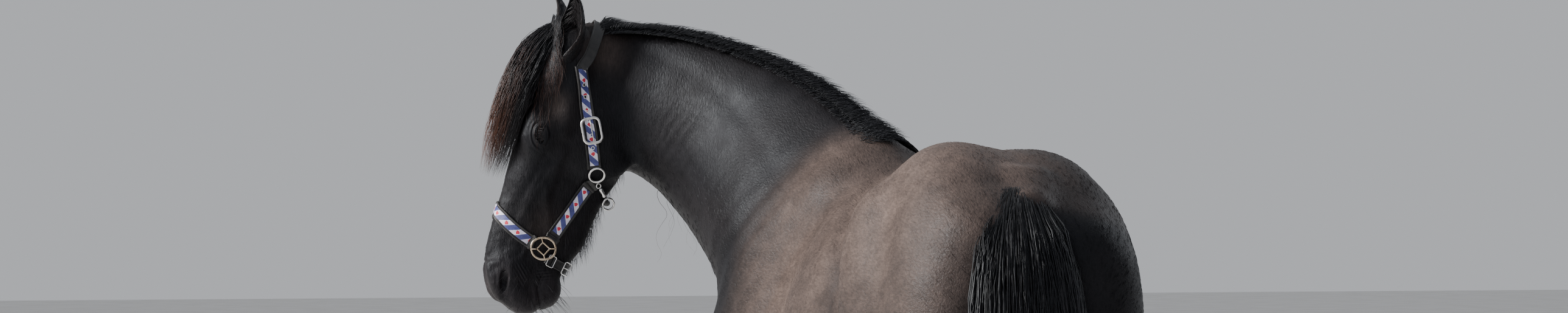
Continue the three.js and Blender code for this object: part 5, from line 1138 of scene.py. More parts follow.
# ---------- locks and tufts ----------
def locks(path, half, thick, out, root, tip, uv0, mix_at=None, spread=0.003):
    """Closed three-sided tapering locks. path (n, m, 3), half (n, m) half widths, thick (n, m), out (n, 3) or (n, m, 3)
    the side that faces away from the body, root and tip (n, 3) colours, uv0 (n, 2) the root's place on its unwrap."""
    n, m, _ = path.shape
    T = unit(np.gradient(path, axis=1))
    O = out if out.ndim == 3 else np.repeat(out[:, None, :], m, 1)
    O = unit(O - (O * T).sum(2, keepdims=True) * T)
    B = np.cross(T, O)
    k = m - 1                                         # rings; the last point is the tip
    w, h = half[:, :k, None], thick[:, :k, None]
    P, B, O = path[:, :k], B[:, :k], O[:, :k]
    ring = np.stack([P - B * w - O * h * 0.4, P + B * w - O * h * 0.4, P + O * h], 2)       # n, k, 3, 3
    V = np.concatenate([ring.reshape(n, -1, 3), path[:, -1:, :]], 1)
    nv = k * 3 + 1
    F, U = [], []
    for i in range(k - 1):
        for j in range(3):
            a, b = i * 3 + j, i * 3 + (j + 1) % 3
            c, d = a + 3, b + 3
            F += [(a, b, d), (a, d, c)]
            u0, u1, v0, v1 = j / 3, (j + 1) / 3, i / k, (i + 1) / k
            U += [((u0, v0), (u1, v0), (u1, v1)), ((u0, v0), (u1, v1), (u0, v1))]
    for j in range(3):
        F.append(((k - 1) * 3 + j, (k - 1) * 3 + (j + 1) % 3, k * 3))
        U.append(((j / 3, (k - 1) / k), ((j + 1) / 3, (k - 1) / k), ((j + 0.5) / 3, 1)))
    F.append((2, 1, 0))
    U.append(((0.4, 0), (0.6, 0), (0.5, 0.02)))
    F, U = np.array(F), np.array(U, float)
    FF = (F[None] + (np.arange(n) * nv)[:, None, None]).reshape(-1, 3)
    UU = ((U[None] - 0.5) * spread + uv0[:, None, None, :]).reshape(-1, 2)
    t = np.linspace(0, 1, m)[:k] if mix_at is None else mix_at[:k]
    t = np.concatenate([np.repeat(t, 3), [1.0]])
    C = root[:, None, :] * (1 - t[None, :, None]) + tip[:, None, :] * t[None, :, None]
    return V.reshape(-1, 3), FF, UU, C.reshape(-1, 3)

def join(parts):
    V, F, U, C = [], [], [], []
    off = 0
    for v, f, u, c in parts:
        V.append(v); F.append(f + off); U.append(u); C.append(c)
        off += len(v)
    return np.concatenate(V), np.concatenate(F), np.concatenate(U), np.concatenate(C)

def taper(m, root=0.5, full=0.25, tip=0.15):
    t = np.linspace(0, 1, m)
    return np.where(t < full, root + (1 - root) * ramp(t / full), 1 - (1 - tip) * ramp((t - full) / (1 - full)) ** 1.3)

def wavy(n, m, length, wave, amp, seed):
    """Two sideways offsets (n, m) that grow from the root, for softly waved hair."""
    r = np.random.default_rng(seed)
    s = np.linspace(0, 1, m)[None] * length[:, None]
    a = r.uniform(0, 6.28, (n, 1)); b = r.uniform(0, 6.28, (n, 1))
    w1 = wave * r.uniform(0.75, 1.3, (n, 1)); w2 = wave * r.uniform(1.4, 2.3, (n, 1))
    grow = ramp(s / (0.25 * length[:, None] + 0.02))
    x = amp * grow * (0.7 * (np.sin(6.283 * s / w1 + a) - np.sin(a) * (1 - grow)) + 0.5 * np.sin(6.283 * s / w2 + b))
    y = amp * grow * (0.7 * (np.cos(6.283 * s / w1 + b) - np.cos(b) * (1 - grow)) + 0.5 * np.sin(6.283 * s / w2 + a))
    return x, y

DARK = np.array([0.0075, 0.0075, 0.0088])

def shades(n, seed, low=0.6, high=1.6, warm=0.0):
    r = np.random.default_rng(seed)
    c = DARK * r.uniform(low, high, (n, 1))
    return c + warm * r.uniform(0, 1, (n, 1)) * np.array([0.010, 0.004, 0.001])

def sample(line, u):
    """Points of a polyline set (k, m, 3) at fractional row u (n)."""
    u = np.clip(u, 0, len(line) - 1.001)
    i = u.astype(int)
    w = (u - i)[:, None, None]
    return line[i] * (1 - w) + line[i + 1] * w

# --- mane ---
MANE_LENGTH = [[0.0, 0.24], [0.12, 0.36], [0.3, 0.46], [0.5, 0.45], [0.7, 0.36], [0.86, 0.27], [1.0, 0.20]]
T_MANE = lookup(MANE_LENGTH)

def neck_at(key, t):
    t = np.clip(t, 0, NK["n"] - 1.001)
    i = t.astype(int)
    w = t - i
    a = NK[key]
    return a[i] * (1 - w)[:, None] + a[i + 1] * w[:, None]

def surface_push(p, out, lift, step=0.003, times=60):
    """Moves points along out until they are lift outside the body."""
    p = p.copy()
    todo = np.arange(len(p))
    for _ in range(times):
        f = body(p[todo])
        keep = f < lift
        todo = todo[keep]
        if not len(todo):
            break
        p[todo] += out[todo] * step
    return p

def mane_guides(k=56, steps=26):
    """Lines that start over the crest and hang down on the right, with their outward side."""
    q = np.linspace(0, 1, k)
    t = 12 + 74 * q
    S = neck_at("S", t)
    sg = np.sign(S[:, 1])[:, None]
    R = unit(np.stack([-S[:, 0], -S[:, 1], 0 * q], 1) * sg)
    U = neck_at("U", t)
    K = neck_at("C", t) + U * (NK["top"][np.clip(t.astype(int), 0, 96)])[:, None]
    Z = np.array([0, 0, 1.0])
    L = at(T_MANE, q)[0] if True else None
    pts = [K - R * 0.016 - Z * 0.004, K - R * 0.004 + Z * 0.004, K + R * 0.010 + Z * 0.004]
    s = np.full(k, 0.022)
    for i in range(steps):
        h = L * (i + 1) / steps
        todo = np.arange(k)
        for _ in range(140):
            f = body(K[todo] + R[todo] * s[todo, None] - Z * h[todo, None])
            todo = todo[f < 0.003]
            if not len(todo):
                break
            s[todo] += 0.002
        pts.append(K + R * s[:, None] - Z * h[:, None])
    line = np.stack(pts, 1)
    # even steps along each line
    out = np.empty((k, 30, 3))
    for i in range(k):
        d = np.concatenate([[0], np.cumsum(np.linalg.norm(np.diff(line[i], axis=0), axis=1))])
        u = np.linspace(0, d[-1], 30)
        for c in range(3):
            out[i, :, c] = np.interp(u, d, line[i, :, c])
    return out, R, L

MG, MR, ML = mane_guides()

def mane(name, n, m, seed, q0=0.025, q1=0.965):
    r = np.random.default_rng(seed)
    q = r.uniform(q0, q1, n)
    clump = np.round(q * 70 + r.uniform(-0.5, 0.5, n)) / 70
    g0, g1 = sample(MG, q * 55), sample(MG, np.clip(clump, 0, 1) * 55)
    R = unit(sample(MR[:, None, :], q * 55)[:, 0])
    frac = r.uniform(0.62, 1.0, n) ** 0.8
    idx = np.linspace(0, 1, m)[None] * frac[:, None] * 29
    i0 = np.minimum(idx.astype(int), 28)
    w = (idx - i0)[..., None]
    row = np.arange(n)[:, None]
    a, b = g0[row, i0] * (1 - w) + g0[row, i0 + 1] * w, g1[row, i0] * (1 - w) + g1[row, i0 + 1] * w
    t = np.linspace(0, 1, m)[None, :, None]
    P = a * (1 - 0.65 * t) + b * 0.65 * t
    depth = r.uniform(0, 1, n) ** 0.8
    # the outer layers lie over the inner ones; at the crest they start from side to side
    lift = (0.002 + 0.014 * depth[:, None] * ramp(np.linspace(0, 1, m) / 0.10)[None])[..., None]
    P = P + R[:, None, :] * lift * ramp(np.linspace(0, 1, m) / 0.2)[None, :, None]
    P[..., 2] += (0.010 * depth[:, None] * (1 - ramp(np.linspace(0, 1, m) / 0.22))[None])
    length = frac * 0.5
    x, y = wavy(n, m, length, 0.085, 0.0055, seed + 1)
    along = unit(np.stack([-R[:, 1], R[:, 0], 0 * q], 1))
    P = P + along[:, None, :] * x[..., None] + R[:, None, :] * np.abs(y)[..., None] * 0.6
    side = r.uniform(-1, 1, n)
    P[:, 0] += R * (side * 0.010)[:, None]
    P[:, 1] += R * (side * 0.006)[:, None]
    P[:, 0, 2] -= 0.006
    half = taper(m)[None] * r.uniform(0.0009, 0.0022, (n, 1))
    out = R * 0.8 + [0, 0, 0.5]
    rootc = shades(n, seed + 2, 0.7, 1.7)
    tipc = shades(n, seed + 3, 0.8, 2.2, 1.0) + (r.uniform(0, 1, (n, 1)) ** 3) * np.array([0.020, 0.008, 0.003])
    uv = np.stack([0.02 + 0.96 * q, 0.5 + 0.4 * side], 1)
    V, F, U, C = locks(P, half, half * 0.55, out, rootc, tipc, uv)
    return name, V, F, U, C

def mane_wisps(n=60, m=64, seed=43):
    """Sparse long strands of the mane that hang below the neck on the far side."""
    r = np.random.default_rng(seed)
    q = r.uniform(0.30, 0.80, n)
    g = sample(MG, q * 55)
    R = unit(sample(MR[:, None, :], q * 55)[:, 0])
    t = np.linspace(0, 1, m)[None]
    L = r.uniform(0.44, 0.66, n)
    along = unit(np.stack([-R[:, 1], R[:, 0], 0 * q], 1))
    P = np.empty((n, m, 3))
    for i in range(n):
        line = g[i]
        d = np.concatenate([[0], np.cumsum(np.linalg.norm(np.diff(line, axis=0), axis=1))])
        u = np.linspace(0.10, L[i], m)
        for c in range(3):
            P[i, :, c] = np.interp(u, d, line[:, c])
        P[i, :, 2] -= np.clip(u - d[-1], 0, None)
    x, y = wavy(n, m, L, 0.120, 0.0150, seed + 1)
    P = P + along[:, None, :] * x[..., None] + R[:, None, :] * (0.006 + np.abs(y))[..., None]
    half = taper(m)[None] * r.uniform(0.0004, 0.0009, (n, 1))
    c0 = shades(n, seed + 2, 0.8, 1.6)
    c1 = c0 + r.uniform(0.2, 1.0, (n, 1)) * np.array([0.060, 0.030, 0.016])
    V, F, U, C = locks(P, half, half * 0.6, R, c0, c1, np.stack([0.02 + 0.96 * q, r.uniform(0.3, 0.7, n)], 1))
    return "mane_wisps", V, F, U, C

# short curled roots that stand over the crest and lie on both sides of it
def crest_tufts(n, seed):
    r = np.random.default_rng(seed)
    q = r.uniform(-0.03, 0.97, n)
    t = 12 + 74 * q
    S = neck_at("S", t)
    sg = np.sign(S[:, 1])[:, None]
    R = unit(np.stack([-S[:, 0], -S[:, 1], 0 * q], 1) * sg)
    U = neck_at("U", t)
    K = neck_at("C", t) + U * (NK["top"][np.clip(t.astype(int), 0, 96)])[:, None]
    along = unit(np.gradient(NK["C"], axis=0))[np.clip(t.astype(int), 0, 96)]
    left = -0.050 + 0.064 * r.uniform(0, 1, n) ** 0.6
    root = K + R * left[:, None] - U * 0.006
    root = surface_push(root - U * 0.010, U, -0.002, 0.002)
    m = 6
    s = np.linspace(0, 1, m)[None, :, None]
    L = (r.uniform(0.024, 0.056, n) * (0.40 + 0.60 * ramp((left + 0.050) / 0.034)))[:, None, None]
    lean = -along * 0.55 + r.normal(0, 0.30, (n, 1)) * along + R * 0.55
    up = unit(U * 1.0 + lean)
    fall = unit(R * 0.9 - along * 0.6 - U * 0.1)
    P = root[:, None, :] + up[:, None, :] * L * s * (1 - 0.45 * s) + fall[:, None, :] * L * s * s * 0.75
    x, y = wavy(n, m, L[:, 0, 0], 0.030, 0.0030, seed + 1)
    P = P + along[:, None, :] * x[..., None] + R[:, None, :] * y[..., None]
    half = taper(m)[None] * r.uniform(0.0005, 0.0012, (n, 1))
    c = shades(n, seed + 2, 0.7, 2.0)
    uv = np.stack([0.02 + 0.96 * np.clip(q, 0, 1), 0.5 + left * 8], 1)
    return locks(P, half, half * 0.5, U, c, c * 1.4, uv)

def add_hair(name, V, F, U, C, slot="hair", mat=None, inside=None):
    ob = make(name, V, F, mat or M_HAIR, slot, uv=U, col=C)
    return ob

N_MANE = 2600
ma = mane("mane_over", N_MANE, 12, 31)
OB = add_hair(*ma)
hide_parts("mane")
mb = mane("mane_under", N_MANE // 3, 12, 41)
ct = crest_tufts(4700, 51)
add_hair("mane_crest", *ct)
add_hair(*mb)
add_hair(*mane_wisps())

# --- tail ---
TAIL = [
    [1.492, -0.660, 0.034, 0.034, 0.026], [1.462, -0.712, 0.044, 0.064, 0.036], [1.430, -0.745, 0.052, 0.090, 0.042],
    [1.374, -0.785, 0.058, 0.100, 0.052], [1.315, -0.815, 0.062, 0.114, 0.058], [1.225, -0.842, 0.066, 0.123, 0.062], [1.080, -0.862, 0.070, 0.136, 0.068],
    [0.900, -0.872, 0.070, 0.136, 0.074], [0.700, -0.874, 0.068, 0.122, 0.074], [0.500, -0.868, 0.064, 0.100, 0.064],
    [0.330, -0.862, 0.060, 0.076, 0.050], [0.200, -0.858, 0.058, 0.048, 0.034], [0.130, -0.857, 0.058, 0.020, 0.016],
]
T_TAIL = lookup(TAIL)

def tail(name, n, m, seed):
    r = np.random.default_rng(seed)
    th = r.uniform(0, 2 * math.pi, n)
    rad = r.uniform(0.12, 1.0, n) ** 0.6
    z0 = 1.484 - 0.22 * r.uniform(0, 1, n) ** 1.2       # roots down the dock
    z1 = np.minimum(0.125 + 0.50 * r.uniform(0, 1, n) ** 1.7 + 0.12 * (1 - rad), z0 - 0.3)
    t = np.linspace(0, 1, m)[None]
    z = z0[:, None] + (z1 - z0)[:, None] * t
    x, y, w, d = (v.reshape(n, m) for v in at(T_TAIL, z.ravel()))
    # near the root the hair leaves the dock and spreads out to its own place in the mass
    open_ = ramp((z0[:, None] - z) / 0.07)
    rr = rad[:, None] * (0.78 + 0.22 * open_)
    k = np.round(th * 9 + r.uniform(-0.5, 0.5, n)) / 9
    ang = th[:, None] * (1 - 0.5 * t) + k[:, None] * 0.5 * t
    wx, wy = wavy(n, m, z0 - z1, 0.16, 0.0075, seed + 1)
    P = np.stack([x + np.cos(ang) * rr * d * 0.96 + wx * 0.7, y + np.sin(ang) * rr * w * 0.97 + wy, z], 2)
    # never outside the mass, and never in the hindquarters
    e = np.sqrt(((P[..., 0] - x) / d) ** 2 + ((P[..., 1] - y) / w) ** 2)
    sc = np.where(e > 1, 1 / e, 1)
    P[..., 0] = x + (P[..., 0] - x) * sc
    P[..., 1] = y + (P[..., 1] - y) * sc
    body_side = P[:, 1:].reshape(-1, 3)
    P[:, 1:] = surface_push(body_side, np.repeat([[-1.0, 0, 0]], len(body_side), 0), 0.002, 0.004, 30).reshape(n, m - 1, 3)
    half = taper(m, 0.5, 0.2, 0.2)[None] * r.uniform(0.0010, 0.0026, (n, 1))
    out = np.stack([np.cos(th), np.sin(th), 0.1 + 0 * th], 1)
    c0 = shades(n, seed + 2, 0.7, 1.5)
    c1 = shades(n, seed + 3, 0.9, 2.2, 0.8)
    uv = np.stack([0.03 + 0.94 * (z0 - 1.25) / 0.25, 0.02 + 0.96 * th / (2 * math.pi)], 1)
    V, F, U, C = locks(P, half, half * 0.6, out, c0, c1, uv)
    return name, V, F, U, C

N_TAIL = 1950
ob = add_hair(*tail("tail_outer", N_TAIL, 13, 61))
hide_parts("tail")
add_hair(*tail("tail_inner", N_TAIL, 13, 71))

# --- forelock ---
FORELOCK = [
    [-0.050, 0.006, 0.000, 0.022, 0.018], [-0.020, 0.044, 0.000, 0.042, 0.030], [0.040, 0.084, 0.004, 0.052, 0.036], [0.110, 0.108, 0.014, 0.064, 0.040],
    [0.180, 0.119, 0.022, 0.068, 0.041], [0.250, 0.122, 0.018, 0.058, 0.042], [0.320, 0.121, 0.009, 0.044, 0.040], [0.390, 0.123, 0.002, 0.020, 0.028],
]
T_LOCK = lookup(FORELOCK)

def forelock(n, m, seed):
    r = np.random.default_rng(seed)
    th = r.uniform(0, 2 * math.pi, n)
    rad = r.uniform(0.02, 1.0, n) ** 0.55
    a0 = -0.016 + 0.056 * r.uniform(0, 1, n)
    a1 = 0.390 - 0.25 * r.uniform(0, 1, n) ** 1.3
    t = np.linspace(0, 1, m)[None]
    a = a0[:, None] + (a1 - a0)[:, None] * t
    f, l, w, d = (v.reshape(n, m) for v in at(T_LOCK, a.ravel()))
    k = np.round(th * 5 + r.uniform(-0.5, 0.5, n)) / 5
    ang = th[:, None] * (1 - 0.55 * t) + k[:, None] * 0.55 * t
    open_ = ramp((a - a0[:, None]) / 0.05)
    rr = rad[:, None] * (0.45 + 0.55 * open_)
    wx, wy = wavy(n, m, (a1 - a0), 0.10, 0.0065, seed + 1)
    c, s = np.cos(ang), np.sin(ang)
    Q = np.stack([a, f + c * rr * d + wx * 0.6 - (s * rr) ** 2 * 0.012, l + s * rr * w * 0.97 + wy], 2)
    Q[:, 0, 1] -= 0.005
    P = from_head(Q.reshape(-1, 3))
    P = surface_push(P, np.repeat(HEAD_F[None], len(P), 0), 0.001, 0.002, 30).reshape(n, m, 3)
    P[:, 0] -= HEAD_F * 0.006
    half = taper(m, 0.5, 0.2, 0.12)[None] * r.uniform(0.0006, 0.0014, (n, 1))
    out = HEAD_F * np.cos(th)[:, None] + HEAD_L * np.sin(th)[:, None]
    c0 = shades(n, seed + 2, 0.8, 1.8)
    front = ramp((np.cos(th) * rad + 0.1) / 0.9)[:, None]
    c1 = shades(n, seed + 3, 0.9, 2.0, 1.0) * (1 - front * 0.6) + front * RUST * r.uniform(0.25, 1.0, (n, 1))
    uv = np.stack([0.05 + 0.9 * (a0 + 0.045) / 0.085, 0.5 + 0.45 * np.sin(th) * rad], 1)
    return locks(P, half, half * 0.6, out, c0, c1, uv, mix_at=np.linspace(0, 1, m) ** 2.2)

def eye_strands(n, m, seed):
    """Thin strands that hang beside the brow and over the near eye."""
    r = np.random.default_rng(seed)
    k = r.uniform(0, 1, n)
    a0 = -0.02 + 0.08 * r.uniform(0, 1, n)
    l0 = 0.004 + 0.062 * k
    a1 = np.where(r.uniform(0, 1, n) < 0.06, r.uniform(0.22, 0.320, n), 0.11 + 0.080 * r.uniform(0, 1, n))
    l1 = 0.045 + 0.052 * k + r.normal(0, 0.008, n)
    t = np.linspace(0, 1, m)[None]
    a = a0[:, None] + (a1 - a0)[:, None] * t
    l = l0[:, None] + (l1 - l0)[:, None] * t ** 0.8
    f = 0.075 - 0.030 * t - 0.25 * (l - 0.03)
    wx, wy = wavy(n, m, a1 - a0, 0.095, 0.0060, seed + 1)
    P = from_head(np.stack([a + wx * 0.5, f + wy, l + wx], 2).reshape(-1, 3))
    dirn = unit(HEAD_F * 0.5 + HEAD_L * 0.85)
    P = surface_push(P, np.repeat(dirn[None], len(P), 0), 0.003, 0.002, 40).reshape(n, m, 3)
    P[:, 0] -= dirn * 0.008
    half = taper(m, 0.6, 0.2, 0.15)[None] * r.uniform(0.0004, 0.0011, (n, 1))
    c0 = shades(n, seed + 2, 0.9, 2.0)
    c1 = shades(n, seed + 3, 1.0, 2.3, 0.7) + RUST * r.uniform(0, 1, (n, 1)) ** 3 * 0.4
    uv = np.stack([0.05 + 0.9 * (a0 + 0.045) / 0.16, 0.05 + l0], 1)
    return locks(P, half, half * 0.6, np.repeat(dirn[None], n, 0), c0, c1, uv)

fl = join([forelock(1500, 13, 81), eye_strands(420, 15, 85)])
ob = add_hair("forelock_hair", *fl)
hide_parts("forelock")

# ---------- ears ----------
EAR_WIDTH = [[0, 0.015], [0.09, 0.027], [0.22, 0.037], [0.38, 0.0405], [0.56, 0.0360], [0.75, 0.0245], [0.90, 0.0120], [1, 0.0030]]
EARS = {
    "left": ((0.108, 0.034, 0.060), (-0.088, 0.043, 0.060), (0.15, 0.80, 0.60)),
    "right": ((0.106, 0.032, -0.056), (-0.080, 0.070, -0.052), (0.15, 0.95, -0.30)),
}
T_EAR = lookup(EAR_WIDTH)

def ear_points(root, tip, face, s, phi, k):
    """Points of the ear in the head's frame: s along it, phi from -1 to 1 round it, k depth inwards."""
    root, tip, face = (np.array(v, float) for v in (root, tip, face))
    L = np.linalg.norm(tip - root)
    ax = (tip - root) / L
    O = face - ax * (face @ ax)
    O /= np.linalg.norm(O)
    W = np.cross(ax, O)
    w = at(T_EAR, s)[0]
    d = w * (0.85 - 0.25 * s)
    wrap = math.radians(62) * (1 - ramp(s / 0.55)) + math.radians(6)
    bow = 0.010 * np.sin(math.pi * s)
    c = root + ax * (L * s)[:, None] - O * (bow * 0.6)[:, None]
    a = -wrap + (math.pi + 2 * wrap) * (phi + 1) / 2
    x, y = (w - k) * np.cos(a), -(d - k) * np.sin(a)
    # the rim rolls a little inwards, and the tip hooks forward
    edge = np.abs(phi) ** 6
    y = y + 0.003 * edge
    hook = 0.012 * ramp((s - 0.7) / 0.3) ** 2
    return c + W * x[:, None] + O * (y + hook)[:, None] + (W * 0)[None]

def ear(name):
    root, tip, face = EARS[name]
    n, m = 25, 30
    s = np.repeat(np.linspace(0, 0.995, m), n)
    phi = np.tile(np.linspace(-1, 1, n), m)
    th = np.minimum(0.0038, at(T_EAR, s)[0] * 0.5) * (1 - 0.55 * np.abs(phi) ** 3)
    outer = ear_points(root, tip, face, s, phi, 0.0 * s)
    inner = ear_points(root, tip, face, s, phi, th)
    V = np.concatenate([outer, inner])
    F = []
    g = lambda i, j, o: o * n * m + i * n + j
    for i in range(m - 1):
        for j in range(n - 1):
            F.append((g(i, j, 0), g(i, j + 1, 0), g(i + 1, j + 1, 0), g(i + 1, j, 0)))
            F.append((g(i, j, 1), g(i + 1, j, 1), g(i + 1, j + 1, 1), g(i, j + 1, 1)))
        for j, r in ((0, 0), (n - 1, 1)):
            q4 = (g(i, j, 0), g(i + 1, j, 0), g(i + 1, j, 1), g(i, j, 1))
            F.append(q4 if r == 0 else q4[::-1])
    for i, r in ((0, 0), (m - 1, 1)):
        for j in range(n - 1):
            q4 = (g(i, j, 0), g(i, j, 1), g(i, j + 1, 1), g(i, j + 1, 0))
            F.append(q4 if r == 0 else q4[::-1])
    P = from_head(V)
    F = np.array(F)
    # outward faces
    A, B, C = P[F[:, 0]], P[F[:, 1]], P[F[:, 2]]
    if (A * np.cross(B, C)).sum() < 0:
        F = F[:, ::-1]
    N = np.zeros((len(P), 3))
    col = coat_colour(P, N) * 0.9
    col[: n * m] += np.array([0.001, 0.001, 0.001])
    col[n * m:] += (1 - ramp((s - 0.1) / 0.5))[:, None] * np.array([0.004, 0.0026, 0.0022])
    rim = (np.abs(phi) > 0.86)[:, None] * np.array([0.007, 0.004, 0.0026])
    col[: n * m] += rim
    uvv = np.stack([s, (phi + 1) / 2 * 0.45], 1)
    uvv = np.concatenate([uvv, uvv + [0, 0.5]])
    uv = uvv[F].reshape(-1, 2)
    ob = make("ear_" + name + "_shell", P, F, M_COAT, "coat", uv=uv, col=np.concatenate([col, np.ones((len(P), 1))], 1))
    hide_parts("ear_" + name)
    # hair of the ear: lying on the back, long and soft inside along both rims
    tufts = []
    r = np.random.default_rng(7 if name == "left" else 8)
    ax = unit(np.array(tip, float) - np.array(root, float))
    for inside, cnt, ln in ((0, 900, 0.015), (1, 1300, 0.042)):
        ss, pp = r.uniform(0.02, 0.97, cnt), r.uniform(-1, 1, cnt)
        if inside:
            pp = np.sign(pp) * (0.30 + 0.70 * np.abs(pp)) 
            ss = 0.80 * r.uniform(0, 1, cnt) ** 2.0
        k = 0.0038 * inside + 0 * ss
        A0 = ear_points(root, tip, face, ss, pp, k)
        A1 = ear_points(root, tip, face, np.clip(ss + 0.04, 0, 1), pp, k)
        nn = unit(A0 - ear_points(root, tip, face, ss, pp, k + 0.003)) * (-1 if inside else 1)
        fwd = unit(A1 - A0)
        mid = ear_points(root, tip, face, ss, 0 * pp, 0 * ss + 0.012)
        lean = nn * (0.35 if inside else 0.12) + fwd * (0.8 if inside else 1.0) + unit(mid - A0) * (0.5 * inside)
        lean = unit(lean + r.normal(0, 0.10, (cnt, 3)))
        Lh = ln * r.uniform(0.6, 1.2, cnt) * (1 - 0.45 * ss)
        t = np.linspace(0, 1, 5)[None, :, None]
        Q = A0[:, None] - nn[:, None] * 0.0008 + lean[:, None] * Lh[:, None, None] * t + fwd[:, None] * Lh[:, None, None] * 0.25 * t * t
        P3 = from_head(Q.reshape(-1, 3)).reshape(cnt, 5, 3)
        half = taper(5)[None] * r.uniform(0.0005, 0.0010, (cnt, 1))
        c0 = shades(cnt, 90 + inside, 0.8, 1.8)
        c1 = c0 * 1.4 + inside * np.array([0.012, 0.007, 0.005]) * r.uniform(0, 1, (cnt, 1))
        tufts.append(locks(P3, half, half * 0.5, nn @ HEAD_M.T, c0, c1, np.stack([0.02 + 0.96 * ss, 0.02 + (pp + 1) / 2 * 0.45 + 0.5 * inside], 1)))
    V2, F2, U2, C2 = join(tufts)
    add_hair("ear_" + name + "_hair", V2, F2, U2, C2, "coat", M_FUZZ)

for side in ("left", "right"):
    ear(side)

# ---------- eyes ----------
def eye_material():
    n = Nodes("eye")
    pos = n.new("VertexColor", layer_name="Col")
    geo = n.new("TexCoord").outputs["Object"]
    s = n.noise(geo, 420.0, 4, 0.6)
    base = n.mix(n.ramp(s, 0.35, 0.65), rgb(0.75, 0.75, 0.75), rgb(1.25, 1.2, 1.1))
    n.set(Base_Color=n.mix(1.0, pos.outputs["Color"], base, "MULTIPLY"), Roughness=n.ramp(s, 0.2, 0.8, 0.06, 0.12))
    n.b.inputs["Specular IOR Level"].default_value = 0.6
    n.b.inputs["Coat Weight"].default_value = 1.0
    n.b.inputs["Coat Roughness"].default_value = 0.02
    return n.m

M_EYE = eye_material()
for name, s in (("left", 1), ("right", -1)):
    X, Y, Z = eye_axes()
    nu, nv = 48, 33
    ph = np.repeat(np.linspace(0, math.pi, nv), nu)
    th = np.tile(np.linspace(0, 2 * math.pi, nu, endpoint=False), nv)
    r = EYE_R * (1 + 0.045 * np.exp(-(ph / 0.55) ** 2))
    q = (X[None] * (np.sin(ph) * np.cos(th))[:, None] + Y[None] * (np.sin(ph) * np.sin(th))[:, None] + Z[None] * np.cos(ph)[:, None]) * r[:, None]
    ex, ey = (q @ X), (q @ Y)
    P = q + EYE_AT
    P[:, 2] *= s
    col = np.tile(np.array([0.020, 0.009, 0.004]), (len(P), 1))
    rad = np.sqrt(ex**2 + ey**2)
    iris = ramp((0.0145 - rad) / 0.0015)[:, None]
    col = col * iris + (1 - iris) * np.array([0.055, 0.035, 0.028])
    ring = hump(rad, 0.0148, 0.0012)[:, None]
    col = col * (1 - 0.8 * ring)
    pupil = ramp(1.15 - np.sqrt((ex / 0.0078) ** 2 + (ey / 0.0040) ** 2))[:, None]
    col = col * (1 - pupil) + pupil * np.array([0.002, 0.0022, 0.003])
    F = []
    for i in range(nv - 1):
        for j in range(nu):
            F.append((i * nu + j, (i + 1) * nu + j, (i + 1) * nu + (j + 1) % nu, i * nu + (j + 1) % nu))
    F = np.array(F)
    if s < 0:
        F = F[:, ::-1]
    PW = from_head(P)
    A, B, C = PW[F[:, 0]], PW[F[:, 1]], PW[F[:, 2]]
    uv = np.stack([th / (2 * math.pi), ph / math.pi], 1)[F].reshape(-1, 2)
    cen = PW.mean(0)
    if ((np.cross(B - A, C - A) * (A - cen)).sum(1)).sum() < 0:
        F = F[:, ::-1]
        uv = np.stack([th / (2 * math.pi), ph / math.pi], 1)[F].reshape(-1, 2)
    ob = make("eye_" + name + "_ball", PW, F, M_EYE, "eye", uv=uv, col=col)
    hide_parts("eye_" + name)

def lashes():
    r = np.random.default_rng(5)
    out = []
    X, Y, Z = eye_axes()
    for s in (1, -1):
        n = 46
        x = r.uniform(-0.016, 0.016, n)
        y = 0.0105 * np.sqrt(np.clip(1 - (x / 0.019) ** 2, 0, 1)) + 0.001
        z = np.sqrt(np.clip((EYE_R + 0.004) ** 2 - x * x - y * y, 1e-6, None))
        q = EYE_AT + X[None] * x[:, None] + Y[None] * y[:, None] + Z[None] * z[:, None]
        t = np.linspace(0, 1, 6)[None, :, None]
        d = unit(Y[None] * 0.45 + Z[None] * 0.9 + X[None] * (x * 30)[:, None] + r.normal(0, 0.12, (n, 3)))
        L = r.uniform(0.010, 0.019, n)[:, None, None]
        Q = q[:, None] + d[:, None] * L * t - Y[None, None] * L * 0.45 * t * t
        Q[..., 2] *= s
        P = from_head(Q.reshape(-1, 3)).reshape(n, 6, 3)
        half = taper(6)[None] * np.full((n, 1), 0.00045)
        c = shades(n, 6, 0.8, 1.2)
        out.append(locks(P, half, half, np.repeat(HEAD_L[None] * s, n, 0), c, c, np.stack([0.5 + x * 10, 0.3 + 0.4 * (s > 0) + 0 * x], 1)))
    return join(out)

add_hair("eyelashes", *lashes(), slot="hair")

# ---------- hooves ----------
HOOVES = {
    "front": dict(x=0.608, y=0.166, toe=0.078, heel=0.066, half=0.067),
    "hind": dict(x=-0.668, y=0.165, toe=0.075, heel=0.063, half=0.064),
}

def horn_material():
    n = Nodes("horn")
    pos = n.new("TexCoord").outputs["Object"]
    rings = n.noise(n.vmul(pos, (6.0, 6.0, 150.0)), 1.0, 3, 0.6)
    grain = n.noise(n.vmul(pos, (420.0, 420.0, 18.0)), 1.0, 3, 0.6)
    c = n.mix(n.ramp(rings, 0.3, 0.7), rgb(0.030, 0.025, 0.022), rgb(0.075, 0.062, 0.050))
    c = n.mix(n.ramp(grain, 0.35, 0.7, 0.0, 0.5), c, rgb(0.016, 0.014, 0.013))
    h = n.math("ADD", n.math("MULTIPLY", rings, 0.8), n.math("MULTIPLY", grain, 0.3))
    n.set(Base_Color=c, Roughness=n.ramp(grain, 0.3, 0.7, 0.42, 0.62), Normal=n.bump(h, 0.5, 0.0015))
    return n.m

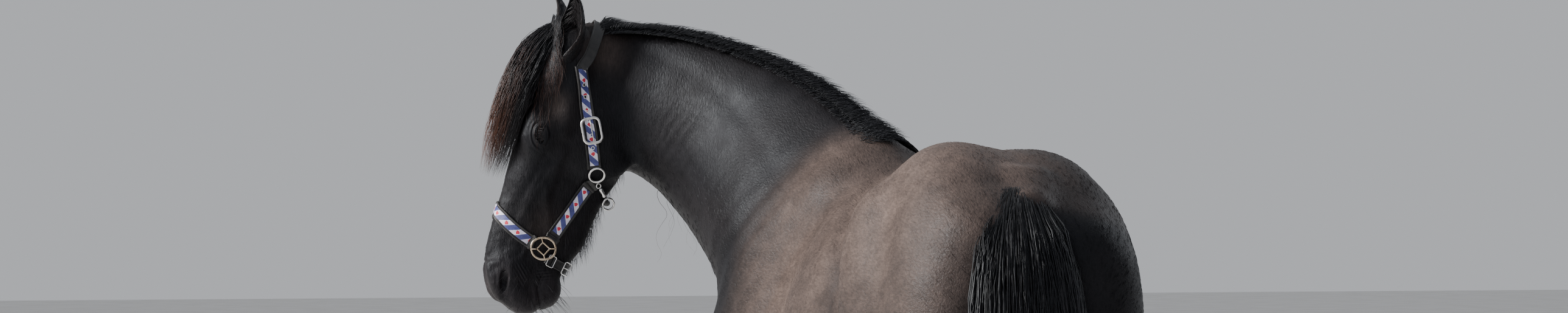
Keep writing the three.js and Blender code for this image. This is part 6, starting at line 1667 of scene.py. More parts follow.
M_HORN = horn_material()
for fore, h in HOOVES.items():
    for side, s in (("left", 1), ("right", -1)):
        n = 72
        a = np.linspace(0, 2 * math.pi, n, endpoint=False)
        cx, sy = np.cos(a), np.sin(a)
        reach = np.where(cx > 0, h["toe"], h["heel"])
        flat = np.where(cx > 0, 1.0, 0.93)
        top = 0.046 + (0.088 - 0.046) * (0.5 + 0.5 * cx)
        rings = []
        lv = [(0.0, 0.0), (0.0, 0.04)] + [(None, u) for u in np.linspace(0.04, 1, 15)[1:]]
        for i, u in enumerate([0.0] + list(np.linspace(0.03, 1, 16))):
            k = 1 - 0.26 * u
            grow = 0.0009 * math.sin(u * 46) * (0 < u < 0.95)
            bev = -0.0022 if u == 0.0 else 0.0
            # the heel's cleft behind
            cleft = 1 - 0.10 * np.exp(-((a - math.pi) / 0.22) ** 2)
            rings.append(np.stack([h["x"] - 0.022 * u + cx * (reach * k + grow + bev) * flat * cleft, s * h["y"] + sy * (h["half"] * k + grow + bev), top * u], 1))
        V = np.concatenate(rings)
        m = len(rings)
        F = []
        for i in range(m - 1):
            for j in range(n):
                F.append((i * n + j, i * n + (j + 1) % n, (i + 1) * n + (j + 1) % n, (i + 1) * n + j))
        F = np.array(F)
        lo, hi = len(V), len(V) + 1
        # the sole is level, and the crown is closed
        V = np.concatenate([V, rings[0].mean(0)[None], rings[-1].mean(0)[None]])
        T = np.concatenate([F[:, [0, 1, 2]], F[:, [0, 2, 3]],
                            np.array([(lo, (j + 1) % n, j) for j in range(n)]),
                            np.array([(hi, (m - 1) * n + j, (m - 1) * n + (j + 1) % n) for j in range(n)])])
        P = bend(V)
        A, B, C = P[T[:, 0]], P[T[:, 1]], P[T[:, 2]]
        c = P.mean(0)
        if ((np.cross(B - A, C - A) * ((A + B + C) / 3 - c)).sum(1)).sum() < 0:
            T = T[:, ::-1]
        ang = np.arctan2(V[:, 1] - s * h["y"], V[:, 0] - h["x"]) / (2 * math.pi) + 0.5
        uv = np.stack([ang, V[:, 2] / 0.09], 1)[T].reshape(-1, 2)
        ob = make("hoof_%s_%s_horn" % (fore, side), P, T, M_HORN, "horn", uv=uv, smooth=True)
        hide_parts("hoof_%s_%s" % (fore, side))

# ---------- feather: the long hair of the feet ----------
def leg_radius(table, z, a):
    rf, rb, ry = at(table, z)[2:5]
    r = np.where(np.cos(a) > 0, rf, rb)
    return 1 / np.sqrt((np.cos(a) / r) ** 2 + (np.sin(a) / ry) ** 2)

def feather_radius(z, a):
    rf, rb, ry = at(T_FEATHER, z)
    r = np.where(np.cos(a) > 0, rf, rb)
    return 1 / np.sqrt((np.cos(a) / r) ** 2 + (np.sin(a) / ry) ** 2)

def feather_hair(fore, side, n, m, seed):
    r = np.random.default_rng(seed)
    table = T_FORE if fore == "front" else T_HIND
    s = 1 if side == "left" else -1
    a = r.uniform(0, 2 * math.pi, n)
    a = np.where(r.uniform(0, 1, n) < 0.55, math.pi + (a - math.pi) * 0.55, a)       # more behind
    back = 0.5 - 0.5 * np.cos(a)
    z0 = 0.075 + (0.13 + 0.165 * back) * r.uniform(0, 1, n)
    L = (0.055 + 0.085 * back) * r.uniform(0.7, 1.25, n)
    low = 0.022 + 0.030 * (1 - back) + 0.02 * r.uniform(0, 1, n)
    z1 = np.maximum(z0 - L, low)
    depth = r.uniform(0.25, 1.0, n)
    t = np.linspace(0, 1, m)[None]
    z = z0[:, None] + (z1 - z0)[:, None] * t
    aa = np.repeat(a[:, None], m, 1) + (r.normal(0, 0.12, n)[:, None]) * t
    zz = np.maximum(z, 0.065)
    rl = leg_radius(table, zz.ravel(), aa.ravel()).reshape(n, m)
    rf = feather_radius(np.clip(z, 0.02, 0.3).ravel(), aa.ravel()).reshape(n, m)
    hoofr = (0.070 - 0.012 * z / 0.08)
    grow = ramp(t / 0.85)
    rad = (rl - 0.003) * (1 - grow) + grow * (rl + depth[:, None] * np.maximum(rf - rl, 0.006))
    rad = np.where(z < 0.09, np.maximum(rad, np.where(np.cos(aa) > 0.0, 0.0, 0.0)), rad)
    cx, cy = (v.reshape(n, m) for v in at(table, np.maximum(z, 0.065).ravel())[:2])
    h = HOOVES[fore]
    # below the crown the hair lies over the horn
    k = ramp((0.095 - z) / 0.05)
    hx = h["x"] - 0.022 * z / 0.09
    cx = cx * (1 - k) + hx * k
    hr = 1 / np.sqrt((np.cos(aa) / np.where(np.cos(aa) > 0, h["toe"], h["heel"])) ** 2 + (np.sin(aa) / h["half"]) ** 2) * (1 - 0.26 * np.clip(z / 0.07, 0, 1)) + 0.004 + 0.010 * depth[:, None]
    rad = np.where(z < 0.09, rad * (1 - k) + np.maximum(rad, hr) * k, rad)
    wx, wy = wavy(n, m, L, 0.060, 0.0035, seed + 1)
    P = np.stack([cx + np.cos(aa) * rad + wx * 0.7, s * cy + np.sin(aa) * rad + wy * 0.7, z], 2)
    P = bend(P.reshape(-1, 3)).reshape(n, m, 3)
    half = taper(m, 0.6, 0.25, 0.15)[None] * r.uniform(0.0010, 0.0026, (n, 1))
    out = np.stack([np.cos(a), np.sin(a), 0 * a], 1)
    c0 = shades(n, seed + 2, 0.7, 1.8)
    c1 = shades(n, seed + 3, 0.9, 2.2, 1.0) + (r.uniform(0, 1, (n, 1)) ** 2) * np.array([0.014, 0.008, 0.005])
    uv = np.stack([0.02 + 0.96 * a / (2 * math.pi), 0.02 + 0.96 * (z0 - 0.07) / 0.31], 1)
    V, F, U, C = locks(P, half, half * 0.55, out, c0, c1, uv)
    ob = add_hair("feather_%s_%s_hair" % (fore, side), V, F, U, C)
    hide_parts("feather_%s_%s" % (fore, side))

for i, (fore, side) in enumerate((("front", "left"), ("front", "right"), ("hind", "left"), ("hind", "right"))):
    feather_hair(fore, side, 1000, 8, 200 + 10 * i)

# ---------- the short coat where it breaks the form ----------
def lie(P):
    """Which way the short hair lies, as a direction in the posed frame."""
    s = unbend(P)
    d = np.tile(np.array([-0.86, 0.0, -0.50]), (len(P), 1))
    low = ramp((0.98 - s[:, 2]) / 0.2)[:, None]
    d = d * (1 - low) + np.array([0.0, 0.0, -1.0]) * low
    nk = ((P[:, 0] > 0.5) & (P[:, 2] > 1.05))
    if nk.any():
        t, val = neck_frame(P[nk])
        D = -unit(val("N", t))
        D = np.where((D[:, 0] > 0)[:, None], -D, D)
        w = ramp((P[nk, 0] - 0.5) / 0.25)[:, None]
        d[nk] = d[nk] * (1 - w) + (D * 0.8 + [0, 0, -0.5]) * w
    q = to_head(P)
    hd = in_head(P, -0.05, 0.75, 0.17, -0.24, 0.2)
    w = ramp((q[hd, 0] - 0.05) / 0.10)[:, None]
    d[hd] = d[hd] * (1 - w) + (HEAD_A[None] * 0.95 - HEAD_F[None] * 0.25) * w
    return unit(d)

def short_coat(name, n, seed, dens, length, half_w, rise, colour_of, m_curl=0.0):
    r = np.random.default_rng(seed)
    tri = SV[SF]
    area_ = np.linalg.norm(np.cross(tri[:, 1] - tri[:, 0], tri[:, 2] - tri[:, 0]), axis=1) / 2
    w = area_ * dens
    cum = np.cumsum(w)
    k = np.searchsorted(cum, r.uniform(0, cum[-1], n))
    k = np.minimum(k, len(SF) - 1)
    a, b = r.uniform(0, 1, n), r.uniform(0, 1, n)
    fl_ = a + b > 1
    a[fl_], b[fl_] = 1 - a[fl_], 1 - b[fl_]
    bary = np.stack([1 - a - b, a, b], 1)
    P = (tri[k] * bary[:, :, None]).sum(1)
    N = unit((SN[SF[k]] * bary[:, :, None]).sum(1))
    C = (colour_of[SF[k]] * bary[:, :, None]).sum(1)
    d = lie(P) + r.normal(0, 0.10, (n, 3))
    d = unit(d - (d * N).sum(1, keepdims=True) * N)
    B = np.cross(N, d)
    L = length(P) * r.uniform(0.7, 1.3, n)
    hw = half_w * r.uniform(0.7, 1.3, n)
    h = rise(P) * r.uniform(0.6, 1.3, n)
    base = P - N * 0.0008
    back = d * (L * 0.06)[:, None]
    v0 = base - B * hw[:, None]
    v1 = base + B * hw[:, None]
    mid = P + d * (L * 0.45)[:, None] + N * (h * 0.75 + hw * 0.4)[:, None]
    tip = P + d * L[:, None] + N * (h * 0.9)[:, None]
    # a thin closed spike: two roots, a keel in the middle, and the tip
    V = np.stack([v0, v1, mid, tip], 1).reshape(-1, 3)
    F = np.array([(0, 1, 2), (1, 3, 2), (3, 0, 2), (0, 3, 1)])
    FF = (F[None] + 4 * np.arange(n)[:, None, None]).reshape(-1, 3)
    part = part_of(P)
    uv0 = atlas(P, part)[0]
    U = (np.array([[(0, 0), (1, 0), (0.5, 0.5)], [(1, 0), (0.5, 1), (0.5, 0.5)], [(0.5, 1), (0, 0), (0.5, 0.5)], [(0, 0), (0.5, 1), (1, 0)]]) - 0.5) * 0.003
    UU = (U[None] + uv0[:, None, None, :]).reshape(-1, 2)
    shade = r.uniform(0.85, 1.30, (n, 1))
    CC = np.stack([C, C, C * shade, C * shade * 1.15], 1).reshape(-1, 3)
    return V, FF, UU, CC, np.repeat(unit(N * 0.9 + d * 0.1), 4, 0)

MID = SV[SF].mean(1)
SM = unbend(MID)
hq = to_head(MID)
face = in_head(MID, 0.10, 0.75, 0.17, -0.24, 0.2)
off_eye = np.linalg.norm(np.stack([hq[:, 0], hq[:, 1], np.abs(hq[:, 2])], 1) - EYE_AT - [0, 0, 0.012], axis=1) > 0.030
off_nose = ramp((0.60 - hq[:, 0]) / 0.06) * face + (~face)
hm = np.stack([hq[:, 0], hq[:, 1], np.abs(hq[:, 2])], 1)
off_nose = off_nose * (chain(hm, [(0.583, 0.060, 0.058), (0.590, 0.040, 0.060), (0.606, 0.030, 0.060), (0.640, 0.018, 0.054)], 0.0) > 0.024)
off_nose = off_nose * ~((np.abs(hq[:, 1] + 0.052) < 0.012) & (hq[:, 0] > 0.56) & face)
dens = np.where(face, 2.2, 1.0) * off_eye * np.clip(off_nose, 0.05, 1) * (MID[:, 2] > 0.09)
dens = dens * (1 + 1.6 * ramp((0.80 - SM[:, 2]) / 0.2) + 1.2 * np.exp(-((SM[:, 2] - 0.88) / 0.06) ** 2))

def coat_length(P):
    q = to_head(P)
    hd = in_head(P, 0.08, 0.75, 0.17, -0.24, 0.2)
    under = ramp((0.97 - P[:, 2]) / 0.1)
    return np.where(hd, 0.0085, 0.021 + 0.006 * under)

def coat_rise(P):
    hd = in_head(P, 0.08, 0.75, 0.17, -0.24, 0.2)
    return np.where(hd, 0.0003, 0.0005 + 0.0012 * ramp((0.97 - P[:, 2]) / 0.1))

NF = 20000
for i in range(3):
    V_, F_, U_, C_, N_ = short_coat("c", NF, 300 + i, dens, coat_length, 0.00026, coat_rise, SCOL)
    ob = add_hair("short_coat_%d" % (i + 1), V_, F_, U_, C_, slot="coat", mat=M_COAT)
    ob.data.normals_split_custom_set_from_vertices(N_.tolist())

# ---------- beard, whiskers ----------
def beard(n, m, seed):
    """Longer hair on the jaw's under side and down the throat."""
    r = np.random.default_rng(seed)
    a = r.uniform(0.29, 0.56, n)
    ang = np.radians(180 + r.normal(0, 20, n))
    q = np.stack([a, -0.03 + 0.30 * np.cos(ang), 0.30 * np.sin(ang)], 1)
    d = unit(np.stack([0 * a, np.cos(ang), np.sin(ang)], 1))
    for _ in range(40):
        f = head(q) + SKIN_IN
        q = q - d * np.clip(f, -0.02, 0.02)[:, None] * 0.8
    P0 = from_head(q)
    D = d @ HEAD_M.T
    L = r.uniform(0.018, 0.048, n) * (0.55 + 0.65 * hump(a, 0.42, 0.08))
    t = np.linspace(0, 1, m)[None, :, None]
    g = np.array([0, 0, -1.0])
    lean = unit(D * 0.30 + HEAD_A[None] * 0.85 + r.normal(0, 0.16, (n, 3)))
    P = P0[:, None] - D[:, None] * 0.003 + lean[:, None] * L[:, None, None] * t + g * (L[:, None, None] * 0.45) * t * t
    x, y = wavy(n, m, L, 0.035, 0.0022, seed + 1)
    P = P + HEAD_L[None, None] * x[..., None] + HEAD_F[None, None] * y[..., None]
    half = taper(m)[None] * r.uniform(0.0003, 0.0007, (n, 1))
    c0 = shades(n, seed + 2, 0.8, 1.6)
    c1 = c0 * 1.3 + (r.uniform(0, 1, (n, 1)) ** 2) * np.array([0.016, 0.008, 0.004])
    return locks(P, half, half * 0.6, D, c0, c1, np.stack([0.05 + a, 0.5 + (ang - math.pi) * 0.5], 1))

def whiskers(n, seed):
    r = np.random.default_rng(seed)
    a = r.uniform(0.585, 0.668, n)
    ang = np.radians(r.uniform(35, 325, n))
    q = np.stack([a, -0.03 + 0.2 * np.cos(ang), 0.2 * np.sin(ang)], 1)
    d = unit(np.stack([0 * a, np.cos(ang), np.sin(ang)], 1))
    for _ in range(40):
        f = head(q) + SKIN_IN
        q = q - d * np.clip(f, -0.02, 0.02)[:, None] * 0.8
    P0, D = from_head(q), d @ HEAD_M.T
    L = r.uniform(0.014, 0.048, n)
    m = 7
    t = np.linspace(0, 1, m)[None, :, None]
    lean = unit(D + HEAD_A[None] * 0.35 + r.normal(0, 0.16, (n, 3)))
    P = P0[:, None] - D[:, None] * 0.003 + lean[:, None] * L[:, None, None] * t - np.array([0, 0, 0.35]) * L[:, None, None] * t * t
    half = taper(m)[None] * r.uniform(0.00030, 0.00045, (n, 1))
    c = shades(n, seed + 2, 0.8, 1.6) + 0.004
    return locks(P, half, half, np.repeat(HEAD_L[None], n, 0), c, c * 1.8, np.stack([a, ang / 6.3], 1))

add_hair("jaw_hair", *join([beard(700, 8, 401), whiskers(130, 411)]), slot="hair")

# ---------- the halter: padded straps, ribbon, and metal ----------
def on_head(a, deg, lift=0.0):
    """Points on the head at distance a from the poll, at an angle round it (0 is the face, 90 the left side)."""
    a = np.asarray(a, float)
    deg = np.radians(np.asarray(deg, float))
    d = np.stack([0 * a, np.cos(deg), np.sin(deg)], 1)
    o = np.stack([a, 0 * a - 0.03, 0 * a], 1)
    lo, hi = np.full(len(a), 0.005), np.full(len(a), 0.20)
    for _ in range(22):
        m = (lo + hi) / 2
        f = head(o + d * m[:, None]) < lift
        lo, hi = np.where(f, m, lo), np.where(f, hi, m)
    return o + d * lo[:, None]

def slope(fun, q, e=0.004):
    return unit(np.stack([fun(q + np.eye(3)[k] * e) - fun(q - np.eye(3)[k] * e) for k in range(3)], 1))

def even_line(P, n):
    d = np.concatenate([[0], np.cumsum(np.linalg.norm(np.diff(P, axis=0), axis=1))])
    u = np.linspace(0, d[-1], n)
    return np.stack([np.interp(u, d, P[:, k]) for k in range(3)], 1), u

def blur(X, times):
    X = X.copy()
    for _ in range(times):
        X[1:-1] = 0.25 * X[:-2] + 0.5 * X[1:-1] + 0.25 * X[2:]
    return X

def curve_of(guide, n=200):
    """A soft curve through guide points of two numbers."""
    G = np.asarray(guide, float)
    G = np.concatenate([[2 * G[0] - G[1]], G, [2 * G[-1] - G[-2]]])
    t = np.linspace(0, len(G) - 3 - 1e-6, n)
    i = t.astype(int)
    u = (t - i)[:, None]
    p0, p1, p2, p3 = G[i], G[i + 1], G[i + 2], G[i + 3]
    return 0.5 * (2 * p1 + (p2 - p0) * u + (2 * p0 - 5 * p1 + 4 * p2 - p3) * u**2 + (3 * p1 - p0 - 3 * p2 + p3) * u**3)

def strap_frame(guide, half, lift, n):
    g = curve_of(guide)
    C, s = even_line(on_head(g[:, 0], g[:, 1]), n)
    N = unit(blur(slope(head, C), 12))
    T = unit(np.gradient(C, axis=0))
    N = unit(N - (N * T).sum(1, keepdims=True) * T)
    B = np.cross(T, N)
    # how the head falls away under the strap's width
    us = np.linspace(-1, 1, 7)
    P = C[:, None, :] + B[:, None, :] * (us * half)[None, :, None]
    lo, hi = np.full(P.shape[:2], -0.030), np.full(P.shape[:2], 0.030)
    for _ in range(14):
        m = (lo + hi) / 2
        f = head((P + N[:, None, :] * m[..., None]).reshape(-1, 3)).reshape(m.shape) < lift
        lo, hi = np.where(f, m, lo), np.where(f, hi, m)
    A = np.stack([us * 0 + 1, us, us * us], 1)
    K = blur(np.linalg.lstsq(A, lo.T, rcond=None)[0].T, 6)
    return C, N, B, s, K

def solid_sweep(rings, uv=None):
    """A closed solid from rings of points (n, k, 3), capped at both ends."""
    n, k, _ = rings.shape
    V = np.concatenate([rings.reshape(-1, 3), rings[0].mean(0)[None], rings[-1].mean(0)[None]])
    i, j = np.meshgrid(np.arange(n - 1), np.arange(k), indexing="ij")
    a, b = i * k + j, i * k + (j + 1) % k
    c, d = a + k, b + k
    F = [np.stack([a, b, d], -1).reshape(-1, 3), np.stack([a, d, c], -1).reshape(-1, 3)]
    j = np.arange(k)
    F.append(np.stack([(j + 1) % k, j, j * 0 + n * k], 1))
    F.append(np.stack([(n - 1) * k + j, (n - 1) * k + (j + 1) % k, j * 0 + n * k + 1], 1))
    F = np.concatenate(F)
    U = None
    if uv is not None:
        uvv = np.concatenate([uv.reshape(-1, 2), uv[0].mean(0)[None], uv[-1].mean(0)[None]])
        U = uvv[F]
    return V, F, U

def outward(V, F, U=None):
    vol = (V[F[:, 0]] * np.cross(V[F[:, 1]], V[F[:, 2]])).sum()
    if vol < 0:
        F = F[:, ::-1]
        U = None if U is None else U[:, ::-1]
    return V, F, U

PAD = [(-0.90, 0), (-0.5, 0), (0, 0), (0.5, 0), (0.90, 0), (0.98, 0.0006), (1.0, 0.0018), (0.99, 0.0034), (0.94, 0.0046), (0.87, 0.0050), (0.79, 0.0046),
       (0.72, 0.0036), (0.64, 0.0033), (0.32, 0.0033), (0, 0.0033), (-0.32, 0.0033), (-0.64, 0.0033), (-0.72, 0.0036), (-0.79, 0.0046), (-0.87, 0.0050),
       (-0.94, 0.0046), (-0.99, 0.0034), (-1.0, 0.0018), (-0.98, 0.0006)]
RIBBON = [(-0.59, 0.0026), (0, 0.0026), (0.59, 0.0026), (0.60, 0.0040), (0.575, 0.0046), (0.53, 0.0044), (0.27, 0.0044), (0, 0.0044), (-0.27, 0.0044),
          (-0.53, 0.0044), (-0.575, 0.0046), (-0.60, 0.0040)]
ROLL = [(0.98 * math.cos(x), 0.0050 + 0.0050 * math.sin(x)) for x in np.linspace(0, 2 * math.pi, 17)[:-1]]
STRAP_HALF = 0.0165
PATTERN = 0.0345                                 # one white band and one blue

def belt(name, guide, prof, half, mat, node=None, lift=-0.0022, thick=1.0, ends=(0, 0), raise_=0.0, uvs=False, trim=(0.0, 0.0), step=0.0035):
    """A strap along the head. At an end that goes round a ring the strap is folded, so it is thicker there."""
    g = curve_of(guide)
    length = np.linalg.norm(np.diff(on_head(g[:, 0], g[:, 1]), axis=0), axis=1).sum()
    n = max(8, int(length / step))
    C, N, B, s, K = strap_frame(guide, half, lift, n)
    if trim != (0.0, 0.0):
        keep = (s >= trim[0]) & (s <= s[-1] - trim[1])
        C, N, B, K, s = C[keep], N[keep], B[keep], K[keep], s[keep]
    e0, e1 = s - s[0], s[-1] - s
    fold = np.zeros(len(s))
    if ends[0]:
        fold = np.maximum(fold, ends[0] * ramp((0.016 - e0) / 0.008))
    if ends[1]:
        fold = np.maximum(fold, ends[1] * ramp((0.016 - e1) / 0.008))
    shut = np.minimum(np.sqrt(np.clip(e0 / 0.003, 0, 1)) * 0.35 + 0.65, np.sqrt(np.clip(e1 / 0.003, 0, 1)) * 0.35 + 0.65)
    u = np.array([p[0] for p in prof])[None]
    w = np.array([p[1] for p in prof])[None] * thick
    top = ramp((w - 0.0016) / 0.0010)
    hgt = K[:, :1] + K[:, 1:2] * u + K[:, 2:3] * u * u + (w + top * fold[:, None]) * shut[:, None] + raise_
    R = C[:, None, :] + B[:, None, :] * (u * half)[..., None] + N[:, None, :] * hgt[..., None]
    shape = R.shape
    R = from_head(R.reshape(-1, 3)).reshape(shape)
    uv = np.stack([np.broadcast_to(s[:, None], shape[:2]), np.broadcast_to(u * half, shape[:2])], -1) / PATTERN
    V, F, U = outward(*solid_sweep(R, uv))
    ob = make(name, V, F, mat, "webbing", uv=U.reshape(-1, 2), uvname="strap")
    if node:
        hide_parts(node)
    return ob

def ring_tube(path, axis, wire, flat=1.0, sides=12):
    """A closed bar of wire along a flat loop (n, 3); flat squeezes it along the axis."""
    T = unit(np.roll(path, -1, 0) - np.roll(path, 1, 0))
    O = unit(np.cross(T, axis[None]))
    k = np.linspace(0, 2 * math.pi, sides + 1)[:-1]
    R = path[:, None, :] + O[:, None, :] * (np.cos(k) * wire)[None, :, None] + axis[None, None, :] * (np.sin(k) * wire * flat)[None, :, None]
    n = len(path)
    i, j = np.meshgrid(np.arange(n), np.arange(sides), indexing="ij")
    a, b = i * sides + j, i * sides + (j + 1) % sides
    c, d = ((i + 1) % n) * sides + j, ((i + 1) % n) * sides + (j + 1) % sides
    F = np.concatenate([np.stack([a, b, d], -1).reshape(-1, 3), np.stack([a, d, c], -1).reshape(-1, 3)])
    V, F, _ = outward(R.reshape(-1, 3), F)
    return V, F

def bar_tube(P, r, sides=12):
    """A solid bar through points P with radii r."""
    P, r = np.asarray(P, float), np.asarray(r, float)
    T = unit(np.gradient(P, axis=0))
    A = unit(np.cross(T, [[0.3, 0.2, 0.93]]))
    B = np.cross(T, A)
    k = np.linspace(0, 2 * math.pi, sides + 1)[:-1]
    R = P[:, None, :] + (A[:, None, :] * np.cos(k)[None, :, None] + B[:, None, :] * np.sin(k)[None, :, None]) * r[:, None, None]
    V, F, _ = outward(*solid_sweep(R))
    return V, F

def frame_at(a, deg, lift, up):
    c = on_head([a], [deg], lift)
    N = slope(head, c)[0]
    X = np.asarray(up, float)
    X = X - N * (X @ N)
    X = X / np.linalg.norm(X)
    return c[0], N, X, np.cross(N, X)

def loop_in(fr, path):
    c, N, X, Y = fr
    path = np.asarray(path, float)
    return from_head(c[None] + X[None] * path[:, :1] + Y[None] * path[:, 1:2]), unit(from_head((c + N)[None]) - from_head(c[None]))[0]

def box_path(w, h, r, k=7):
    out = []
    for sx, sy, a0 in ((1, 1, 0), (-1, 1, 90), (-1, -1, 180), (1, -1, 270)):
        for i in range(k + 1):
            x = math.radians(a0 + 90 * i / k)
            out.append([sx * (w / 2 - r) + r * math.cos(x), sy * (h / 2 - r) + r * math.sin(x)])
    return closed_path(out, 64)

def closed_path(P, n):
    P = np.asarray(P, float)
    Q = np.concatenate([P, P[:1]])
    d = np.concatenate([[0], np.cumsum(np.linalg.norm(np.diff(Q, axis=0), axis=1))])
    u = np.linspace(0, d[-1], n + 1)[:-1]
    return np.stack([np.interp(u, d, Q[:, 0]), np.interp(u, d, Q[:, 1])], 1)

def soft_loop(P, n=72, times=6):
    P = closed_path(P, n)
    for _ in range(times):
        P = 0.25 * np.roll(P, 1, 0) + 0.5 * P + 0.25 * np.roll(P, -1, 0)
    return P

def merge(parts):
    V, F, off = [], [], 0
    for v, f in parts:
        V.append(v); F.append(f + off); off += len(v)
    return np.concatenate(V), np.concatenate(F)

# --- materials of the halter ---
def pad_material():
    n = Nodes("halter_padding")
    pos = n.new("TexCoord").outputs["Object"]
    g = n.noise(pos, 900.0, 3, 0.6)
    s = n.noise(pos, 60.0, 3, 0.6)
    base = n.mix(n.ramp(s, 0.3, 0.75), rgb(0.009, 0.009, 0.010), rgb(0.022, 0.021, 0.022))
    n.set(Base_Color=base, Roughness=n.ramp(s, 0.3, 0.7, 0.42, 0.62), Normal=n.bump(g, 0.35, 0.0004))
    n.b.inputs["Specular IOR Level"].default_value = 0.35
    return n.m

def ribbon_material():
    n = Nodes("halter_ribbon")
    uv = n.new("UVMap", uv_map="strap").outputs[0]
    sep = n.new("SeparateXYZ")
    n.put(sep.inputs[0], uv)
    x, y = sep.outputs[0], sep.outputs[1]
    ky = n.math("MULTIPLY", y, -1.05)
    band = n.math("FRACT", n.math("ADD", x, ky))
    edge = n.math("ABSOLUTE", n.math("SUBTRACT", band, 0.5))             # 0 in the middle of one period, 0.5 at its ends
    white = n.ramp(edge, 0.245, 0.262)
    # the leaf sits in the middle of the white band, which is where the band number is 0 or 1
    wrap = n.math("SUBTRACT", n.math("FRACT", n.math("ADD", band, 0.5)), 0.5)
    lx = n.math("DIVIDE", n.math("SUBTRACT", wrap, ky), 0.150)
    ly = n.math("DIVIDE", y, 0.150)
    up = n.math("MULTIPLY", n.math("SUBTRACT", lx, ly), 0.7071)
    side = n.math("ABSOLUTE", n.math("MULTIPLY", n.math("ADD", lx, ly), 0.7071))
    lobe = n.math("SUBTRACT", up, n.math("MULTIPLY", n.math("SQRT", side), 0.50))
    lobe = n.math("ADD", lobe, 0.22)
    d = n.math("ADD", n.math("MULTIPLY", side, side), n.math("MULTIPLY", lobe, lobe))
    leaf = n.ramp(d, 0.66, 0.78, 1.0, 0.0)
    pos = n.new("TexCoord").outputs["Object"]
    worn = n.noise(pos, 70.0, 4, 0.65)
    fine = n.noise(pos, 900.0, 2, 0.5)
    blue = n.mix(n.ramp(worn, 0.35, 0.7), rgb(0.030, 0.036, 0.150), rgb(0.060, 0.068, 0.235))
    pale = n.mix(n.ramp(worn, 0.3, 0.7), rgb(0.47, 0.45, 0.58), rgb(0.64, 0.62, 0.70))
    c = n.mix(white, blue, pale)
    c = n.mix(leaf, c, rgb(0.46, 0.018, 0.045))
    # the selvedge, and the ribs of the weave
    ay = n.math("ABSOLUTE", y)
    hem = n.ramp(ay, 0.262, 0.270)
    c = n.mix(n.math("MULTIPLY", hem, 0.35), c, rgb(0.10, 0.10, 0.22))
    rib = n.math("SINE", n.math("MULTIPLY", x, 2 * math.pi * 38.0))
    h = n.math("ADD", n.math("MULTIPLY", rib, 0.35), fine)
    n.set(Base_Color=c, Roughness=n.ramp(worn, 0.3, 0.7, 0.38, 0.55), Normal=n.bump(h, 0.4, 0.0002))
    n.b.inputs["Specular IOR Level"].default_value = 0.45
    return n.m

def metal_material(name, a, b, rough):
    n = Nodes(name)
    pos = n.new("TexCoord").outputs["Object"]
    s = n.noise(pos, 120.0, 4, 0.6)
    f = n.noise(pos, 1400.0, 2, 0.5)
    n.set(Base_Color=n.mix(n.ramp(s, 0.35, 0.7), a, b), Roughness=n.ramp(s, 0.3, 0.7, rough, rough + 0.16), Metallic=1.0, Normal=n.bump(f, 0.10, 0.0002))
    return n.m

# near-black discs that fill the eyelets' holes: painted shade
def hole_shade_material():
    n = Nodes("painted_eyelet_shade")
    pos = n.new("TexCoord").outputs["Object"]
    n.set(Base_Color=n.mix(n.noise(pos, 400.0), rgb(0.003, 0.003, 0.003), rgb(0.007, 0.006, 0.006)), Roughness=0.8)
    return n.m

M_PAD, M_RIBBON = pad_material(), ribbon_material()
M_STEEL = metal_material("halter_steel", rgb(0.52, 0.52, 0.53), rgb(0.68, 0.67, 0.66), 0.26)
M_BRASS = metal_material("halter_worn_plate", rgb(0.36, 0.28, 0.20), rgb(0.52, 0.44, 0.36), 0.30)
M_HOLE_SHADE = hole_shade_material()

GUIDE = {
    "cheek": [(0.085, 75), (0.120, 84.5), (0.155, 92.5), (0.190, 101), (0.225, 110), (0.262, 118.5), (0.298, 128), (0.3075, 131)],
    "side": [(0.3375, 142.6), (0.344, 142), (0.368, 138.5), (0.400, 133), (0.432, 126), (0.462, 117.5), (0.490, 108), (0.4955, 105)],
    "nose": [(0.452, 0), (0.460, 9), (0.471, 18), (0.484, 28), (0.496, 40), (0.504, 52), (0.509, 63), (0.511, 71)],
    "chin": [(0.536, 108), (0.539, 118), (0.543, 134), (0.547, 150), (0.550, 166), (0.551, 180)],
}
flip = lambda g: [(a, -d) for a, d in g]
for side, g in (("left", lambda x: x), ("right", flip)):
    belt("halter_cheek_%s_pad" % side, g(GUIDE["cheek"]), PAD, STRAP_HALF, M_PAD, "halter_cheek_" + side, ends=(0, 0.0050))
    belt("halter_cheek_%s_ribbon" % side, g(GUIDE["cheek"]), RIBBON, STRAP_HALF, M_RIBBON, ends=(0, 0.0050), trim=(0.004, 0.005))
    belt("halter_side_%s_pad" % side, g(GUIDE["side"]), PAD, STRAP_HALF, M_PAD, "halter_side_" + side, ends=(0.0050, 0.0050))
    belt("halter_side_%s_ribbon" % side, g(GUIDE["side"]), RIBBON, STRAP_HALF, M_RIBBON, trim=(0.022, 0.019))
nose = flip(GUIDE["nose"])[::-1] + GUIDE["nose"][1:]
belt("halter_nose_pad", nose, PAD, STRAP_HALF, M_PAD, "halter_nose", ends=(0.0050, 0.0050))
belt("halter_nose_ribbon", nose, RIBBON, STRAP_HALF, M_RIBBON, trim=(0.014, 0.014))
chin = GUIDE["chin"] + [(a, 360 - d) for a, d in GUIDE["chin"][:-1][::-1]]
belt("halter_chin_strap", chin, PAD, 0.0120, M_PAD, "halter_chin", thick=0.80, ends=(0.0050, 0.0050))
throat = [(0.352, 210), (0.362, 200), (0.370, 190), (0.374, 180), (0.376, 170), (0.374, 163), (0.372, 159.5)]
belt("halter_throat_roll", throat, ROLL, 0.0066, M_PAD, "halter_throat", lift=0.0008, thick=1.0)
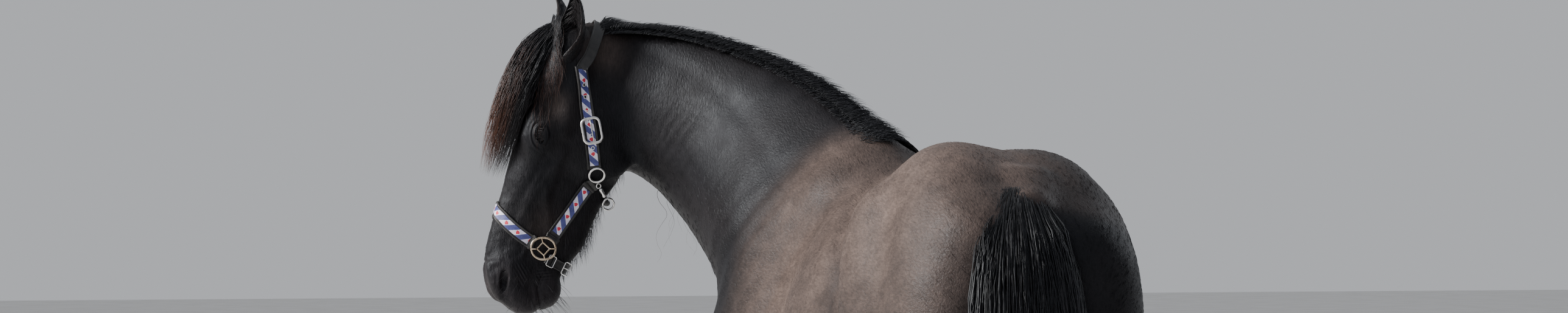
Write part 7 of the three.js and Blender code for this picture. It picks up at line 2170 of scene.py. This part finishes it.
# the plain loops where a strap is folded round its ring
for side, s in (("left", 1), ("right", -1)):
    belt("halter_keeper_side_top_%s" % side, [(0.348, 141.0 * s), (0.3555, 140.2 * s)], PAD, 0.0178, M_PAD, thick=1.2, raise_=0.0018, lift=-0.0020, step=0.0015)
    belt("halter_keeper_side_low_%s" % side, [(0.4815, 111.2 * s), (0.4885, 108.8 * s)], PAD, 0.0178, M_PAD, thick=1.2, raise_=0.0018, lift=-0.0020, step=0.0015)
    belt("halter_keeper_nose_%s" % side, [(0.5083, 60.5 * s), (0.5098, 66.5 * s)], PAD, 0.0178, M_PAD, thick=1.2, raise_=0.0018, lift=-0.0020, step=0.0015)
belt("halter_keeper_chin_left", [(0.5405, 124.0), (0.5420, 130.0)], PAD, 0.0135, M_PAD, thick=1.2, raise_=0.0016, lift=-0.0020, step=0.0015)

# the crown, over the neck behind the ears
def crown_ring(k, lift):
    M = np.array([0.083, -0.018, 0.0])
    w = unit(np.array([-0.992, -0.126, 0.0]))
    k = np.radians(k)
    d = w[None] * np.cos(k)[:, None] + np.array([[0, 0, 1.0]]) * np.sin(k)[:, None]
    lo, hi = np.full(len(k), 0.05), np.full(len(k), 0.21)
    for _ in range(18):
        m = (lo + hi) / 2
        f = body(from_head(M[None] + d * m[:, None])) < lift
        lo, hi = np.where(f, m, lo), np.where(f, hi, m)
    return M[None] + d * lo[:, None]

ck = crown_ring(np.linspace(-76, 76, 55), -0.0015)
join_l = on_head([0.094, 0.087], [77.5, 75.5], -0.0015)
join_r = join_l * [1, 1, -1]
ck = np.concatenate([join_r, ck, join_l[::-1]])
ck, cs = even_line(ck, 90)
ck = blur(ck, 10)
T = unit(np.gradient(ck, axis=0))
N = unit(blur(unit(ck - np.array([[0.083, -0.018, 0.0]])), 4))
N = unit(N - (N * T).sum(1, keepdims=True) * T)
B = np.cross(T, N)
u = np.array([p[0] for p in PAD])
w = np.array([p[1] for p in PAD]) * 0.95
R = ck[:, None, :] + B[:, None, :] * (u * 0.014)[None, :, None] + N[:, None, :] * w[None, :, None]
V, F, U = outward(*solid_sweep(from_head(R.reshape(-1, 3)).reshape(R.shape), np.broadcast_to(np.stack([u, w], -1)[None], R.shape[:2] + (2,))))
ob = make("halter_crown_pad", V, F, M_PAD, "webbing", uv=U.reshape(-1, 2), uvname="strap")
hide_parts("halter_crown")

# --- metal ---
ROUND = [[math.cos(x), math.sin(x)] for x in np.linspace(0, 2 * math.pi, 57)[:-1]]
for side, s in (("left", 1), ("right", -1)):
    P, ax = loop_in(frame_at(0.321, 135 * s, 0.0052, [1, 0, 0]), np.array(ROUND) * 0.0178)
    ob = make("halter_ring_%s_wire" % side, *ring_tube(P, ax, 0.0026, 0.9, 14), M_STEEL, "steel")
    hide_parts("halter_ring_" + side)
    fr = frame_at(0.517, 93 * s, 0.0056, unit(np.array([0.35, 1.0, 0])))
    outer = soft_loop(np.array([[0.0295, 0.004], [0.024, 0.019], [0.008, 0.0265], [-0.012, 0.0245], [-0.026, 0.014], [-0.030, -0.003], [-0.023, -0.019], [-0.006, -0.0255], [0.012, -0.0235], [0.025, -0.013]]) * [1, s], 96, 14)
    P, ax = loop_in(fr, outer)
    parts = [ring_tube(P, ax, 0.0026, 0.62, 14)]
    # the bars round the square opening in its middle
    inner = soft_loop(np.array([[0.0150, 0.001 * s], [0.000, 0.0150 * s], [-0.0150, -0.001 * s], [0.000, -0.0150 * s]]), 64, 1)
    P, ax = loop_in(fr, inner)
    parts.append(ring_tube(P, ax, 0.0019, 0.75, 12))
    for p0, p1 in (((0.0145, 0.001), (0.0290, 0.0020)), ((0.000, 0.0145), (0.002, 0.0262)), ((-0.0145, -0.001), (-0.0290, -0.0025)), ((0.000, -0.0145), (-0.002, -0.0245))):
        Q, _ = loop_in(fr, [[p0[0], p0[1] * s], [p1[0], p1[1] * s]])
        parts.append(bar_tube(np.linspace(Q[0], Q[1], 4), np.full(4, 0.0018), 10))
    ob = make("halter_square_%s_plate" % side, *merge(parts), M_BRASS, "steel")
    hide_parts("halter_square_" + side)

fr = frame_at(0.225, 110, 0.0070, [0.90, -0.44, 0])
P, ax = loop_in(fr, box_path(0.0575, 0.0425, 0.0125))
parts = [ring_tube(P, ax, 0.0032, 0.72, 14)]
Q, _ = loop_in(fr, [[-0.0262, 0.0], [-0.010, 0.0], [0.010, 0.0], [0.0270, 0.0]])
parts.append(bar_tube(Q + ax * np.array([[0.0012], [0.0020], [0.0016], [0.0020]]), [0.0015, 0.0015, 0.0014, 0.0010], 10))
ob = make("halter_buckle_frame", *merge(parts), M_STEEL, "steel")
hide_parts("halter_buckle")
fr = frame_at(0.549, 152, 0.0062, [1, 0.2, 0])
P, ax = loop_in(fr, box_path(0.030, 0.024, 0.004))
parts = [ring_tube(P, ax, 0.0014, 0.9, 10)]
Q, _ = loop_in(fr, [[0.0, -0.011], [0.0, 0.012]])
parts.append(bar_tube(np.linspace(Q[0], Q[1], 4) + ax * 0.001, np.full(4, 0.0010), 8))
ob = make("halter_chin_frame", *merge(parts), M_STEEL, "steel")
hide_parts("halter_chin_buckle")
fr = frame_at(0.5405, 118, 0.0062, [1, 0.2, 0])
P, ax = loop_in(fr, box_path(0.0265, 0.0175, 0.003))
make("halter_chin_frame_small", *ring_tube(P, ax, 0.0011, 0.9, 10), M_STEEL, "steel")

# snap hook: an eye on the ring, a turned barrel, and the hook round the throat strap
p0, p1 = on_head([0.341], [142.5], 0.0060)[0], on_head([0.371], [159.2], 0.0085)[0]
n_ = slope(head, on_head([0.357], [151], 0.006))[0]
d_ = unit(p1 - p0)
n_ = unit(n_ - d_ * (n_ @ d_))
y_ = np.cross(n_, d_)
p1 = p0 + (p1 - p0) * 1.22
L_ = np.linalg.norm(p1 - p0)
ax = unit(from_head((p0 + n_)[None]) - from_head(p0[None]))[0]
def plane(pts, c):
    pts = np.asarray(pts, float)
    return from_head(c[None] + d_[None] * pts[:, :1] + y_[None] * pts[:, 1:2])
parts = [ring_tube(plane(np.array(ROUND)[::2] * [0.0060, 0.0052], p0 + d_ * 0.004), ax, 0.0016, 1.0, 10)]
tt = np.array([0.009, 0.0105, 0.012, 0.018, 0.0235, 0.025, 0.0265, 0.028]) * L_ / 0.045
parts.append(bar_tube(from_head(p0[None] + d_[None] * tt[:, None]), [0.0022, 0.0044, 0.0050, 0.0040, 0.0046, 0.0060, 0.0060, 0.0032], 14))
hook = soft_loop([[-0.002, 0.003], [0.004, 0.0130], [0.016, 0.0160], [0.027, 0.0080], [0.0285, -0.004], [0.020, -0.0125], [0.007, -0.0115], [-0.001, -0.005]], 96, 14)
parts.append(ring_tube(plane(hook, p1 - d_ * 0.014), ax, 0.0024, 1.0, 12))
ob = make("halter_snap_hook", *merge(parts), M_STEEL, "steel")
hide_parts("halter_snap")

# eyelets along the cheek straps, near and far; a near-black disc in each hole is painted shade
rings, shade_discs = [], []
for side, s in (("left", 1), ("right", -1)):
    for a, deg in ((0.127, 86.1), (0.153, 92.2), (0.180, 98.6), (0.236, 112.6), (0.263, 118.8)):
        fr = frame_at(a, deg * s, 0.0016, [1, 0, 0])
        P, ax = loop_in(fr, np.array(ROUND)[::2] * 0.0036)
        rings.append(ring_tube(P, ax, 0.0011, 0.8, 10))
        Q, ax = loop_in(fr, [[0, 0]])
        shade_discs.append(bar_tube(np.stack([Q[0] - ax * 0.0010, Q[0] + ax * 0.0003]), [0.0030, 0.0030], 16))
make("halter_eyelets", *merge(rings), M_STEEL, "steel")
make("halter_eyelet_shade_discs", *merge(shade_discs), M_HOLE_SHADE, "steel")

# ---------- floor, light and camera ----------
def floor():
    n = Nodes("floor")
    pos = n.new("TexCoord").outputs["Object"]
    s = n.noise(pos, 3.0, 4, 0.5)
    n.set(Base_Color=n.mix(n.ramp(s, 0.3, 0.7), rgb(0.66, 0.655, 0.64), rgb(0.72, 0.715, 0.705)), Roughness=0.7, Normal=n.bump(n.noise(pos, 90.0, 2), 0.05, 0.001))
    me = bpy.data.meshes.new("floor")
    r = 40.0
    me.from_pydata([(-r, -r, 0), (r, -r, 0), (r, r, 0), (-r, r, 0)], [], [(0, 1, 2, 3)])
    ob = bpy.data.objects.new("floor", me)
    me.materials.append(n.m)
    bpy.context.scene.collection.objects.link(ob)

floor()

def area(name, at_, to, size, power, colour=(1, 1, 1)):
    d = bpy.data.lights.new(name, "AREA")
    d.shape = "RECTANGLE"
    d.size, d.size_y = size
    d.energy = power
    d.color = colour
    ob = bpy.data.objects.new(name, d)
    ob.location = at_
    ob.rotation_mode = "QUATERNION"
    ob.rotation_quaternion = (Vector(to) - Vector(at_)).to_track_quat("-Z", "Y")
    bpy.context.scene.collection.objects.link(ob)

YAW = math.radians(13.0)
FWD = np.array([math.cos(YAW), -math.sin(YAW), 0.0])
RIGHT = np.array([-math.sin(YAW), -math.cos(YAW), 0.0])
EYE = np.array([-9.4598, 2.5445, 1.5437]) + SHIFT

def placed(right, back, up):
    """A point beside the horse, as seen from the camera."""
    p = -RIGHT * right * -1 - FWD * back
    return (float(p[0]), float(p[1]), up)

area("key", placed(-6.4, 0.2, 4.9), (0.1, 0.0, 1.2), (1.6, 1.6), 1450.0, (1.0, 0.965, 0.91))
area("sky", placed(0.0, 0.0, 8.0), (0.0, 0.0, 1.0), (9.0, 9.0), 80.0, (0.86, 0.93, 1.0))
area("front", placed(-2.0, 9.0, 3.5), (0.0, 0.0, 1.2), (5.0, 3.0), 120.0, (0.93, 0.96, 1.0))
area("rim", placed(5.0, -4.0, 4.0), (0.0, 0.0, 1.3), (3.0, 3.0), 60.0, (0.9, 0.95, 1.0))

world = bpy.data.worlds.new("studio")
bpy.context.scene.world = world
world.use_nodes = True
bg = world.node_tree.nodes["Background"]
bg.inputs[0].default_value = (0.82, 0.84, 0.88, 1)
bg.inputs[1].default_value = 0.60

cam = bpy.data.objects.new("camera", bpy.data.cameras.new("camera"))
bpy.context.scene.collection.objects.link(cam)
cam.location = tuple(EYE)
cam.rotation_euler = (math.pi / 2, 0.0, -math.pi / 2 - YAW)
cam.data.sensor_width = 36.0
cam.data.lens = 7520.0 / 2576.0 * 36.0
cam.data.clip_start, cam.data.clip_end = 0.1, 120.0
bpy.context.scene.camera = cam
